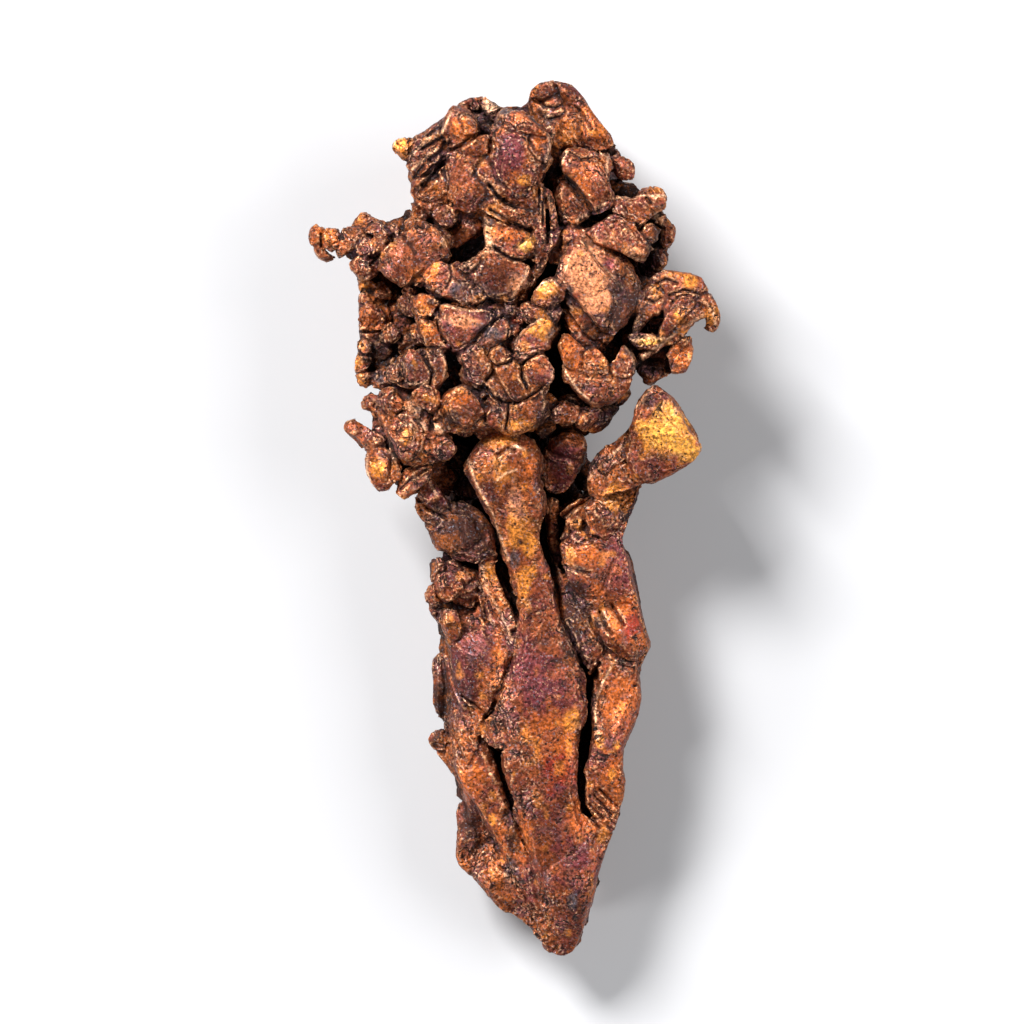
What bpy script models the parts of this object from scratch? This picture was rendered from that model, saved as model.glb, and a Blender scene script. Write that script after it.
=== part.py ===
"""Native copper nugget, one solid, lying on its back with its richest face up.

The nugget is a fused mass of lumps, plates and ridges: a wide crown of
nodules at +Y, a folded blade-like body below it and a blunt tip at -Y.
Every lump is placed on a drawing grid laid over the nugget seen from above:
x runs to the right, y runs down from crown to tip, and heights are counted
up from the surface that the nugget rests on, all in the same grid step.
"""

import bmesh
import bpy
import numpy as np

# Driving dimensions, in metres
LENGTH = 0.110             # crown to tip
GRID_LENGTH = 878          # the same length counted in grid steps
STEP = LENGTH / GRID_LENGTH
GRID_MIDDLE = (514.5, 521.0)

# How the lumps are fused into one skin
VOXEL = 0.00062            # cell of the fusing grid
SKIN_SMOOTHING = 0.35      # share of each vertex's move towards its neighbours
TRIANGLES = 9400           # skin's final face count
WORN_FLAT = 0.00045        # height of the high spots worn off the back

# Roundness of each lump's mesh
LUMP_SIDES = 28
LUMP_RINGS = 8
DOME_RATIO = 0.42          # a lump's front dome against its mean radius
BLADE_DOME = 0.45          # a blade's front dome against its half width
DOME_SHARE = 0.5           # most of a lump's depth that its front dome takes
EDGE_SHARE = 0.48          # sharpens every front edge
CORNER_SHARE = 0.8         # how far an outline goes back to straight lines
SWELL = 0.9                # growth of every outline, in grid steps
CUTS = 5                   # sloping planes that chisel each lump's top
CHISEL = 1.25              # steepness of those planes
BACK_EDGE = 0.9            # edge roundness of every lump's rear half
NODULE_SIDES = 12
NODULE_RINGS = 4

# Each lump: name, top, depth, edge roundness, slope (x, y) and outline.
# An edge of 1 is an ellipsoid and a lower one has a flatter top and steeper sides.
LUMPS = [
    ("crown_core", 142, 132, 0.8, (0, 0), [
        (402, 238), (432, 222), (452, 170), (490, 135), (545, 112), (590, 140), (615, 180),
        (640, 230), (648, 275), (632, 318), (612, 350), (596, 388), (560, 418), (505, 428),
        (455, 424), (420, 405), (395, 365), (382, 312), (385, 268)]),
    ("body_core_top", 104, 92, 0.75, (0, 0), [
        (440, 480), (470, 440), (520, 425), (580, 440), (600, 480), (606, 530), (618, 590),
        (624, 650), (618, 700), (590, 740), (540, 760), (490, 740), (462, 690), (450, 630),
        (445, 580), (455, 540)]),
    ("body_core_low", 92, 84, 0.75, (0, 0), [
        (462, 700), (500, 690), (560, 690), (615, 700), (622, 740), (612, 800), (606, 840),
        (592, 900), (575, 945), (556, 950), (536, 925), (500, 895), (474, 860), (466, 810),
        (458, 760)]),
    ("cap", 186, 96, 0.75, (-0.05, 0.1), [
        (529, 101), (531, 92), (541, 85), (554, 81), (567, 84), (579, 92), (587, 103), (594, 115),
        (604, 127), (612, 137), (616, 146), (607, 152), (592, 152), (578, 149), (562, 150),
        (549, 144), (540, 134), (530, 120)]),
    ("cap_base", 190, 90, 0.5, (-0.03, 0.06), [
        (531, 101), (534, 90), (545, 84), (560, 83), (572, 90), (582, 101), (590, 114), (599, 127),
        (608, 138), (608, 150), (584, 150), (566, 148), (552, 150), (540, 140), (532, 122)]),
    ("cap_mid", 188, 60, 0.7, (0, 0), [
        (540, 108), (552, 104), (562, 112), (572, 124), (578, 140), (570, 149), (556, 146),
        (546, 134), (538, 122)]),
    ("cap_lip", 190, 60, 0.8, (0, 0), [
        (530, 97), (533, 89), (542, 84), (553, 82), (560, 88), (552, 97), (541, 101), (533, 101)]),
    ("cap_brow", 190, 50, 0.7, (-0.15, 0), [
        (556, 84), (568, 85), (579, 93), (586, 104), (580, 116), (570, 112), (562, 100)]),
    ("cap_cheek", 193, 70, 0.65, (-0.1, 0.1), [
        (578, 112), (587, 106), (595, 117), (604, 128), (612, 138), (612, 147), (600, 151),
        (588, 148), (580, 135)]),
    ("cap_back", 166, 90, 0.7, (0, 0), [
        (500, 110), (512, 111), (524, 106), (534, 100), (548, 106), (552, 128), (540, 140),
        (520, 130), (505, 124)]),
    ("boulder", 234, 120, 0.7, (0, 0), [
        (497, 121), (506, 115), (517, 113), (527, 119), (538, 128), (548, 136), (550, 147),
        (549, 160), (543, 173), (538, 184), (538, 200), (534, 213), (524, 218), (510, 211),
        (498, 204), (488, 194), (485, 184), (487, 170), (490, 150), (492, 132)]),
    ("boulder_cap", 236, 60, 0.75, (0, 0.12), [
        (500, 121), (509, 115), (518, 114), (528, 121), (540, 131), (547, 137), (544, 140),
        (530, 138), (518, 134), (506, 130)]),
    ("boulder_ear", 234, 60, 0.6, (-0.1, 0), [
        (529, 140), (540, 137), (547, 138), (550, 148), (548, 160), (543, 170), (537, 164),
        (532, 152)]),
    ("boulder_left", 225, 96, 0.5, (0.06, -0.06), [
        (460, 150), (474, 142), (489, 139), (500, 150), (504, 170), (500, 190), (490, 203),
        (478, 213), (466, 214), (456, 209), (449, 199), (447, 182), (446, 166), (452, 155)]),
    ("boulder_join", 227, 90, 0.5, (0, 0), [
        (478, 160), (492, 154), (508, 156), (512, 180), (506, 198), (494, 202), (480, 196),
        (473, 178)]),
    ("spur_facet", 229, 50, 0.25, (0.1, -0.1), [
        (460, 152), (470, 146), (480, 139), (489, 139), (489, 153), (480, 158), (468, 158)]),
    ("channel_fill", 186, 80, 0.6, (0, 0), [
        (541, 140), (556, 138), (560, 150), (560, 170), (556, 185), (546, 188), (541, 170)]),
    ("saddle_plum", 202, 90, 0.4, (0, 0.1), [
        (553, 226), (566, 226), (580, 229), (596, 230), (607, 239), (604, 249), (590, 247),
        (578, 243), (570, 248), (560, 264), (550, 264), (548, 244)]),
    ("boulder_skirt", 224, 80, 0.45, (0, -0.1), [
        (478, 206), (488, 196), (500, 203), (514, 209), (528, 214), (536, 214), (533, 228),
        (524, 229), (510, 224), (496, 216), (483, 213)]),
    ("striated_block", 206, 92, 0.55, (0.12, 0), [
        (412, 143), (422, 134), (433, 126), (444, 119), (451, 123), (454, 136), (452, 152),
        (449, 166), (450, 181), (448, 197), (438, 203), (426, 206), (417, 202), (411, 194),
        (409, 180), (409, 166), (412, 154)]),
    ("striated_rib_1", 214, 50, 0.8, (0, 0), [
        (412, 158), (420, 147), (431, 137), (443, 127), (447, 131), (441, 142), (430, 151),
        (420, 159)]),
    ("striated_rib_2", 214, 50, 0.8, (0, 0), [
        (413, 176), (420, 165), (432, 153), (444, 141), (449, 146), (443, 157), (431, 168),
        (420, 178)]),
    ("striated_rib_3", 214, 50, 0.8, (0, 0), [
        (419, 199), (424, 188), (434, 176), (445, 166), (450, 172), (449, 185), (444, 196),
        (432, 203)]),
    ("ear", 200, 52, 0.85, (0, 0), [
        (393, 149), (396, 142), (403, 139), (411, 139), (417, 146), (418, 156), (409, 161),
        (400, 158), (395, 154)]),
    ("top_block", 222, 84, 0.45, (0, 0), [
        (444, 120), (453, 109), (461, 111), (470, 116), (477, 125), (477, 138), (469, 144),
        (459, 149), (449, 149), (444, 140)]),
    ("hollow_fill", 194, 60, 0.5, (0, 0), [
        (470, 112), (484, 114), (496, 122), (499, 140), (488, 144), (476, 140), (474, 126)]),
    ("top_block_face", 227, 50, 0.3, (0, 0), [
        (459, 122), (464, 118), (471, 121), (477, 127), (475, 135), (468, 139), (461, 136),
        (463, 129)]),
    ("top_ridge", 196, 70, 0.65, (0, 0), [
        (457, 107), (464, 101), (474, 98), (485, 99), (486, 107), (479, 112), (470, 111),
        (462, 110)]),
    ("head_notch", 150, 60, 0.6, (0, 0), [
        (428, 126), (440, 119), (452, 117), (452, 130), (442, 138), (430, 138)]),
    ("top_spall", 204, 76, 0.55, (0.05, 0), [
        (482, 103), (489, 100), (496, 104), (499, 112), (501, 120), (497, 125), (490, 121),
        (484, 113)]),
    ("head_rear", 160, 100, 0.8, (0, 0), [
        (450, 116), (480, 108), (510, 110), (535, 112), (540, 150), (520, 180), (470, 180),
        (448, 160)]),
    ("head_base", 206, 90, 0.5, (0, 0), [
        (424, 150), (450, 142), (480, 140), (496, 150), (500, 200), (492, 222), (455, 224),
        (424, 216), (414, 190)]),
    ("fold_left", 206, 90, 0.42, (0.05, 0.05), [
        (556, 180), (565, 178), (573, 188), (582, 203), (590, 215), (583, 221), (574, 228),
        (566, 227), (561, 219), (559, 205), (557, 192)]),
    ("fold_right", 220, 92, 0.42, (0.05, 0), [
        (561, 158), (568, 151), (580, 151), (592, 153), (599, 161), (603, 173), (608, 184),
        (612, 196), (611, 206), (602, 213), (593, 216), (586, 207), (578, 194), (569, 182),
        (562, 173)]),
    ("fold_rim", 210, 70, 0.7, (0, 0), [
        (600, 154), (607, 157), (610, 166), (609, 177), (605, 182), (601, 173), (598, 163)]),
    ("knob_a", 186, 60, 0.85, (0, 0), [
        (614, 161), (621, 156), (629, 160), (634, 167), (633, 175), (626, 180), (618, 178),
        (613, 170)]),
    ("knob_a2", 176, 60, 0.85, (0, 0), [
        (611, 153), (617, 153), (622, 158), (617, 165), (611, 162)]),
    ("ledge", 206, 80, 0.6, (-0.1, 0), [
        (612, 202), (620, 198), (630, 201), (640, 195), (650, 190), (660, 189), (666, 199),
        (664, 209), (656, 214), (648, 220), (638, 226), (628, 226), (619, 221), (613, 212)]),
    ("ledge_tip", 210, 50, 0.7, (0, 0), [
        (648, 193), (659, 189), (666, 199), (663, 209), (652, 212), (645, 204)]),
    ("bead_ledge", 206, 60, 0.9, (0, 0), [
        (641, 235), (645, 227), (652, 226), (657, 233), (656, 241), (648, 244)]),
    ("knob_b", 172, 56, 0.8, (0, 0), [
        (663, 223), (669, 219), (675, 226), (676, 235), (672, 243), (665, 248), (660, 242),
        (661, 232)]),
    ("knob_b2", 186, 40, 0.9, (0, 0), [
        (655, 216), (662, 214), (667, 220), (662, 226), (655, 224)]),
    ("edge_fill", 160, 70, 0.6, (0, 0), [
        (640, 206), (660, 208), (667, 222), (666, 240), (662, 258), (660, 274), (648, 276),
        (638, 262)]),
    ("knob_c", 166, 56, 0.85, (0, 0), [
        (650, 250), (659, 247), (666, 253), (667, 263), (661, 271), (652, 268)]),
    ("ledge_low", 213, 90, 0.35, (0, 0.05), [
        (588, 234), (600, 223), (612, 218), (622, 221), (634, 229), (643, 239), (648, 252),
        (643, 263), (634, 260), (622, 253), (608, 249), (597, 245)]),
    ("recess_brown", 178, 80, 0.6, (0, 0), [
        (580, 228), (595, 219), (610, 212), (618, 222), (600, 234), (585, 240)]),
    ("dark_hollow_floor", 150, 80, 0.8, (0, 0), [
        (605, 182), (618, 178), (635, 185), (642, 195), (630, 205), (612, 202)]),
    ("tongue_face", 214, 110, 0.2, (-0.06, -0.05), [
        (573, 243), (580, 242), (590, 253), (600, 267), (611, 278), (622, 290), (621, 306),
        (615, 322), (608, 334), (599, 329), (588, 315), (577, 302), (563, 288), (556, 275),
        (563, 258)]),
    ("tongue_flank", 208, 100, 0.3, (-0.5, 0.3), [
        (581, 240), (594, 243), (610, 250), (625, 262), (637, 276), (642, 290), (637, 306),
        (627, 320), (614, 335), (608, 334), (612, 322), (618, 306), (617, 296), (609, 281),
        (600, 268), (590, 254)]),
    ("tongue_chin", 190, 100, 0.5, (-0.1, 0.2), [
        (590, 310), (602, 303), (612, 308), (617, 322), (613, 338), (606, 345), (598, 336)]),
    ("strip_base", 186, 70, 0.6, (0, 0), [
        (556, 288), (570, 294), (588, 312), (602, 335), (606, 350), (590, 350), (572, 336),
        (560, 318)]),
    ("gap_dark", 174, 60, 0.7, (0, 0), [
        (549, 288), (560, 290), (566, 305), (564, 330), (556, 345), (549, 330), (546, 305)]),
    ("tongue_rear", 160, 90, 0.8, (0, 0), [
        (600, 300), (625, 290), (642, 285), (645, 310), (630, 330), (606, 335)]),
    ("cheek_top", 204, 80, 0.75, (0, 0), [
        (405, 227), (411, 220), (420, 220), (429, 226), (432, 236), (426, 244), (415, 246),
        (406, 238)]),
    ("cheek_dark", 200, 80, 0.7, (0, 0), [
        (427, 227), (440, 229), (450, 236), (452, 246), (444, 253), (435, 248), (428, 240)]),
    ("cheek_bridge", 202, 80, 0.7, (0, 0.1), [
        (416, 248), (429, 244), (442, 249), (452, 256), (445, 262), (432, 264), (420, 263)]),
    ("cheek_big", 208, 96, 0.4, (0, 0), [
        (386, 252), (393, 244), (402, 239), (412, 242), (420, 248), (424, 259), (416, 270),
        (411, 283), (402, 285), (393, 281), (385, 276), (381, 266)]),
    ("cheek_knot", 200, 70, 0.9, (0, 0), [
        (414, 270), (420, 266), (426, 272), (425, 282), (418, 285), (412, 279)]),
    ("pebble_neck", 208, 80, 0.75, (0, 0), [
        (433, 217), (440, 208), (449, 205), (456, 211), (457, 221), (450, 228), (440, 226)]),
    ("slab_dark", 196, 70, 0.6, (0.3, -0.1), [
        (462, 216), (474, 212), (483, 215), (484, 224), (476, 235), (466, 242), (457, 248),
        (451, 243), (454, 232), (458, 223)]),
    ("block_under", 192, 80, 0.7, (0, 0), [
        (412, 205), (425, 206), (436, 207), (433, 217), (424, 221), (413, 216)]),
    ("flag", 214, 60, 0.4, (0, 0.05), [
        (484, 217), (491, 213), (501, 218), (509, 225), (521, 229), (534, 235), (537, 248),
        (533, 258), (522, 262), (510, 259), (502, 252), (494, 249), (487, 256), (485, 240)]),
    ("flag_gold", 219, 20, 0.2, (0, 0), [
        (516, 250), (524, 244), (531, 239), (534, 246), (533, 253), (525, 255), (518, 254)]),
    ("shelf", 216, 90, 0.25, (0.05, -0.08), [
        (460, 270), (468, 261), (480, 256), (488, 251), (497, 252), (508, 259), (520, 264),
        (529, 268), (527, 280), (519, 292), (512, 302), (500, 303), (489, 300), (478, 292),
        (468, 282)]),
    ("shelf_rim", 220, 50, 0.6, (0, 0), [
        (459, 269), (466, 262), (478, 258), (480, 263), (474, 272), (467, 273)]),
    ("shelf_left", 214, 90, 0.3, (0, -0.08), [
        (426, 276), (431, 265), (438, 262), (449, 267), (460, 272), (470, 281), (480, 289),
        (490, 298), (484, 306), (474, 308), (462, 306), (450, 300), (438, 297), (428, 291)]),
    ("shelf_bead", 212, 50, 0.85, (0, 0), [
        (474, 290), (480, 285), (488, 291), (489, 299), (481, 303), (474, 298)]),
    ("corner", 210, 80, 0.4, (0, 0), [
        (412, 301), (421, 295), (432, 298), (440, 303), (438, 312), (434, 317), (426, 318),
        (417, 316), (413, 309)]),
    ("plate", 216, 70, 0.28, (0, 0.05), [
        (440, 306), (448, 305), (464, 310), (482, 311), (495, 313), (490, 323), (479, 332),
        (471, 342), (464, 350), (456, 350), (445, 340), (438, 329), (436, 316)]),
    ("plate_left", 207, 80, 0.4, (0.1, 0), [
        (418, 320), (428, 317), (436, 320), (438, 332), (447, 344), (450, 351), (439, 350),
        (428, 342), (420, 332)]),
    ("wedge_grey", 208, 70, 0.35, (0, 0), [
        (473, 345), (482, 335), (495, 324), (505, 319), (509, 329), (507, 340), (498, 345),
        (487, 348), (478, 348)]),
    ("grey_seam", 196, 70, 0.7, (0, 0), [
        (488, 300), (498, 299), (508, 303), (505, 312), (495, 312), (484, 310)]),
    ("grey_nut", 202, 60, 0.8, (0, 0), [
        (501, 304), (508, 300), (516, 305), (517, 315), (509, 319), (502, 313)]),
    ("ruby_nut", 198, 50, 0.85, (0, 0), [
        (508, 318), (517, 314), (526, 318), (524, 327), (514, 328)]),
    ("dark_tuck", 200, 60, 0.5, (0, 0), [
        (508, 328), (517, 327), (523, 333), (514, 345), (506, 345)]),
    ("plates_base", 205, 80, 0.5, (0, 0), [
        (418, 304), (450, 298), (478, 302), (500, 302), (530, 300), (555, 302), (560, 320),
        (550, 344), (526, 356), (505, 350), (480, 353), (456, 353), (430, 345), (418, 325)]),
    ("yellow_upper", 216, 80, 0.65, (0, 0), [
        (531, 301), (536, 291), (544, 282), (555, 281), (564, 291), (563, 300), (554, 306),
        (542, 307)]),
    ("yellow_mid", 206, 70, 0.7, (0, 0), [
        (519, 308), (530, 303), (543, 308), (550, 314), (545, 321), (532, 322), (522, 318)]),
    ("yellow_edge", 206, 50, 0.75, (0, 0), [
        (550, 309), (557, 305), (561, 312), (558, 321), (552, 326), (548, 318)]),
    ("yellow_low", 215, 80, 0.4, (0, 0.1), [
        (514, 346), (521, 334), (531, 326), (541, 319), (552, 323), (555, 334), (548, 346),
        (539, 353), (526, 359), (515, 356)]),
    ("finger_1", 213, 70, 0.32, (0.06, 0), [
        (463, 347), (471, 345), (479, 346), (486, 354), (490, 361), (493, 368), (492, 374),
        (486, 380), (481, 386), (473, 383), (466, 372), (462, 360)]),
    ("finger_2", 206, 70, 0.65, (0, 0), [
        (463, 368), (470, 363), (478, 371), (487, 379), (485, 388), (478, 392), (471, 385),
        (465, 377)]),
    ("finger_3", 196, 60, 0.7, (0, 0), [
        (461, 381), (469, 378), (478, 390), (483, 399), (478, 404), (470, 396)]),
    ("lobe_a", 219, 50, 0.3, (0, 0), [
        (490, 349), (500, 345), (507, 350), (511, 358), (507, 364), (498, 366), (492, 363),
        (488, 357)]),
    ("lobe_b", 216, 60, 0.3, (0, 0.05), [
        (494, 367), (507, 363), (515, 360), (521, 366), (522, 379), (528, 391), (526, 398),
        (518, 402), (507, 397), (500, 384)]),
    ("lobe_c", 213, 60, 0.3, (-0.05, 0), [
        (487, 378), (493, 374), (500, 384), (507, 396), (510, 401), (502, 403), (493, 398),
        (486, 388)]),
    ("lobe_d", 216, 60, 0.32, (0.05, 0), [
        (524, 366), (530, 360), (539, 355), (548, 360), (553, 370), (551, 383), (542, 389),
        (534, 397), (528, 391), (522, 379)]),
    ("lobe_e", 205, 60, 0.5, (0, 0), [
        (526, 398), (534, 396), (543, 388), (546, 398), (538, 406), (524, 407)]),
    ("chin_left", 205, 70, 0.4, (0, 0), [
        (484, 404), (490, 398), (500, 402), (507, 403), (508, 415), (506, 430), (498, 430),
        (490, 424), (485, 415)]),
    ("chin", 208, 80, 0.36, (0, -0.05), [
        (508, 404), (520, 403), (532, 397), (541, 389), (546, 400), (544, 415), (534, 425),
        (518, 433), (507, 431), (508, 416)]),
    ("chin_side", 182, 70, 0.8, (0, 0), [
        (543, 392), (552, 395), (558, 402), (552, 414), (545, 420), (541, 408)]),
    ("web_a", 192, 70, 0.5, (0, 0), [
        (478, 398), (488, 394), (500, 402), (497, 416), (490, 428), (478, 428), (474, 414)]),
    ("web_b", 170, 60, 0.8, (0, 0), [
        (470, 425), (485, 420), (500, 428), (498, 440), (480, 440)]),
    ("web_c", 165, 60, 0.8, (0, 0), [
        (535, 425), (548, 418), (556, 420), (552, 432), (540, 440)]),
    ("cheek_face", 206, 90, 0.35, (0.05, -0.05), [
        (404, 232), (412, 223), (424, 222), (434, 228), (446, 238), (450, 250), (442, 262),
        (430, 266), (420, 276), (412, 284), (404, 276), (400, 256)]),
    ("lobes_base", 209, 80, 0.4, (0, 0), [
        (459, 354), (470, 347), (484, 350), (493, 347), (506, 351), (516, 361), (531, 358),
        (546, 358), (553, 370), (548, 386), (545, 399), (530, 404), (516, 404), (500, 404),
        (486, 396), (475, 396), (463, 380), (462, 368)]),
    ("chin_base", 200, 80, 0.6, (0, 0), [
        (484, 404), (500, 398), (545, 396), (548, 415), (535, 428), (512, 436), (500, 432),
        (486, 419)]),
    ("ball_big", 208, 70, 0.34, (-0.05, 0), [
        (405, 355), (411, 350), (418, 353), (425, 361), (432, 373), (429, 381), (421, 385),
        (410, 385), (404, 378), (403, 366)]),
    ("shelf_join", 209, 90, 0.3, (0, 0), [
        (446, 268), (458, 264), (470, 266), (482, 280), (482, 296), (466, 298), (450, 290)]),
    ("column_dark", 152, 60, 0.6, (0, 0), [
        (361, 336), (384, 333), (400, 345), (402, 364), (390, 377), (374, 378), (362, 360)]),
    ("ball_right", 205, 70, 0.34, (0.05, 0), [
        (423, 351), (433, 349), (440, 351), (445, 357), (447, 368), (444, 380), (436, 387),
        (431, 382), (433, 374), (427, 363)]),
    ("ball_small", 196, 60, 0.5, (0, 0), [
        (387, 368), (394, 362), (400, 366), (405, 376), (402, 383), (394, 380), (388, 374)]),
    ("snail", 206, 70, 0.75, (0, 0), [
        (412, 397), (418, 388), (429, 385), (438, 391), (441, 401), (437, 409), (430, 412),
        (420, 407)]),
    ("knuckle", 214, 80, 0.4, (0.03, 0), [
        (446, 398), (453, 390), (462, 387), (471, 393), (479, 403), (481, 412), (475, 421),
        (466, 428), (456, 425), (448, 416), (444, 408)]),
    ("knuckle_low", 198, 60, 0.8, (0, 0), [
        (440, 417), (449, 412), (459, 417), (466, 424), (460, 430), (450, 431), (442, 425)]),
    ("left_a", 192, 70, 0.75, (0, 0), [
        (377, 398), (383, 389), (393, 388), (399, 396), (400, 408), (393, 415), (383, 411),
        (378, 405)]),
    ("left_b", 180, 60, 0.85, (0, 0), [
        (398, 392), (405, 389), (411, 397), (410, 407), (402, 409)]),
    ("left_bead", 200, 30, 1, (0, 0), [
        (390, 400), (396, 396), (402, 401), (401, 409), (394, 411)]),
    ("left_base", 192, 80, 0.55, (0, 0), [
        (380, 394), (396, 389), (410, 391), (420, 387), (438, 391), (444, 404), (440, 418),
        (450, 440), (446, 458), (430, 461), (410, 464), (396, 455), (388, 436), (380, 416)]),
    ("balls_base", 198, 80, 0.5, (0, 0), [
        (390, 367), (404, 355), (424, 350), (444, 357), (447, 376), (440, 388), (424, 391),
        (406, 388), (392, 382)]),
    ("knuckle_base", 200, 80, 0.5, (0, 0), [
        (436, 398), (450, 390), (466, 387), (483, 397), (494, 408), (488, 424), (476, 430),
        (458, 433), (441, 430), (437, 414)]),
    ("left_c", 162, 50, 0.8, (0, 0), [
        (363, 398), (370, 393), (376, 397), (378, 406), (377, 417), (369, 412), (366, 404)]),
    ("left_big", 202, 84, 0.66, (0, 0), [
        (387, 429), (394, 419), (404, 413), (413, 417), (420, 427), (425, 438), (423, 449),
        (417, 457), (406, 461), (399, 453), (396, 442), (389, 438)]),
    ("left_folds", 190, 80, 0.7, (0, 0), [
        (420, 421), (429, 415), (440, 421), (445, 433), (452, 441), (456, 449), (450, 458),
        (440, 460), (431, 456), (426, 444), (423, 432)]),
    ("cream_a", 196, 50, 0.9, (0, 0), [
        (406, 400), (413, 402), (420, 410), (421, 418), (413, 416), (406, 408)]),
    ("cream_b", 196, 40, 0.9, (0, 0), [
        (432, 424), (440, 422), (445, 429), (440, 436), (433, 432)]),
    ("yellow_foot", 180, 76, 0.72, (0, 0), [
        (366, 459), (374, 449), (384, 448), (393, 455), (401, 468), (396, 478), (388, 487),
        (378, 490), (371, 481), (366, 470)]),
    ("shoe", 168, 60, 0.6, (0, 0.1), [
        (397, 484), (408, 470), (420, 462), (430, 465), (433, 474), (425, 483), (414, 492),
        (404, 499), (397, 494)]),
    ("left_under", 160, 80, 0.8, (0, 0), [
        (380, 410), (400, 405), (430, 405), (450, 425), (450, 450), (420, 460), (390, 455),
        (372, 440), (374, 425)]),
    ("left_fill", 142, 56, 0.8, (0, 0), [
        (384, 448), (410, 442), (440, 448), (450, 478), (430, 492), (402, 486), (388, 470)]),
    ("col_a", 182, 60, 0.75, (0, 0), [
        (351, 262), (358, 257), (368, 255), (377, 257), (381, 266), (376, 276), (368, 280),
        (358, 277), (352, 270)]),
    ("col_nub", 150, 50, 0.7, (0, 0), [
        (352, 260), (358, 258), (360, 264), (359, 272), (354, 274), (351, 267)]),
    ("arm_tip", 164, 40, 0.8, (0, 0), [
        (308, 236), (311, 226), (318, 224), (323, 230), (321, 241), (318, 250), (311, 246)]),
    ("arm_bead", 172, 44, 0.85, (0, 0), [
        (321, 239), (325, 231), (331, 228), (337, 232), (338, 242), (333, 250), (326, 248)]),
    ("arm_mid", 174, 50, 0.75, (0, 0), [
        (336, 241), (343, 232), (352, 228), (361, 230), (368, 238), (360, 245), (352, 248),
        (345, 255), (337, 251)]),
    ("arm_top", 158, 50, 0.75, (0, 0), [
        (351, 225), (357, 215), (364, 211), (374, 216), (384, 222), (387, 231), (376, 232),
        (365, 228), (356, 230)]),
    ("knot_a", 184, 50, 0.85, (0, 0), [
        (357, 248), (362, 240), (369, 239), (374, 247), (370, 255), (361, 255)]),
    ("knot_b", 188, 60, 0.8, (0, 0), [
        (371, 243), (377, 235), (385, 237), (389, 244), (384, 252), (375, 253)]),
    ("knot_c", 182, 60, 0.75, (0, 0), [
        (366, 231), (375, 222), (384, 226), (393, 233), (396, 241), (390, 247), (381, 238),
        (372, 236)]),
    ("knot_d", 182, 60, 0.75, (0, 0), [
        (388, 228), (396, 226), (404, 233), (405, 243), (397, 244), (391, 237)]),
    ("bead_back", 148, 40, 0.9, (0, 0), [
        (399, 216), (404, 209), (412, 211), (414, 220), (406, 223)]),
    ("shoulder", 165, 90, 0.8, (0, 0), [
        (375, 232), (395, 222), (420, 218), (440, 225), (440, 260), (410, 270), (385, 262),
        (372, 248)]),
    ("arm_back", 150, 44, 0.8, (0, 0), [
        (340, 240), (352, 230), (368, 220), (394, 224), (402, 244), (386, 262), (362, 262),
        (348, 252)]),
    ("col_dark", 160, 60, 0.8, (0, 0), [
        (372, 284), (382, 281), (391, 292), (388, 304), (376, 303), (368, 295)]),
    ("col_b", 168, 56, 0.75, (0, 0), [
        (358, 310), (366, 303), (378, 306), (386, 315), (381, 328), (369, 330), (358, 322)]),
    ("col_c", 166, 50, 0.8, (0, 0), [
        (356, 346), (362, 339), (370, 343), (371, 352), (363, 356)]),
    ("col_d", 160, 60, 0.8, (0, 0), [
        (368, 340), (380, 336), (390, 342), (392, 352), (382, 360), (370, 356)]),
    ("col_e", 166, 50, 0.8, (0, 0), [
        (353, 360), (358, 352), (367, 352), (371, 361), (364, 370), (356, 370)]),
    ("col_f", 162, 50, 0.8, (0, 0), [
        (356, 377), (362, 370), (372, 371), (376, 380), (368, 386), (359, 385)]),
    ("col_g", 164, 60, 0.7, (0, 0), [
        (368, 374), (382, 368), (396, 374), (405, 382), (398, 389), (382, 389), (372, 386)]),
    ("col_base", 150, 60, 0.6, (0, 0), [
        (358, 264), (380, 258), (398, 280), (402, 300), (412, 310), (418, 340), (408, 356),
        (400, 388), (374, 386), (360, 378), (356, 358), (361, 330), (358, 300)]),
    ("col_h", 172, 50, 0.8, (0, 0), [
        (382, 333), (389, 323), (397, 326), (400, 337), (392, 344), (384, 342)]),
    ("col_i", 164, 60, 0.8, (0, 0), [
        (396, 338), (408, 334), (416, 342), (412, 352), (400, 354)]),
    ("col_j", 180, 60, 0.8, (0, 0), [
        (397, 300), (408, 294), (416, 302), (414, 316), (404, 314)]),
    ("col_k", 186, 50, 0.85, (0, 0), [
        (402, 290), (410, 284), (417, 290), (414, 298), (405, 298)]),
    ("col_l", 178, 50, 0.85, (0, 0), [
        (410, 328), (418, 324), (426, 334), (424, 344), (414, 342)]),
    ("col_m", 158, 60, 0.8, (0, 0), [
        (356, 280), (363, 274), (372, 280), (371, 291), (361, 291)]),
    ("col_n", 160, 60, 0.8, (0, 0), [
        (357, 298), (364, 291), (374, 296), (374, 306), (362, 308)]),
    ("col_o", 156, 60, 0.8, (0, 0), [
        (359, 334), (367, 328), (378, 331), (380, 341), (368, 343)]),
    ("col_fill", 154, 84, 0.8, (0, 0), [
        (360, 262), (378, 256), (392, 280), (392, 300), (395, 330), (404, 350), (402, 382),
        (376, 386), (362, 362), (358, 330), (358, 296)]),
    ("ring_top", 202, 60, 0.6, (0, 0), [
        (650, 280), (658, 273), (668, 271), (680, 273), (692, 275), (702, 279), (707, 288),
        (703, 297), (692, 301), (680, 299), (668, 304), (658, 300), (651, 291)]),
    ("ring_limb", 199, 60, 0.4, (0.05, 0), [
        (643, 292), (652, 283), (664, 288), (670, 300), (662, 311), (650, 318), (641, 328),
        (635, 332), (633, 322), (638, 306)]),
    ("ring_web", 201, 50, 0.35, (0, 0), [
        (664, 298), (690, 297), (700, 304), (694, 317), (684, 330), (672, 341), (664, 342),
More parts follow.
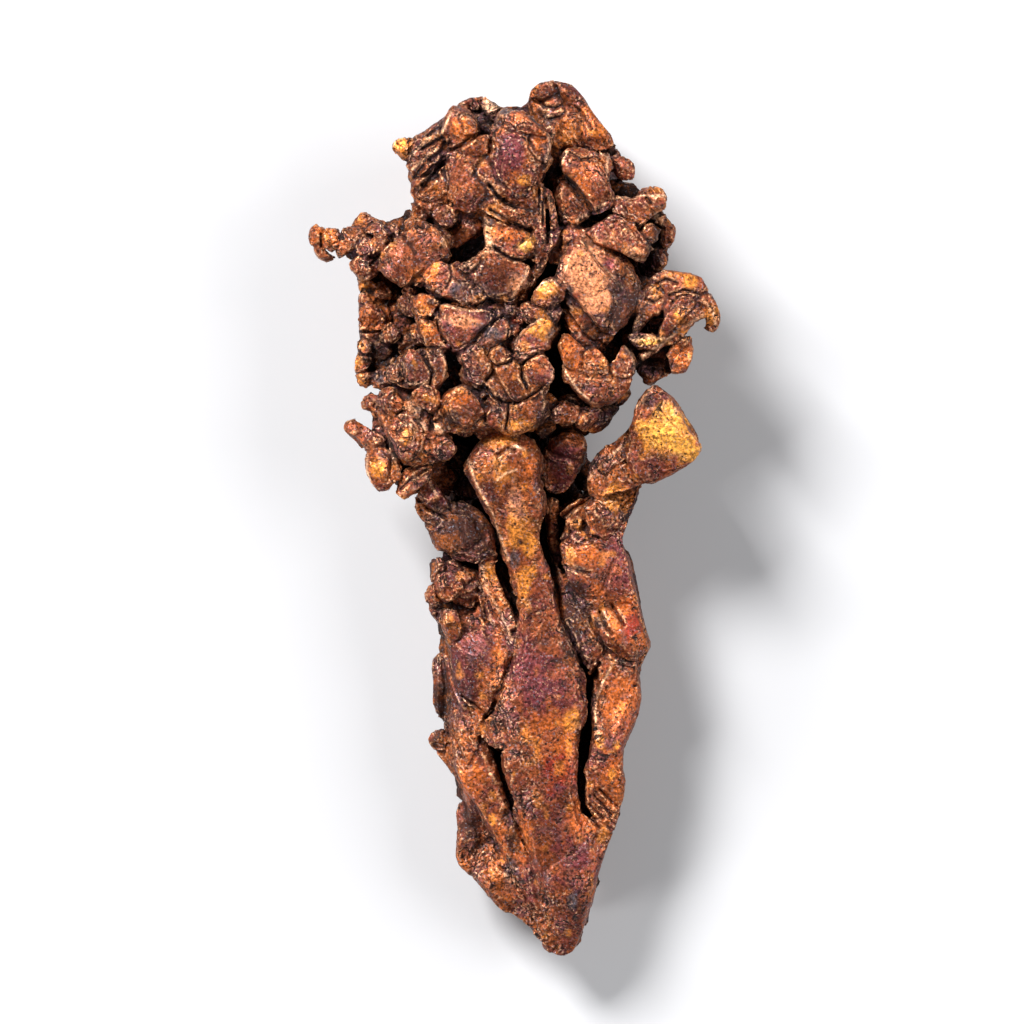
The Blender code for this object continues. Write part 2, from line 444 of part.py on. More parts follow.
        (661, 334), (664, 322), (663, 310)]),
    ("ring_shoulder", 196, 60, 0.7, (0, 0), [
        (643, 292), (650, 284), (660, 282), (668, 290), (664, 302), (654, 308), (645, 303)]),
    ("ring_crescent", 198, 60, 0.3, (0, 0.1), [
        (628, 337), (634, 334), (645, 334), (656, 337), (665, 341), (662, 346), (652, 350),
        (640, 349), (632, 344)]),
    ("ring_under", 172, 70, 0.7, (0, 0), [
        (620, 333), (629, 323), (635, 331), (643, 345), (640, 358), (634, 370), (629, 360),
        (624, 347)]),
    ("ring_foot", 188, 70, 0.3, (0, 0), [
        (668, 354), (675, 342), (684, 337), (692, 339), (692, 354), (688, 368), (680, 374),
        (672, 372)]),
    ("ring_base", 164, 60, 0.7, (0, 0), [
        (636, 369), (643, 361), (655, 358), (668, 358), (673, 369), (665, 374), (658, 381),
        (652, 386), (644, 378)]),
    ("ring_root", 150, 80, 0.8, (0, 0), [
        (612, 325), (632, 318), (648, 330), (652, 350), (640, 368), (622, 365), (610, 345)]),
    ("ring_deep", 132, 60, 0.8, (0, 0), [
        (622, 312), (648, 304), (674, 310), (674, 335), (656, 348), (630, 342)]),
    ("ring_back", 166, 40, 0.7, (0, 0), [
        (640, 295), (660, 284), (690, 284), (702, 298), (688, 318), (672, 322), (658, 315),
        (646, 317), (636, 326), (630, 312)]),
    ("ring_low", 170, 44, 0.7, (0, 0), [
        (630, 336), (645, 337), (660, 333), (672, 328), (686, 326), (682, 345), (668, 357),
        (650, 358), (634, 350)]),
    ("heart_left", 208, 80, 0.32, (-0.05, 0.05), [
        (558, 346), (563, 337), (568, 335), (577, 343), (586, 351), (584, 362), (583, 372),
        (575, 374), (564, 366)]),
    ("heart_mid", 211, 80, 0.32, (0, 0), [
        (583, 356), (588, 350), (597, 350), (604, 358), (609, 365), (607, 376), (597, 380),
        (586, 376), (583, 366)]),
    ("heart_right", 209, 80, 0.32, (0.05, 0), [
        (609, 366), (617, 360), (620, 350), (624, 346), (630, 354), (634, 366), (634, 375),
        (622, 382), (611, 378)]),
    ("heart_body", 209, 84, 0.34, (0, -0.05), [
        (562, 364), (575, 373), (590, 377), (606, 377), (622, 381), (632, 377), (628, 390),
        (616, 400), (600, 403), (588, 403), (577, 393), (568, 380)]),
    ("heart_tail", 178, 60, 0.8, (0, 0), [
        (618, 385), (626, 382), (630, 391), (626, 400), (618, 404), (614, 396)]),
    ("heart_back", 160, 80, 0.8, (0, 0), [
        (575, 345), (610, 335), (628, 350), (622, 385), (600, 395), (575, 385)]),
    ("nut_a", 188, 60, 0.75, (0, 0), [
        (550, 416), (554, 406), (562, 401), (572, 404), (579, 410), (574, 420), (565, 423),
        (555, 421)]),
    ("nut_b", 184, 50, 0.75, (0, 0), [
        (576, 424), (582, 412), (591, 407), (601, 408), (600, 416), (592, 422), (586, 430),
        (578, 430)]),
    ("nut_c", 164, 60, 0.8, (0, 0), [
        (592, 410), (603, 402), (614, 402), (618, 410), (612, 422), (602, 430), (590, 434),
        (586, 424)]),
    ("nut_d", 172, 50, 0.8, (0, 0), [
        (558, 399), (566, 394), (577, 396), (583, 404), (574, 409), (562, 406)]),
    ("neck_right", 140, 90, 0.8, (0, 0), [
        (540, 395), (570, 385), (600, 395), (605, 415), (585, 435), (560, 440), (540, 430)]),
    ("right_sheet", 134, 90, 0.5, (-0.06, 0), [
        (560, 508), (588, 494), (616, 498), (616, 545), (628, 570), (638, 620), (645, 650),
        (638, 690), (633, 730), (621, 762), (620, 800), (612, 830), (598, 822), (589, 800),
        (594, 765), (598, 735), (597, 700), (604, 672), (592, 650), (584, 615), (572, 590),
        (560, 560)]),
    ("left_sheet", 124, 80, 0.6, (0.06, 0), [
        (440, 575), (470, 570), (482, 600), (494, 640), (498, 680), (486, 712), (478, 745),
        (486, 790), (500, 830), (516, 880), (523, 905), (505, 902), (485, 877), (470, 850),
        (464, 800), (456, 762), (448, 735), (444, 700), (440, 660), (436, 620)]),
    ("inner_bulb", 146, 70, 0.7, (0, 0), [
        (549, 441), (560, 430), (572, 428), (583, 434), (587, 445), (585, 457), (579, 469),
        (573, 481), (565, 491), (555, 493), (545, 486), (542, 470), (543, 454)]),
    ("inner_bulb_cap", 150, 50, 0.75, (0, 0), [
        (551, 440), (562, 430), (574, 430), (583, 437), (585, 448), (576, 458), (562, 456),
        (552, 450)]),
    ("left_wing", 150, 90, 0.6, (0.05, 0), [
        (440, 496), (452, 502), (466, 503), (479, 511), (489, 523), (495, 540), (496, 553),
        (487, 560), (476, 563), (463, 559), (450, 553), (439, 546), (431, 535), (423, 523),
        (432, 512)]),
    ("left_wing_neck", 152, 70, 0.65, (0, 0), [
        (419, 488), (427, 477), (434, 481), (440, 492), (448, 502), (452, 514), (440, 514),
        (430, 508), (421, 499)]),
    ("left_wing_bulb", 156, 60, 0.65, (0, 0), [
        (446, 522), (458, 514), (472, 518), (484, 530), (486, 545), (474, 552), (460, 548),
        (448, 537)]),
    ("wing_pit_ball", 128, 60, 0.85, (0, 0), [
        (438, 480), (442, 471), (450, 470), (455, 478), (450, 490), (442, 494)]),
    ("wing_pit_wall", 118, 60, 0.8, (0, 0), [
        (450, 468), (468, 470), (480, 485), (485, 500), (470, 500), (455, 492)]),
    ("left_body", 142, 96, 0.5, (0.05, -0.02), [
        (444, 600), (458, 590), (472, 596), (482, 612), (496, 622), (505, 638), (512, 654),
        (510, 668), (506, 682), (500, 695), (494, 707), (487, 717), (476, 709), (466, 701),
        (457, 692), (452, 676), (449, 656), (446, 641), (441, 624)]),
    ("left_body_top", 132, 80, 0.6, (0, 0), [
        (446, 566), (458, 565), (474, 570), (479, 582), (479, 600), (470, 608), (456, 604),
        (446, 592)]),
    ("left_snail", 148, 60, 0.75, (0, 0), [
        (435, 586), (440, 575), (450, 571), (459, 577), (462, 588), (455, 598), (446, 601),
        (438, 596)]),
    ("left_nib", 134, 60, 0.8, (0, 0), [
        (430, 572), (432, 562), (437, 557), (443, 564), (442, 574), (435, 580)]),
    ("left_nib_2", 130, 50, 0.85, (0, 0), [
        (446, 563), (453, 559), (460, 564), (456, 570), (449, 570)]),
    ("left_lobe", 138, 60, 0.75, (0, 0), [
        (424, 594), (430, 583), (436, 590), (441, 602), (434, 608), (427, 604)]),
    ("left_lobe_2", 132, 60, 0.75, (0, 0), [
        (428, 607), (438, 606), (443, 614), (440, 624), (432, 618)]),
    ("left_gold", 146, 60, 0.7, (0, 0), [
        (440, 618), (446, 608), (456, 612), (460, 624), (454, 640), (446, 634)]),
    ("groove_face", 132, 70, 0.5, (-0.2, 0), [
        (478, 588), (486, 598), (494, 612), (502, 628), (508, 648), (500, 646), (490, 626),
        (480, 608)]),
    ("pit_fill", 104, 60, 0.8, (0, 0), [
        (434, 440), (450, 436), (466, 446), (472, 470), (462, 484), (446, 480), (436, 462)]),
    ("edge_lobe", 108, 70, 0.6, (0, 0), [
        (431, 663), (436, 655), (449, 650), (454, 665), (457, 681), (462, 698), (458, 709),
        (450, 720), (441, 722), (434, 712), (432, 700), (433, 685), (431, 673)]),
    ("edge_nub", 96, 50, 0.85, (0, 0), [
        (427, 741), (431, 734), (440, 731), (448, 738), (449, 748), (441, 754), (431, 750)]),
    ("edge_low", 96, 60, 0.7, (0, 0), [
        (436, 740), (445, 742), (458, 758), (466, 774), (470, 790), (462, 792), (453, 778),
        (443, 764), (436, 754)]),
    ("wing_margin", 120, 80, 0.6, (0, 0), [
        (612, 545), (628, 548), (634, 562), (637, 578), (640, 592), (642, 606), (636, 616),
        (624, 612), (616, 590), (611, 566)]),
    ("brow_edge", 96, 50, 0.7, (0, 0), [
        (428, 560), (434, 562), (438, 574), (436, 584), (430, 582)]),
    ("mid_nub", 118, 70, 0.7, (0, 0), [
        (458, 712), (468, 705), (480, 714), (480, 724), (470, 728), (458, 724)]),
    ("skirt", 98, 70, 0.6, (0.1, 0), [
        (472, 806), (484, 822), (494, 838), (505, 860), (517, 882), (530, 905), (536, 922),
        (529, 934), (518, 919), (505, 917), (494, 906), (481, 891), (472, 876), (478, 858),
        (476, 838), (470, 820)]),
    ("skirt_lobe", 92, 64, 0.6, (0, 0), [
        (454, 815), (460, 806), (470, 806), (476, 820), (479, 838), (484, 856), (478, 870),
        (470, 880), (461, 872), (455, 860), (456, 843), (457, 828)]),
    ("right_wing", 150, 100, 0.4, (-0.12, 0), [
        (562, 540), (570, 515), (585, 500), (600, 490), (618, 484), (634, 482), (643, 485),
        (640, 492), (633, 500), (625, 509), (623, 520), (621, 530), (618, 540), (624, 549),
        (630, 556), (632, 570), (635, 585), (640, 600), (644, 620), (649, 635), (652, 646),
        (647, 657), (640, 667), (629, 669), (617, 661), (607, 650), (599, 634), (590, 620),
        (580, 606), (572, 590), (565, 566)]),
    ("right_wing_crest", 156, 70, 0.6, (-0.1, 0), [
        (585, 505), (600, 498), (616, 500), (622, 512), (616, 528), (604, 538), (592, 532),
        (586, 518)]),
    ("right_wing_belly", 156, 70, 0.8, (-0.1, 0), [
        (560, 545), (575, 532), (598, 535), (616, 548), (622, 575), (618, 600), (600, 608),
        (582, 600), (568, 580)]),
    ("right_wing_low", 153, 80, 0.4, (-0.12, 0), [
        (590, 608), (612, 602), (632, 606), (644, 630), (648, 648), (636, 660), (620, 656),
        (606, 644), (596, 626)]),
    ("wing_nut", 150, 40, 0.85, (0, 0), [
        (566, 523), (573, 516), (581, 516), (583, 524), (576, 530), (568, 529)]),
    ("wing_nut_2", 152, 50, 0.75, (0, 0), [
        (568, 537), (576, 530), (585, 531), (590, 540), (582, 548), (572, 546)]),
    ("wing_shelf", 136, 60, 0.6, (0, 0), [
        (560, 514), (570, 504), (582, 498), (588, 504), (580, 514), (568, 520)]),
    ("inner_facet", 140, 96, 0.4, (0.1, 0.05), [
        (553, 556), (561, 570), (573, 590), (586, 612), (599, 634), (606, 650), (598, 665),
        (589, 675), (582, 662), (573, 645), (563, 624), (557, 606), (553, 585)]),
    ("right_low", 140, 96, 0.55, (-0.05, -0.03), [
        (597, 681), (604, 669), (615, 663), (630, 667), (641, 675), (642, 695), (640, 715),
        (633, 730), (626, 748), (621, 762), (627, 778), (625, 795), (621, 812), (616, 828),
        (605, 834), (596, 820), (587, 806), (585, 790), (587, 770), (591, 750), (593, 730),
        (591, 712), (593, 696)]),
    ("tip", 124, 96, 0.62, (0, -0.28), [
        (545, 830), (565, 822), (583, 816), (600, 824), (614, 836), (608, 850), (602, 865),
        (598, 880), (595, 900), (590, 915), (585, 930), (580, 944), (573, 956), (563, 960),
        (552, 956), (543, 946), (536, 930), (536, 905), (538, 870)]),
    ("horn_face", 192, 40, 0.22, (0.06, -0.12), [
        (636, 407), (642, 396), (654, 385), (665, 392), (674, 402), (681, 412), (684, 422),
        (691, 432), (699, 441), (701, 450), (695, 459), (685, 467), (672, 474), (658, 481),
        (645, 485), (632, 476), (628, 452), (629, 434), (633, 418)]),
    ("horn_stem", 164, 60, 0.45, (0.25, 0), [
        (588, 482), (590, 466), (598, 454), (607, 446), (619, 438), (632, 426), (644, 448),
        (646, 468), (644, 480), (634, 486), (618, 490), (602, 498), (590, 494)]),
    ("horn_stem_fold", 170, 40, 0.6, (0.2, 0.1), [
        (596, 470), (606, 458), (620, 450), (634, 440), (642, 444), (632, 456), (618, 464),
        (606, 474)]),
    ("horn_knob", 186, 44, 0.7, (0, 0), [
        (641, 406), (643, 397), (651, 389), (658, 393), (660, 402), (652, 409)]),
]

# Each blade: name, depth, edge roundness and stations (x, y, half width, top)
BLADES = [
    ("blade", 96, 0.62, [
        (500, 440, 26, 176), (503, 455, 37, 182), (505, 470, 38, 183), (509, 487, 32, 180),
        (517, 505, 29, 176), (518, 522, 24, 172), (520, 540, 20, 166), (527, 562, 18, 160),
        (532, 582, 18, 156), (537, 602, 18, 152), (541, 624, 22, 148), (544, 645, 29, 146),
        (545, 670, 36, 147), (543, 695, 44, 148), (541, 715, 45, 147), (541, 740, 38, 144),
        (543, 765, 35, 141), (545, 790, 33, 138), (550, 815, 31, 134), (558, 845, 30, 128),
        (563, 875, 28, 120), (565, 905, 24, 108)]),
    ("blade_flange", 70, 0.55, [
        (520, 722, 20, 146), (500, 732, 18, 138), (484, 732, 10, 130)]),
    ("blade_tongue", 60, 0.6, [
        (512, 752, 12, 146), (517, 768, 13, 144), (521, 788, 11, 140), (524, 804, 8, 134)]),
    ("strip", 70, 0.55, [
        (487, 563, 9, 138), (489, 580, 9, 138), (495, 595, 9, 137), (503, 612, 9, 136),
        (510, 628, 8, 135), (514, 643, 5, 133), (512, 658, 3, 132)]),
    ("left_ridge", 80, 0.65, [
        (466, 728, 14, 116), (470, 750, 19, 120), (478, 775, 20, 122), (490, 800, 16, 120),
        (502, 825, 14, 117), (514, 850, 12, 113), (526, 876, 10, 108), (538, 900, 9, 102),
        (546, 918, 8, 96)]),
    ("rib_a", 70, 0.7, [
        (540, 186, 4, 222), (539, 205, 4, 218), (541, 225, 4, 216), (543, 245, 4, 212),
        (536, 265, 4, 206)]),
    ("rib_b", 70, 0.7, [
        (546, 192, 3, 218), (551, 210, 4, 216), (554, 228, 4, 214), (551, 244, 4, 210),
        (543, 258, 4, 206), (535, 275, 4, 202), (526, 292, 4, 196), (520, 303, 3, 190)]),
    ("rib_c", 70, 0.7, [
        (533, 214, 3, 214), (534, 230, 3, 214), (538, 248, 4, 212), (533, 262, 4, 206)]),
    ("rib_dark", 80, 0.7, [
        (545, 176, 5, 180), (549, 190, 5, 180), (554, 208, 5, 178), (558, 226, 5, 178)]),
    ("violet_web", 80, 0.7, [
        (548, 130, 8, 190), (553, 145, 8, 186), (552, 160, 7, 180), (549, 175, 6, 176)]),
    ("tongue_band", 70, 0.65, [
        (564, 286, 5, 202), (572, 303, 6, 200), (584, 322, 7, 196), (596, 338, 7, 190)]),
    ("tongue_band_2", 70, 0.65, [
        (566, 308, 5, 192), (573, 322, 7, 190), (584, 336, 9, 188), (600, 345, 8, 184)]),
    ("arm_hook", 36, 0.85, [
        (316, 246, 6, 160), (321, 255, 5, 158), (331, 258, 4, 156)]),
    ("spur", 36, 0.8, [
        (347, 424, 7, 150), (357, 432, 8, 154), (369, 439, 9, 158), (382, 444, 9, 164)]),
    ("ring_bar", 46, 0.65, [
        (690, 303, 7, 204), (680, 309, 8, 206), (672, 320, 8, 204), (666, 333, 7, 200),
        (662, 342, 5, 196)]),
    ("ring_diag", 34, 0.55, [
        (702, 313, 5, 198), (691, 315, 5, 200), (681, 324, 5, 200), (673, 336, 4, 198),
        (660, 344, 4, 194), (649, 352, 4, 190), (640, 358, 4, 186)]),
    ("hook", 40, 0.75, [
        (697, 303, 6, 196), (705, 300, 6, 196), (711, 309, 7, 192), (713, 321, 7, 186),
        (711, 330, 5, 180)]),
    ("wing_edge", 50, 0.7, [
        (417, 503, 5, 140), (425, 515, 6, 142), (436, 524, 6, 144)]),
    ("horn_rim", 44, 0.7, [
        (632, 474, 7, 152), (648, 472, 6, 160), (665, 469, 5, 168), (682, 461, 5, 172),
        (695, 449, 4, 172)]),
    ("horn_edge", 40, 0.7, [
        (660, 390, 3, 178), (673, 402, 4, 174), (683, 418, 4, 170), (697, 438, 4, 168)]),
    ("groove_wall", 60, 0.7, [
        (552, 500, 7, 128), (552, 520, 6, 124), (554, 545, 6, 120), (558, 565, 6, 116)]),
    ("keel", 76, 0.8, [
        (500, 400, 22, 88), (520, 480, 18, 84), (538, 560, 17, 82), (538, 640, 19, 80),
        (536, 720, 20, 80), (546, 800, 18, 78), (560, 880, 12, 76)]),
    ("keel_fold", 60, 0.8, [
        (556, 470, 9, 74), (584, 520, 10, 76), (602, 590, 11, 78), (604, 660, 10, 78),
        (600, 740, 8, 74)]),
    ("keel_fold_left", 60, 0.8, [
        (486, 470, 9, 72), (474, 540, 10, 74), (476, 620, 10, 74), (486, 700, 9, 72),
        (498, 780, 8, 70)]),
]

# Each knob of the back: name, x, y, lowest point, half width, half length, height
BACK_KNOBS = [
    ("heel_left", 428, 300, 0, 34, 38, 92),
    ("heel_right", 598, 262, 0, 34, 38, 92),
    ("heel_middle", 508, 372, 5, 40, 32, 84),
    ("back_brow", 520, 158, 12, 38, 30, 96),
    ("back_head", 565, 118, 34, 28, 24, 90),
    ("back_temple", 452, 198, 16, 34, 30, 90),
    ("back_centre", 515, 250, 4, 36, 40, 90),
    ("back_cheek_right", 628, 322, 28, 22, 28, 84),
    ("back_cheek_left", 388, 352, 32, 26, 32, 84),
    ("back_jaw_left", 440, 418, 22, 30, 28, 84),
    ("back_jaw_right", 572, 388, 20, 32, 28, 84),
    ("back_knot_1", 468, 312, 6, 24, 30, 76),
    ("back_knot_2", 562, 322, 8, 26, 28, 76),
    ("back_knot_3", 606, 192, 22, 24, 28, 84),
    ("back_knot_4", 548, 206, 6, 22, 28, 76),
    ("back_knot_5", 490, 436, 8, 30, 30, 84),
    ("back_knot_6", 398, 256, 44, 20, 24, 76),
    ("back_knot_7", 646, 240, 60, 18, 22, 66),
    ("spine_1", 512, 478, 6, 26, 34, 88),
    ("spine_2", 548, 528, 2, 24, 36, 88),
    ("spine_3", 502, 566, 8, 26, 34, 84),
    ("spine_4", 566, 590, 3, 28, 34, 86),
    ("spine_5", 518, 640, 0, 28, 38, 86),
    ("spine_6", 588, 668, 10, 22, 34, 84),
    ("spine_7", 478, 698, 14, 20, 28, 74),
    ("spine_8", 544, 722, 2, 28, 34, 84),
    ("spine_9", 594, 752, 14, 18, 32, 76),
    ("spine_10", 508, 778, 10, 24, 32, 78),
    ("spine_11", 556, 806, 0, 26, 36, 84),
    ("spine_12", 530, 866, 10, 22, 28, 74),
    ("spine_13", 574, 874, 6, 18, 32, 76),
    ("spine_14", 562, 926, 14, 14, 22, 66),
    ("side_left_1", 456, 610, 36, 16, 36, 66),
    ("side_right_1", 616, 590, 32, 18, 38, 76),
    ("side_right_2", 616, 704, 30, 16, 34, 70),
    ("side_left_2", 450, 690, 34, 12, 24, 56),
    ("side_left_3", 474, 850, 32, 14, 26, 50),
    ("side_right_3", 606, 812, 30, 12, 28, 66),
    ("back_left_wing", 462, 530, 40, 22, 22, 70),
]

# Small nodules strewn over the flanks and the back of a core: the core's name,
# each ring's share of the outline with its number of nodules, their size range
# and how much longer than wide they are, all in grid steps, then the seed
STREWN = [
    ("crown_core", ((1.0, 30), (0.93, 26), (0.8, 20), (0.6, 13), (0.35, 7)), (9, 17), 1.15, 11),
    ("body_core_top", ((1.0, 22), (0.9, 16), (0.66, 9), (0.3, 4)), (8, 14), 1.7, 12),
    ("body_core_low", ((1.0, 20), (0.88, 14), (0.6, 8), (0.2, 3)), (7, 13), 1.8, 13),
]


def clear_scene():
    """Remove every object of the open scene."""
    for item in list(bpy.data.objects):
        bpy.data.objects.remove(item, do_unlink=True)


def to_metres(x, y, z):
    """Grid steps to metres: x right, y down the nugget, z up."""
    right = (x - GRID_MIDDLE[0]) * STEP
    up = (GRID_MIDDLE[1] - y) * STEP
    return np.stack([right, up, z * STEP], axis=-1)


def smooth_loop(points, count):
    """Closed Catmull-Rom curve through the points, read at count places."""
    points = np.asarray(points, dtype=float)
    turns = np.arange(count) * len(points) / count
    index = turns.astype(int)
    t = (turns - index)[:, None]
    before, start, end, after = (points[(index + k) % len(points)] for k in (-1, 0, 1, 2))
    curve = 2 * start + (end - before) * t
    curve += (2 * before - 5 * start + 4 * end - after) * t ** 2
    curve += (3 * start - before - 3 * end + after) * t ** 3
    return curve / 2


def cornered_loop(points, count):
    """The smooth loop drawn partly back to the straight lines between its points."""
    points = np.asarray(points, dtype=float)
    turns = np.arange(count) * len(points) / count
    index = turns.astype(int)
    t = (turns - index)[:, None]
    straight = points[index] * (1 - t) + points[(index + 1) % len(points)] * t
    return smooth_loop(points, count) * (1 - CORNER_SHARE) + straight * CORNER_SHARE


def chiselled(away, radius, edge, seed):
    """How far sloping planes, each past a line beside the centre, cut into a lump's top."""
    draw = np.random.default_rng(seed)
    drop = np.zeros(away.shape[:-1])
    start = draw.uniform(0, 2 * np.pi)
    for turn in range(CUTS):
        angle = start + turn * 2 * np.pi / CUTS + draw.uniform(-0.4, 0.4)
        slope = draw.uniform(0.25, 1.0) * CHISEL * edge
        reach = away @ np.array([np.cos(angle), np.sin(angle)]) - draw.uniform(0.0, 0.6) * radius
        drop = np.maximum(drop, slope * reach)
    return drop


def ring_angles(rings):
    """Angles from the front pole (+90 degrees) to the back pole, both left out."""
    return np.linspace(np.pi / 2, -np.pi / 2, 2 * rings + 1)[1:-1]


def skin(loops, first, last):
    """Mesh data of a closed skin: quads between equal loops and a fan at each end."""
    count, sides = loops.shape[:2]
    points = np.concatenate([loops.reshape(-1, 3), [first, last]])
    faces = []
    for row in range(count - 1):
        for side in range(sides):
            across = (side + 1) % sides
            faces.append((row * sides + side, (row + 1) * sides + side,
                          (row + 1) * sides + across, row * sides + across))
    for side in range(sides):
        across = (side + 1) % sides
        faces.append((count * sides, side, across))
        faces.append((count * sides + 1, (count - 1) * sides + across, (count - 1) * sides + side))
    return points, faces


def lump(top, depth, edge, slope, outline):
    """Closed pebble: outline(u) drawn in by cos(v)^edge, domed by sin(v) above its rim."""
    rim = cornered_loop(outline, LUMP_SIDES)
    centre = rim.mean(axis=0)
    radius = np.linalg.norm(rim - centre, axis=1).mean()
    rim = centre + (rim - centre) * (1 + SWELL / radius)
    dome = min(DOME_SHARE * depth, DOME_RATIO * radius)
    v = ring_angles(LUMP_RINGS)
    spread = np.cos(v) ** np.where(v > 0, edge * EDGE_SHARE, BACK_EDGE)
    height = top - dome + np.where(v > 0, dome, depth - dome) * np.sin(v)
    flat = centre + (rim - centre)[None] * spread[:, None, None]
    lean = (flat - centre) @ np.asarray(slope)
    front = np.where(v > 0, np.sin(v), 0)[:, None]
    cut = chiselled(flat - centre, radius, edge, int(centre.sum() * 8)) * front
    loops = to_metres(flat[..., 0], flat[..., 1], height[:, None] + lean - cut)
    first = to_metres(centre[0], centre[1], float(top))
    last = to_metres(centre[0], centre[1], float(top - depth))
    return skin(loops, first, last)


def blade(depth, edge, stations):
    """Closed strap: one rounded profile carried along the stations."""
    stations = np.asarray(stations, dtype=float)
    path = stations[:, :2]
    along = np.gradient(path, axis=0)
    along /= np.linalg.norm(along, axis=1, keepdims=True)
    across = np.stack([-along[:, 1], along[:, 0]], axis=1)
    half, top = stations[:, 2], stations[:, 3]
    dome = np.minimum(DOME_SHARE * depth, BLADE_DOME * half)
    turn = np.linspace(0, 2 * np.pi, LUMP_SIDES, endpoint=False)
    side = np.sign(np.cos(turn)) * np.abs(np.cos(turn)) ** (edge * EDGE_SHARE)
    rise = np.sin(turn)
    flat = path[:, None] + across[:, None] * (half[:, None] * side)[..., None]
    tall = np.where(rise > 0, dome[:, None], depth - dome[:, None])
    height = (top - dome)[:, None] + tall * rise
    loops = to_metres(flat[..., 0], flat[..., 1], height)
    ends = []
    for row, push in ((0, -1), (-1, 1)):
        tip = path[row] + along[row] * half[row] * 0.6 * push
        ends.append(to_metres(tip[0], tip[1], top[row] - dome[row]))
    return skin(loops, ends[0], ends[1])


def knob(x, y, low, half_width, half_length, height):
    """Ellipsoid of the hidden back, from its lowest point upward."""
    turn = np.linspace(0, 2 * np.pi, LUMP_SIDES, endpoint=False)
    v = ring_angles(LUMP_RINGS)
    middle = low + height / 2
    flat_x = x + half_width * np.cos(v)[:, None] * np.cos(turn)
    flat_y = y + half_length * np.cos(v)[:, None] * np.sin(turn)
    tall = (middle + height / 2 * np.sin(v))[:, None] * np.ones_like(turn)
    loops = to_metres(flat_x, flat_y, tall)
    first = to_metres(x, y, float(low + height))
    last = to_metres(x, y, float(low))
    return skin(loops, first, last)


def nodule(centre, radii, turn, waves):
    """Small pebble: an ellipsoid turned about Z, its radius waved by 1 + waves * sin(3u + 2v)."""
    u = np.linspace(0, 2 * np.pi, NODULE_SIDES, endpoint=False)
    v = ring_angles(NODULE_RINGS)[:, None]
    size = 1 + waves * np.sin(3 * u + 2 * v + turn)
    wide = radii[0] * size * np.cos(v) * np.cos(u)
    long = radii[1] * size * np.cos(v) * np.sin(u)
    x = centre[0] + wide * np.cos(turn) - long * np.sin(turn)
    y = centre[1] + wide * np.sin(turn) + long * np.cos(turn)
    z = centre[2] + radii[2] * size * np.sin(v)
    first = to_metres(centre[0], centre[1], centre[2] + radii[2])
    last = to_metres(centre[0], centre[1], centre[2] - radii[2])
    return skin(to_metres(x, y, z), first, last)


def strewn(core_name, rings, sizes, stretch, seed):
    """Nodules on a core's flanks and back, evenly spaced round each ring and then shaken."""
    draw = np.random.default_rng(seed)
    top, depth, edge, slope, outline = {entry[0]: entry[1:] for entry in LUMPS}[core_name]
    pieces = []
    for share, number in rings:
        rim = smooth_loop(outline, number)
        middle = rim.mean(axis=0)
        drop = (1 - share ** (2 / BACK_EDGE)) ** 0.5
        for spot in middle + (rim - middle) * share:
            size = draw.uniform(*sizes)
            shaken = spot + draw.uniform(-0.5, 0.5, 2) * size
            inward = (middle - shaken) / np.linalg.norm(middle - shaken) * size * 0.45
            low = top - depth / 2 * (1 + drop) + draw.uniform(-0.1, 0.3) * depth * (1 - drop)
            place = (*(shaken + inward), max(low, size * 0.8))
            radii = (size, size * draw.uniform(1, stretch), size * draw.uniform(0.8, 1.2))
            pieces.append(nodule(place, radii, draw.uniform(-0.5, 0.5), 0.12))
    return pieces


def joined(pieces):
    """All pieces in one mesh, each with its faces turned outward."""
    points = []
    faces = []
    start = 0
    for piece_points, piece_faces in pieces:
        points.append(piece_points)
        faces += [[start + corner for corner in face] for face in piece_faces]
        start += len(piece_points)
    mesh = bpy.data.meshes.new("rough_mass")
    mesh.from_pydata(np.concatenate(points).tolist(), [], faces)
    shape = bmesh.new()
    shape.from_mesh(mesh)
    bmesh.ops.recalc_face_normals(shape, faces=shape.faces)
    shape.to_mesh(mesh)
    shape.free()
    return mesh


def evaluated(mesh, name, kind, **settings):
    """The mesh after one modifier, as a new mesh."""
    carrier = bpy.data.objects.new("work_piece", mesh)
    bpy.context.collection.objects.link(carrier)
    modifier = carrier.modifiers.new(name, kind)
    for setting, value in settings.items():
        setattr(modifier, setting, value)
    graph = bpy.context.evaluated_depsgraph_get()
    result = bpy.data.meshes.new_from_object(carrier.evaluated_get(graph))
    bpy.data.objects.remove(carrier, do_unlink=True)
    return result


def keep_largest(mesh):
    """Drop every island but the one with the most vertices, then cut all faces to triangles."""
    shape = bmesh.new()
    shape.from_mesh(mesh)
    unseen = set(shape.verts)
    islands = []
    while unseen:
        queue = [unseen.pop()]
        island = list(queue)
        while queue:
            for edge in queue.pop().link_edges:
                for vertex in edge.verts:
                    if vertex in unseen:
                        unseen.remove(vertex)
                        queue.append(vertex)
                        island.append(vertex)
        islands.append(island)
    islands.sort(key=len)
    spare = [vertex for island in islands[:-1] for vertex in island]
    bmesh.ops.delete(shape, geom=spare, context="VERTS")
    bmesh.ops.triangulate(shape, faces=shape.faces)
    shape.to_mesh(mesh)
    shape.free()
    return mesh


def wear_and_centre(mesh):
    """Flatten the lowest spots, then put the box's bottom centre at the origin."""
    points = np.empty(len(mesh.vertices) * 3)
    mesh.vertices.foreach_get("co", points)
    points = points.reshape(-1, 3)
    low = points[:, 2].min() + WORN_FLAT
    points[:, 2] = np.maximum(points[:, 2], low) - low
    middle = (points[:, :2].max(axis=0) + points[:, :2].min(axis=0)) / 2
    points[:, :2] -= middle
    points[:, :2] *= LENGTH / np.ptp(points[:, 1])
    mesh.vertices.foreach_set("co", points.ravel())
    mesh.update()
    return mesh


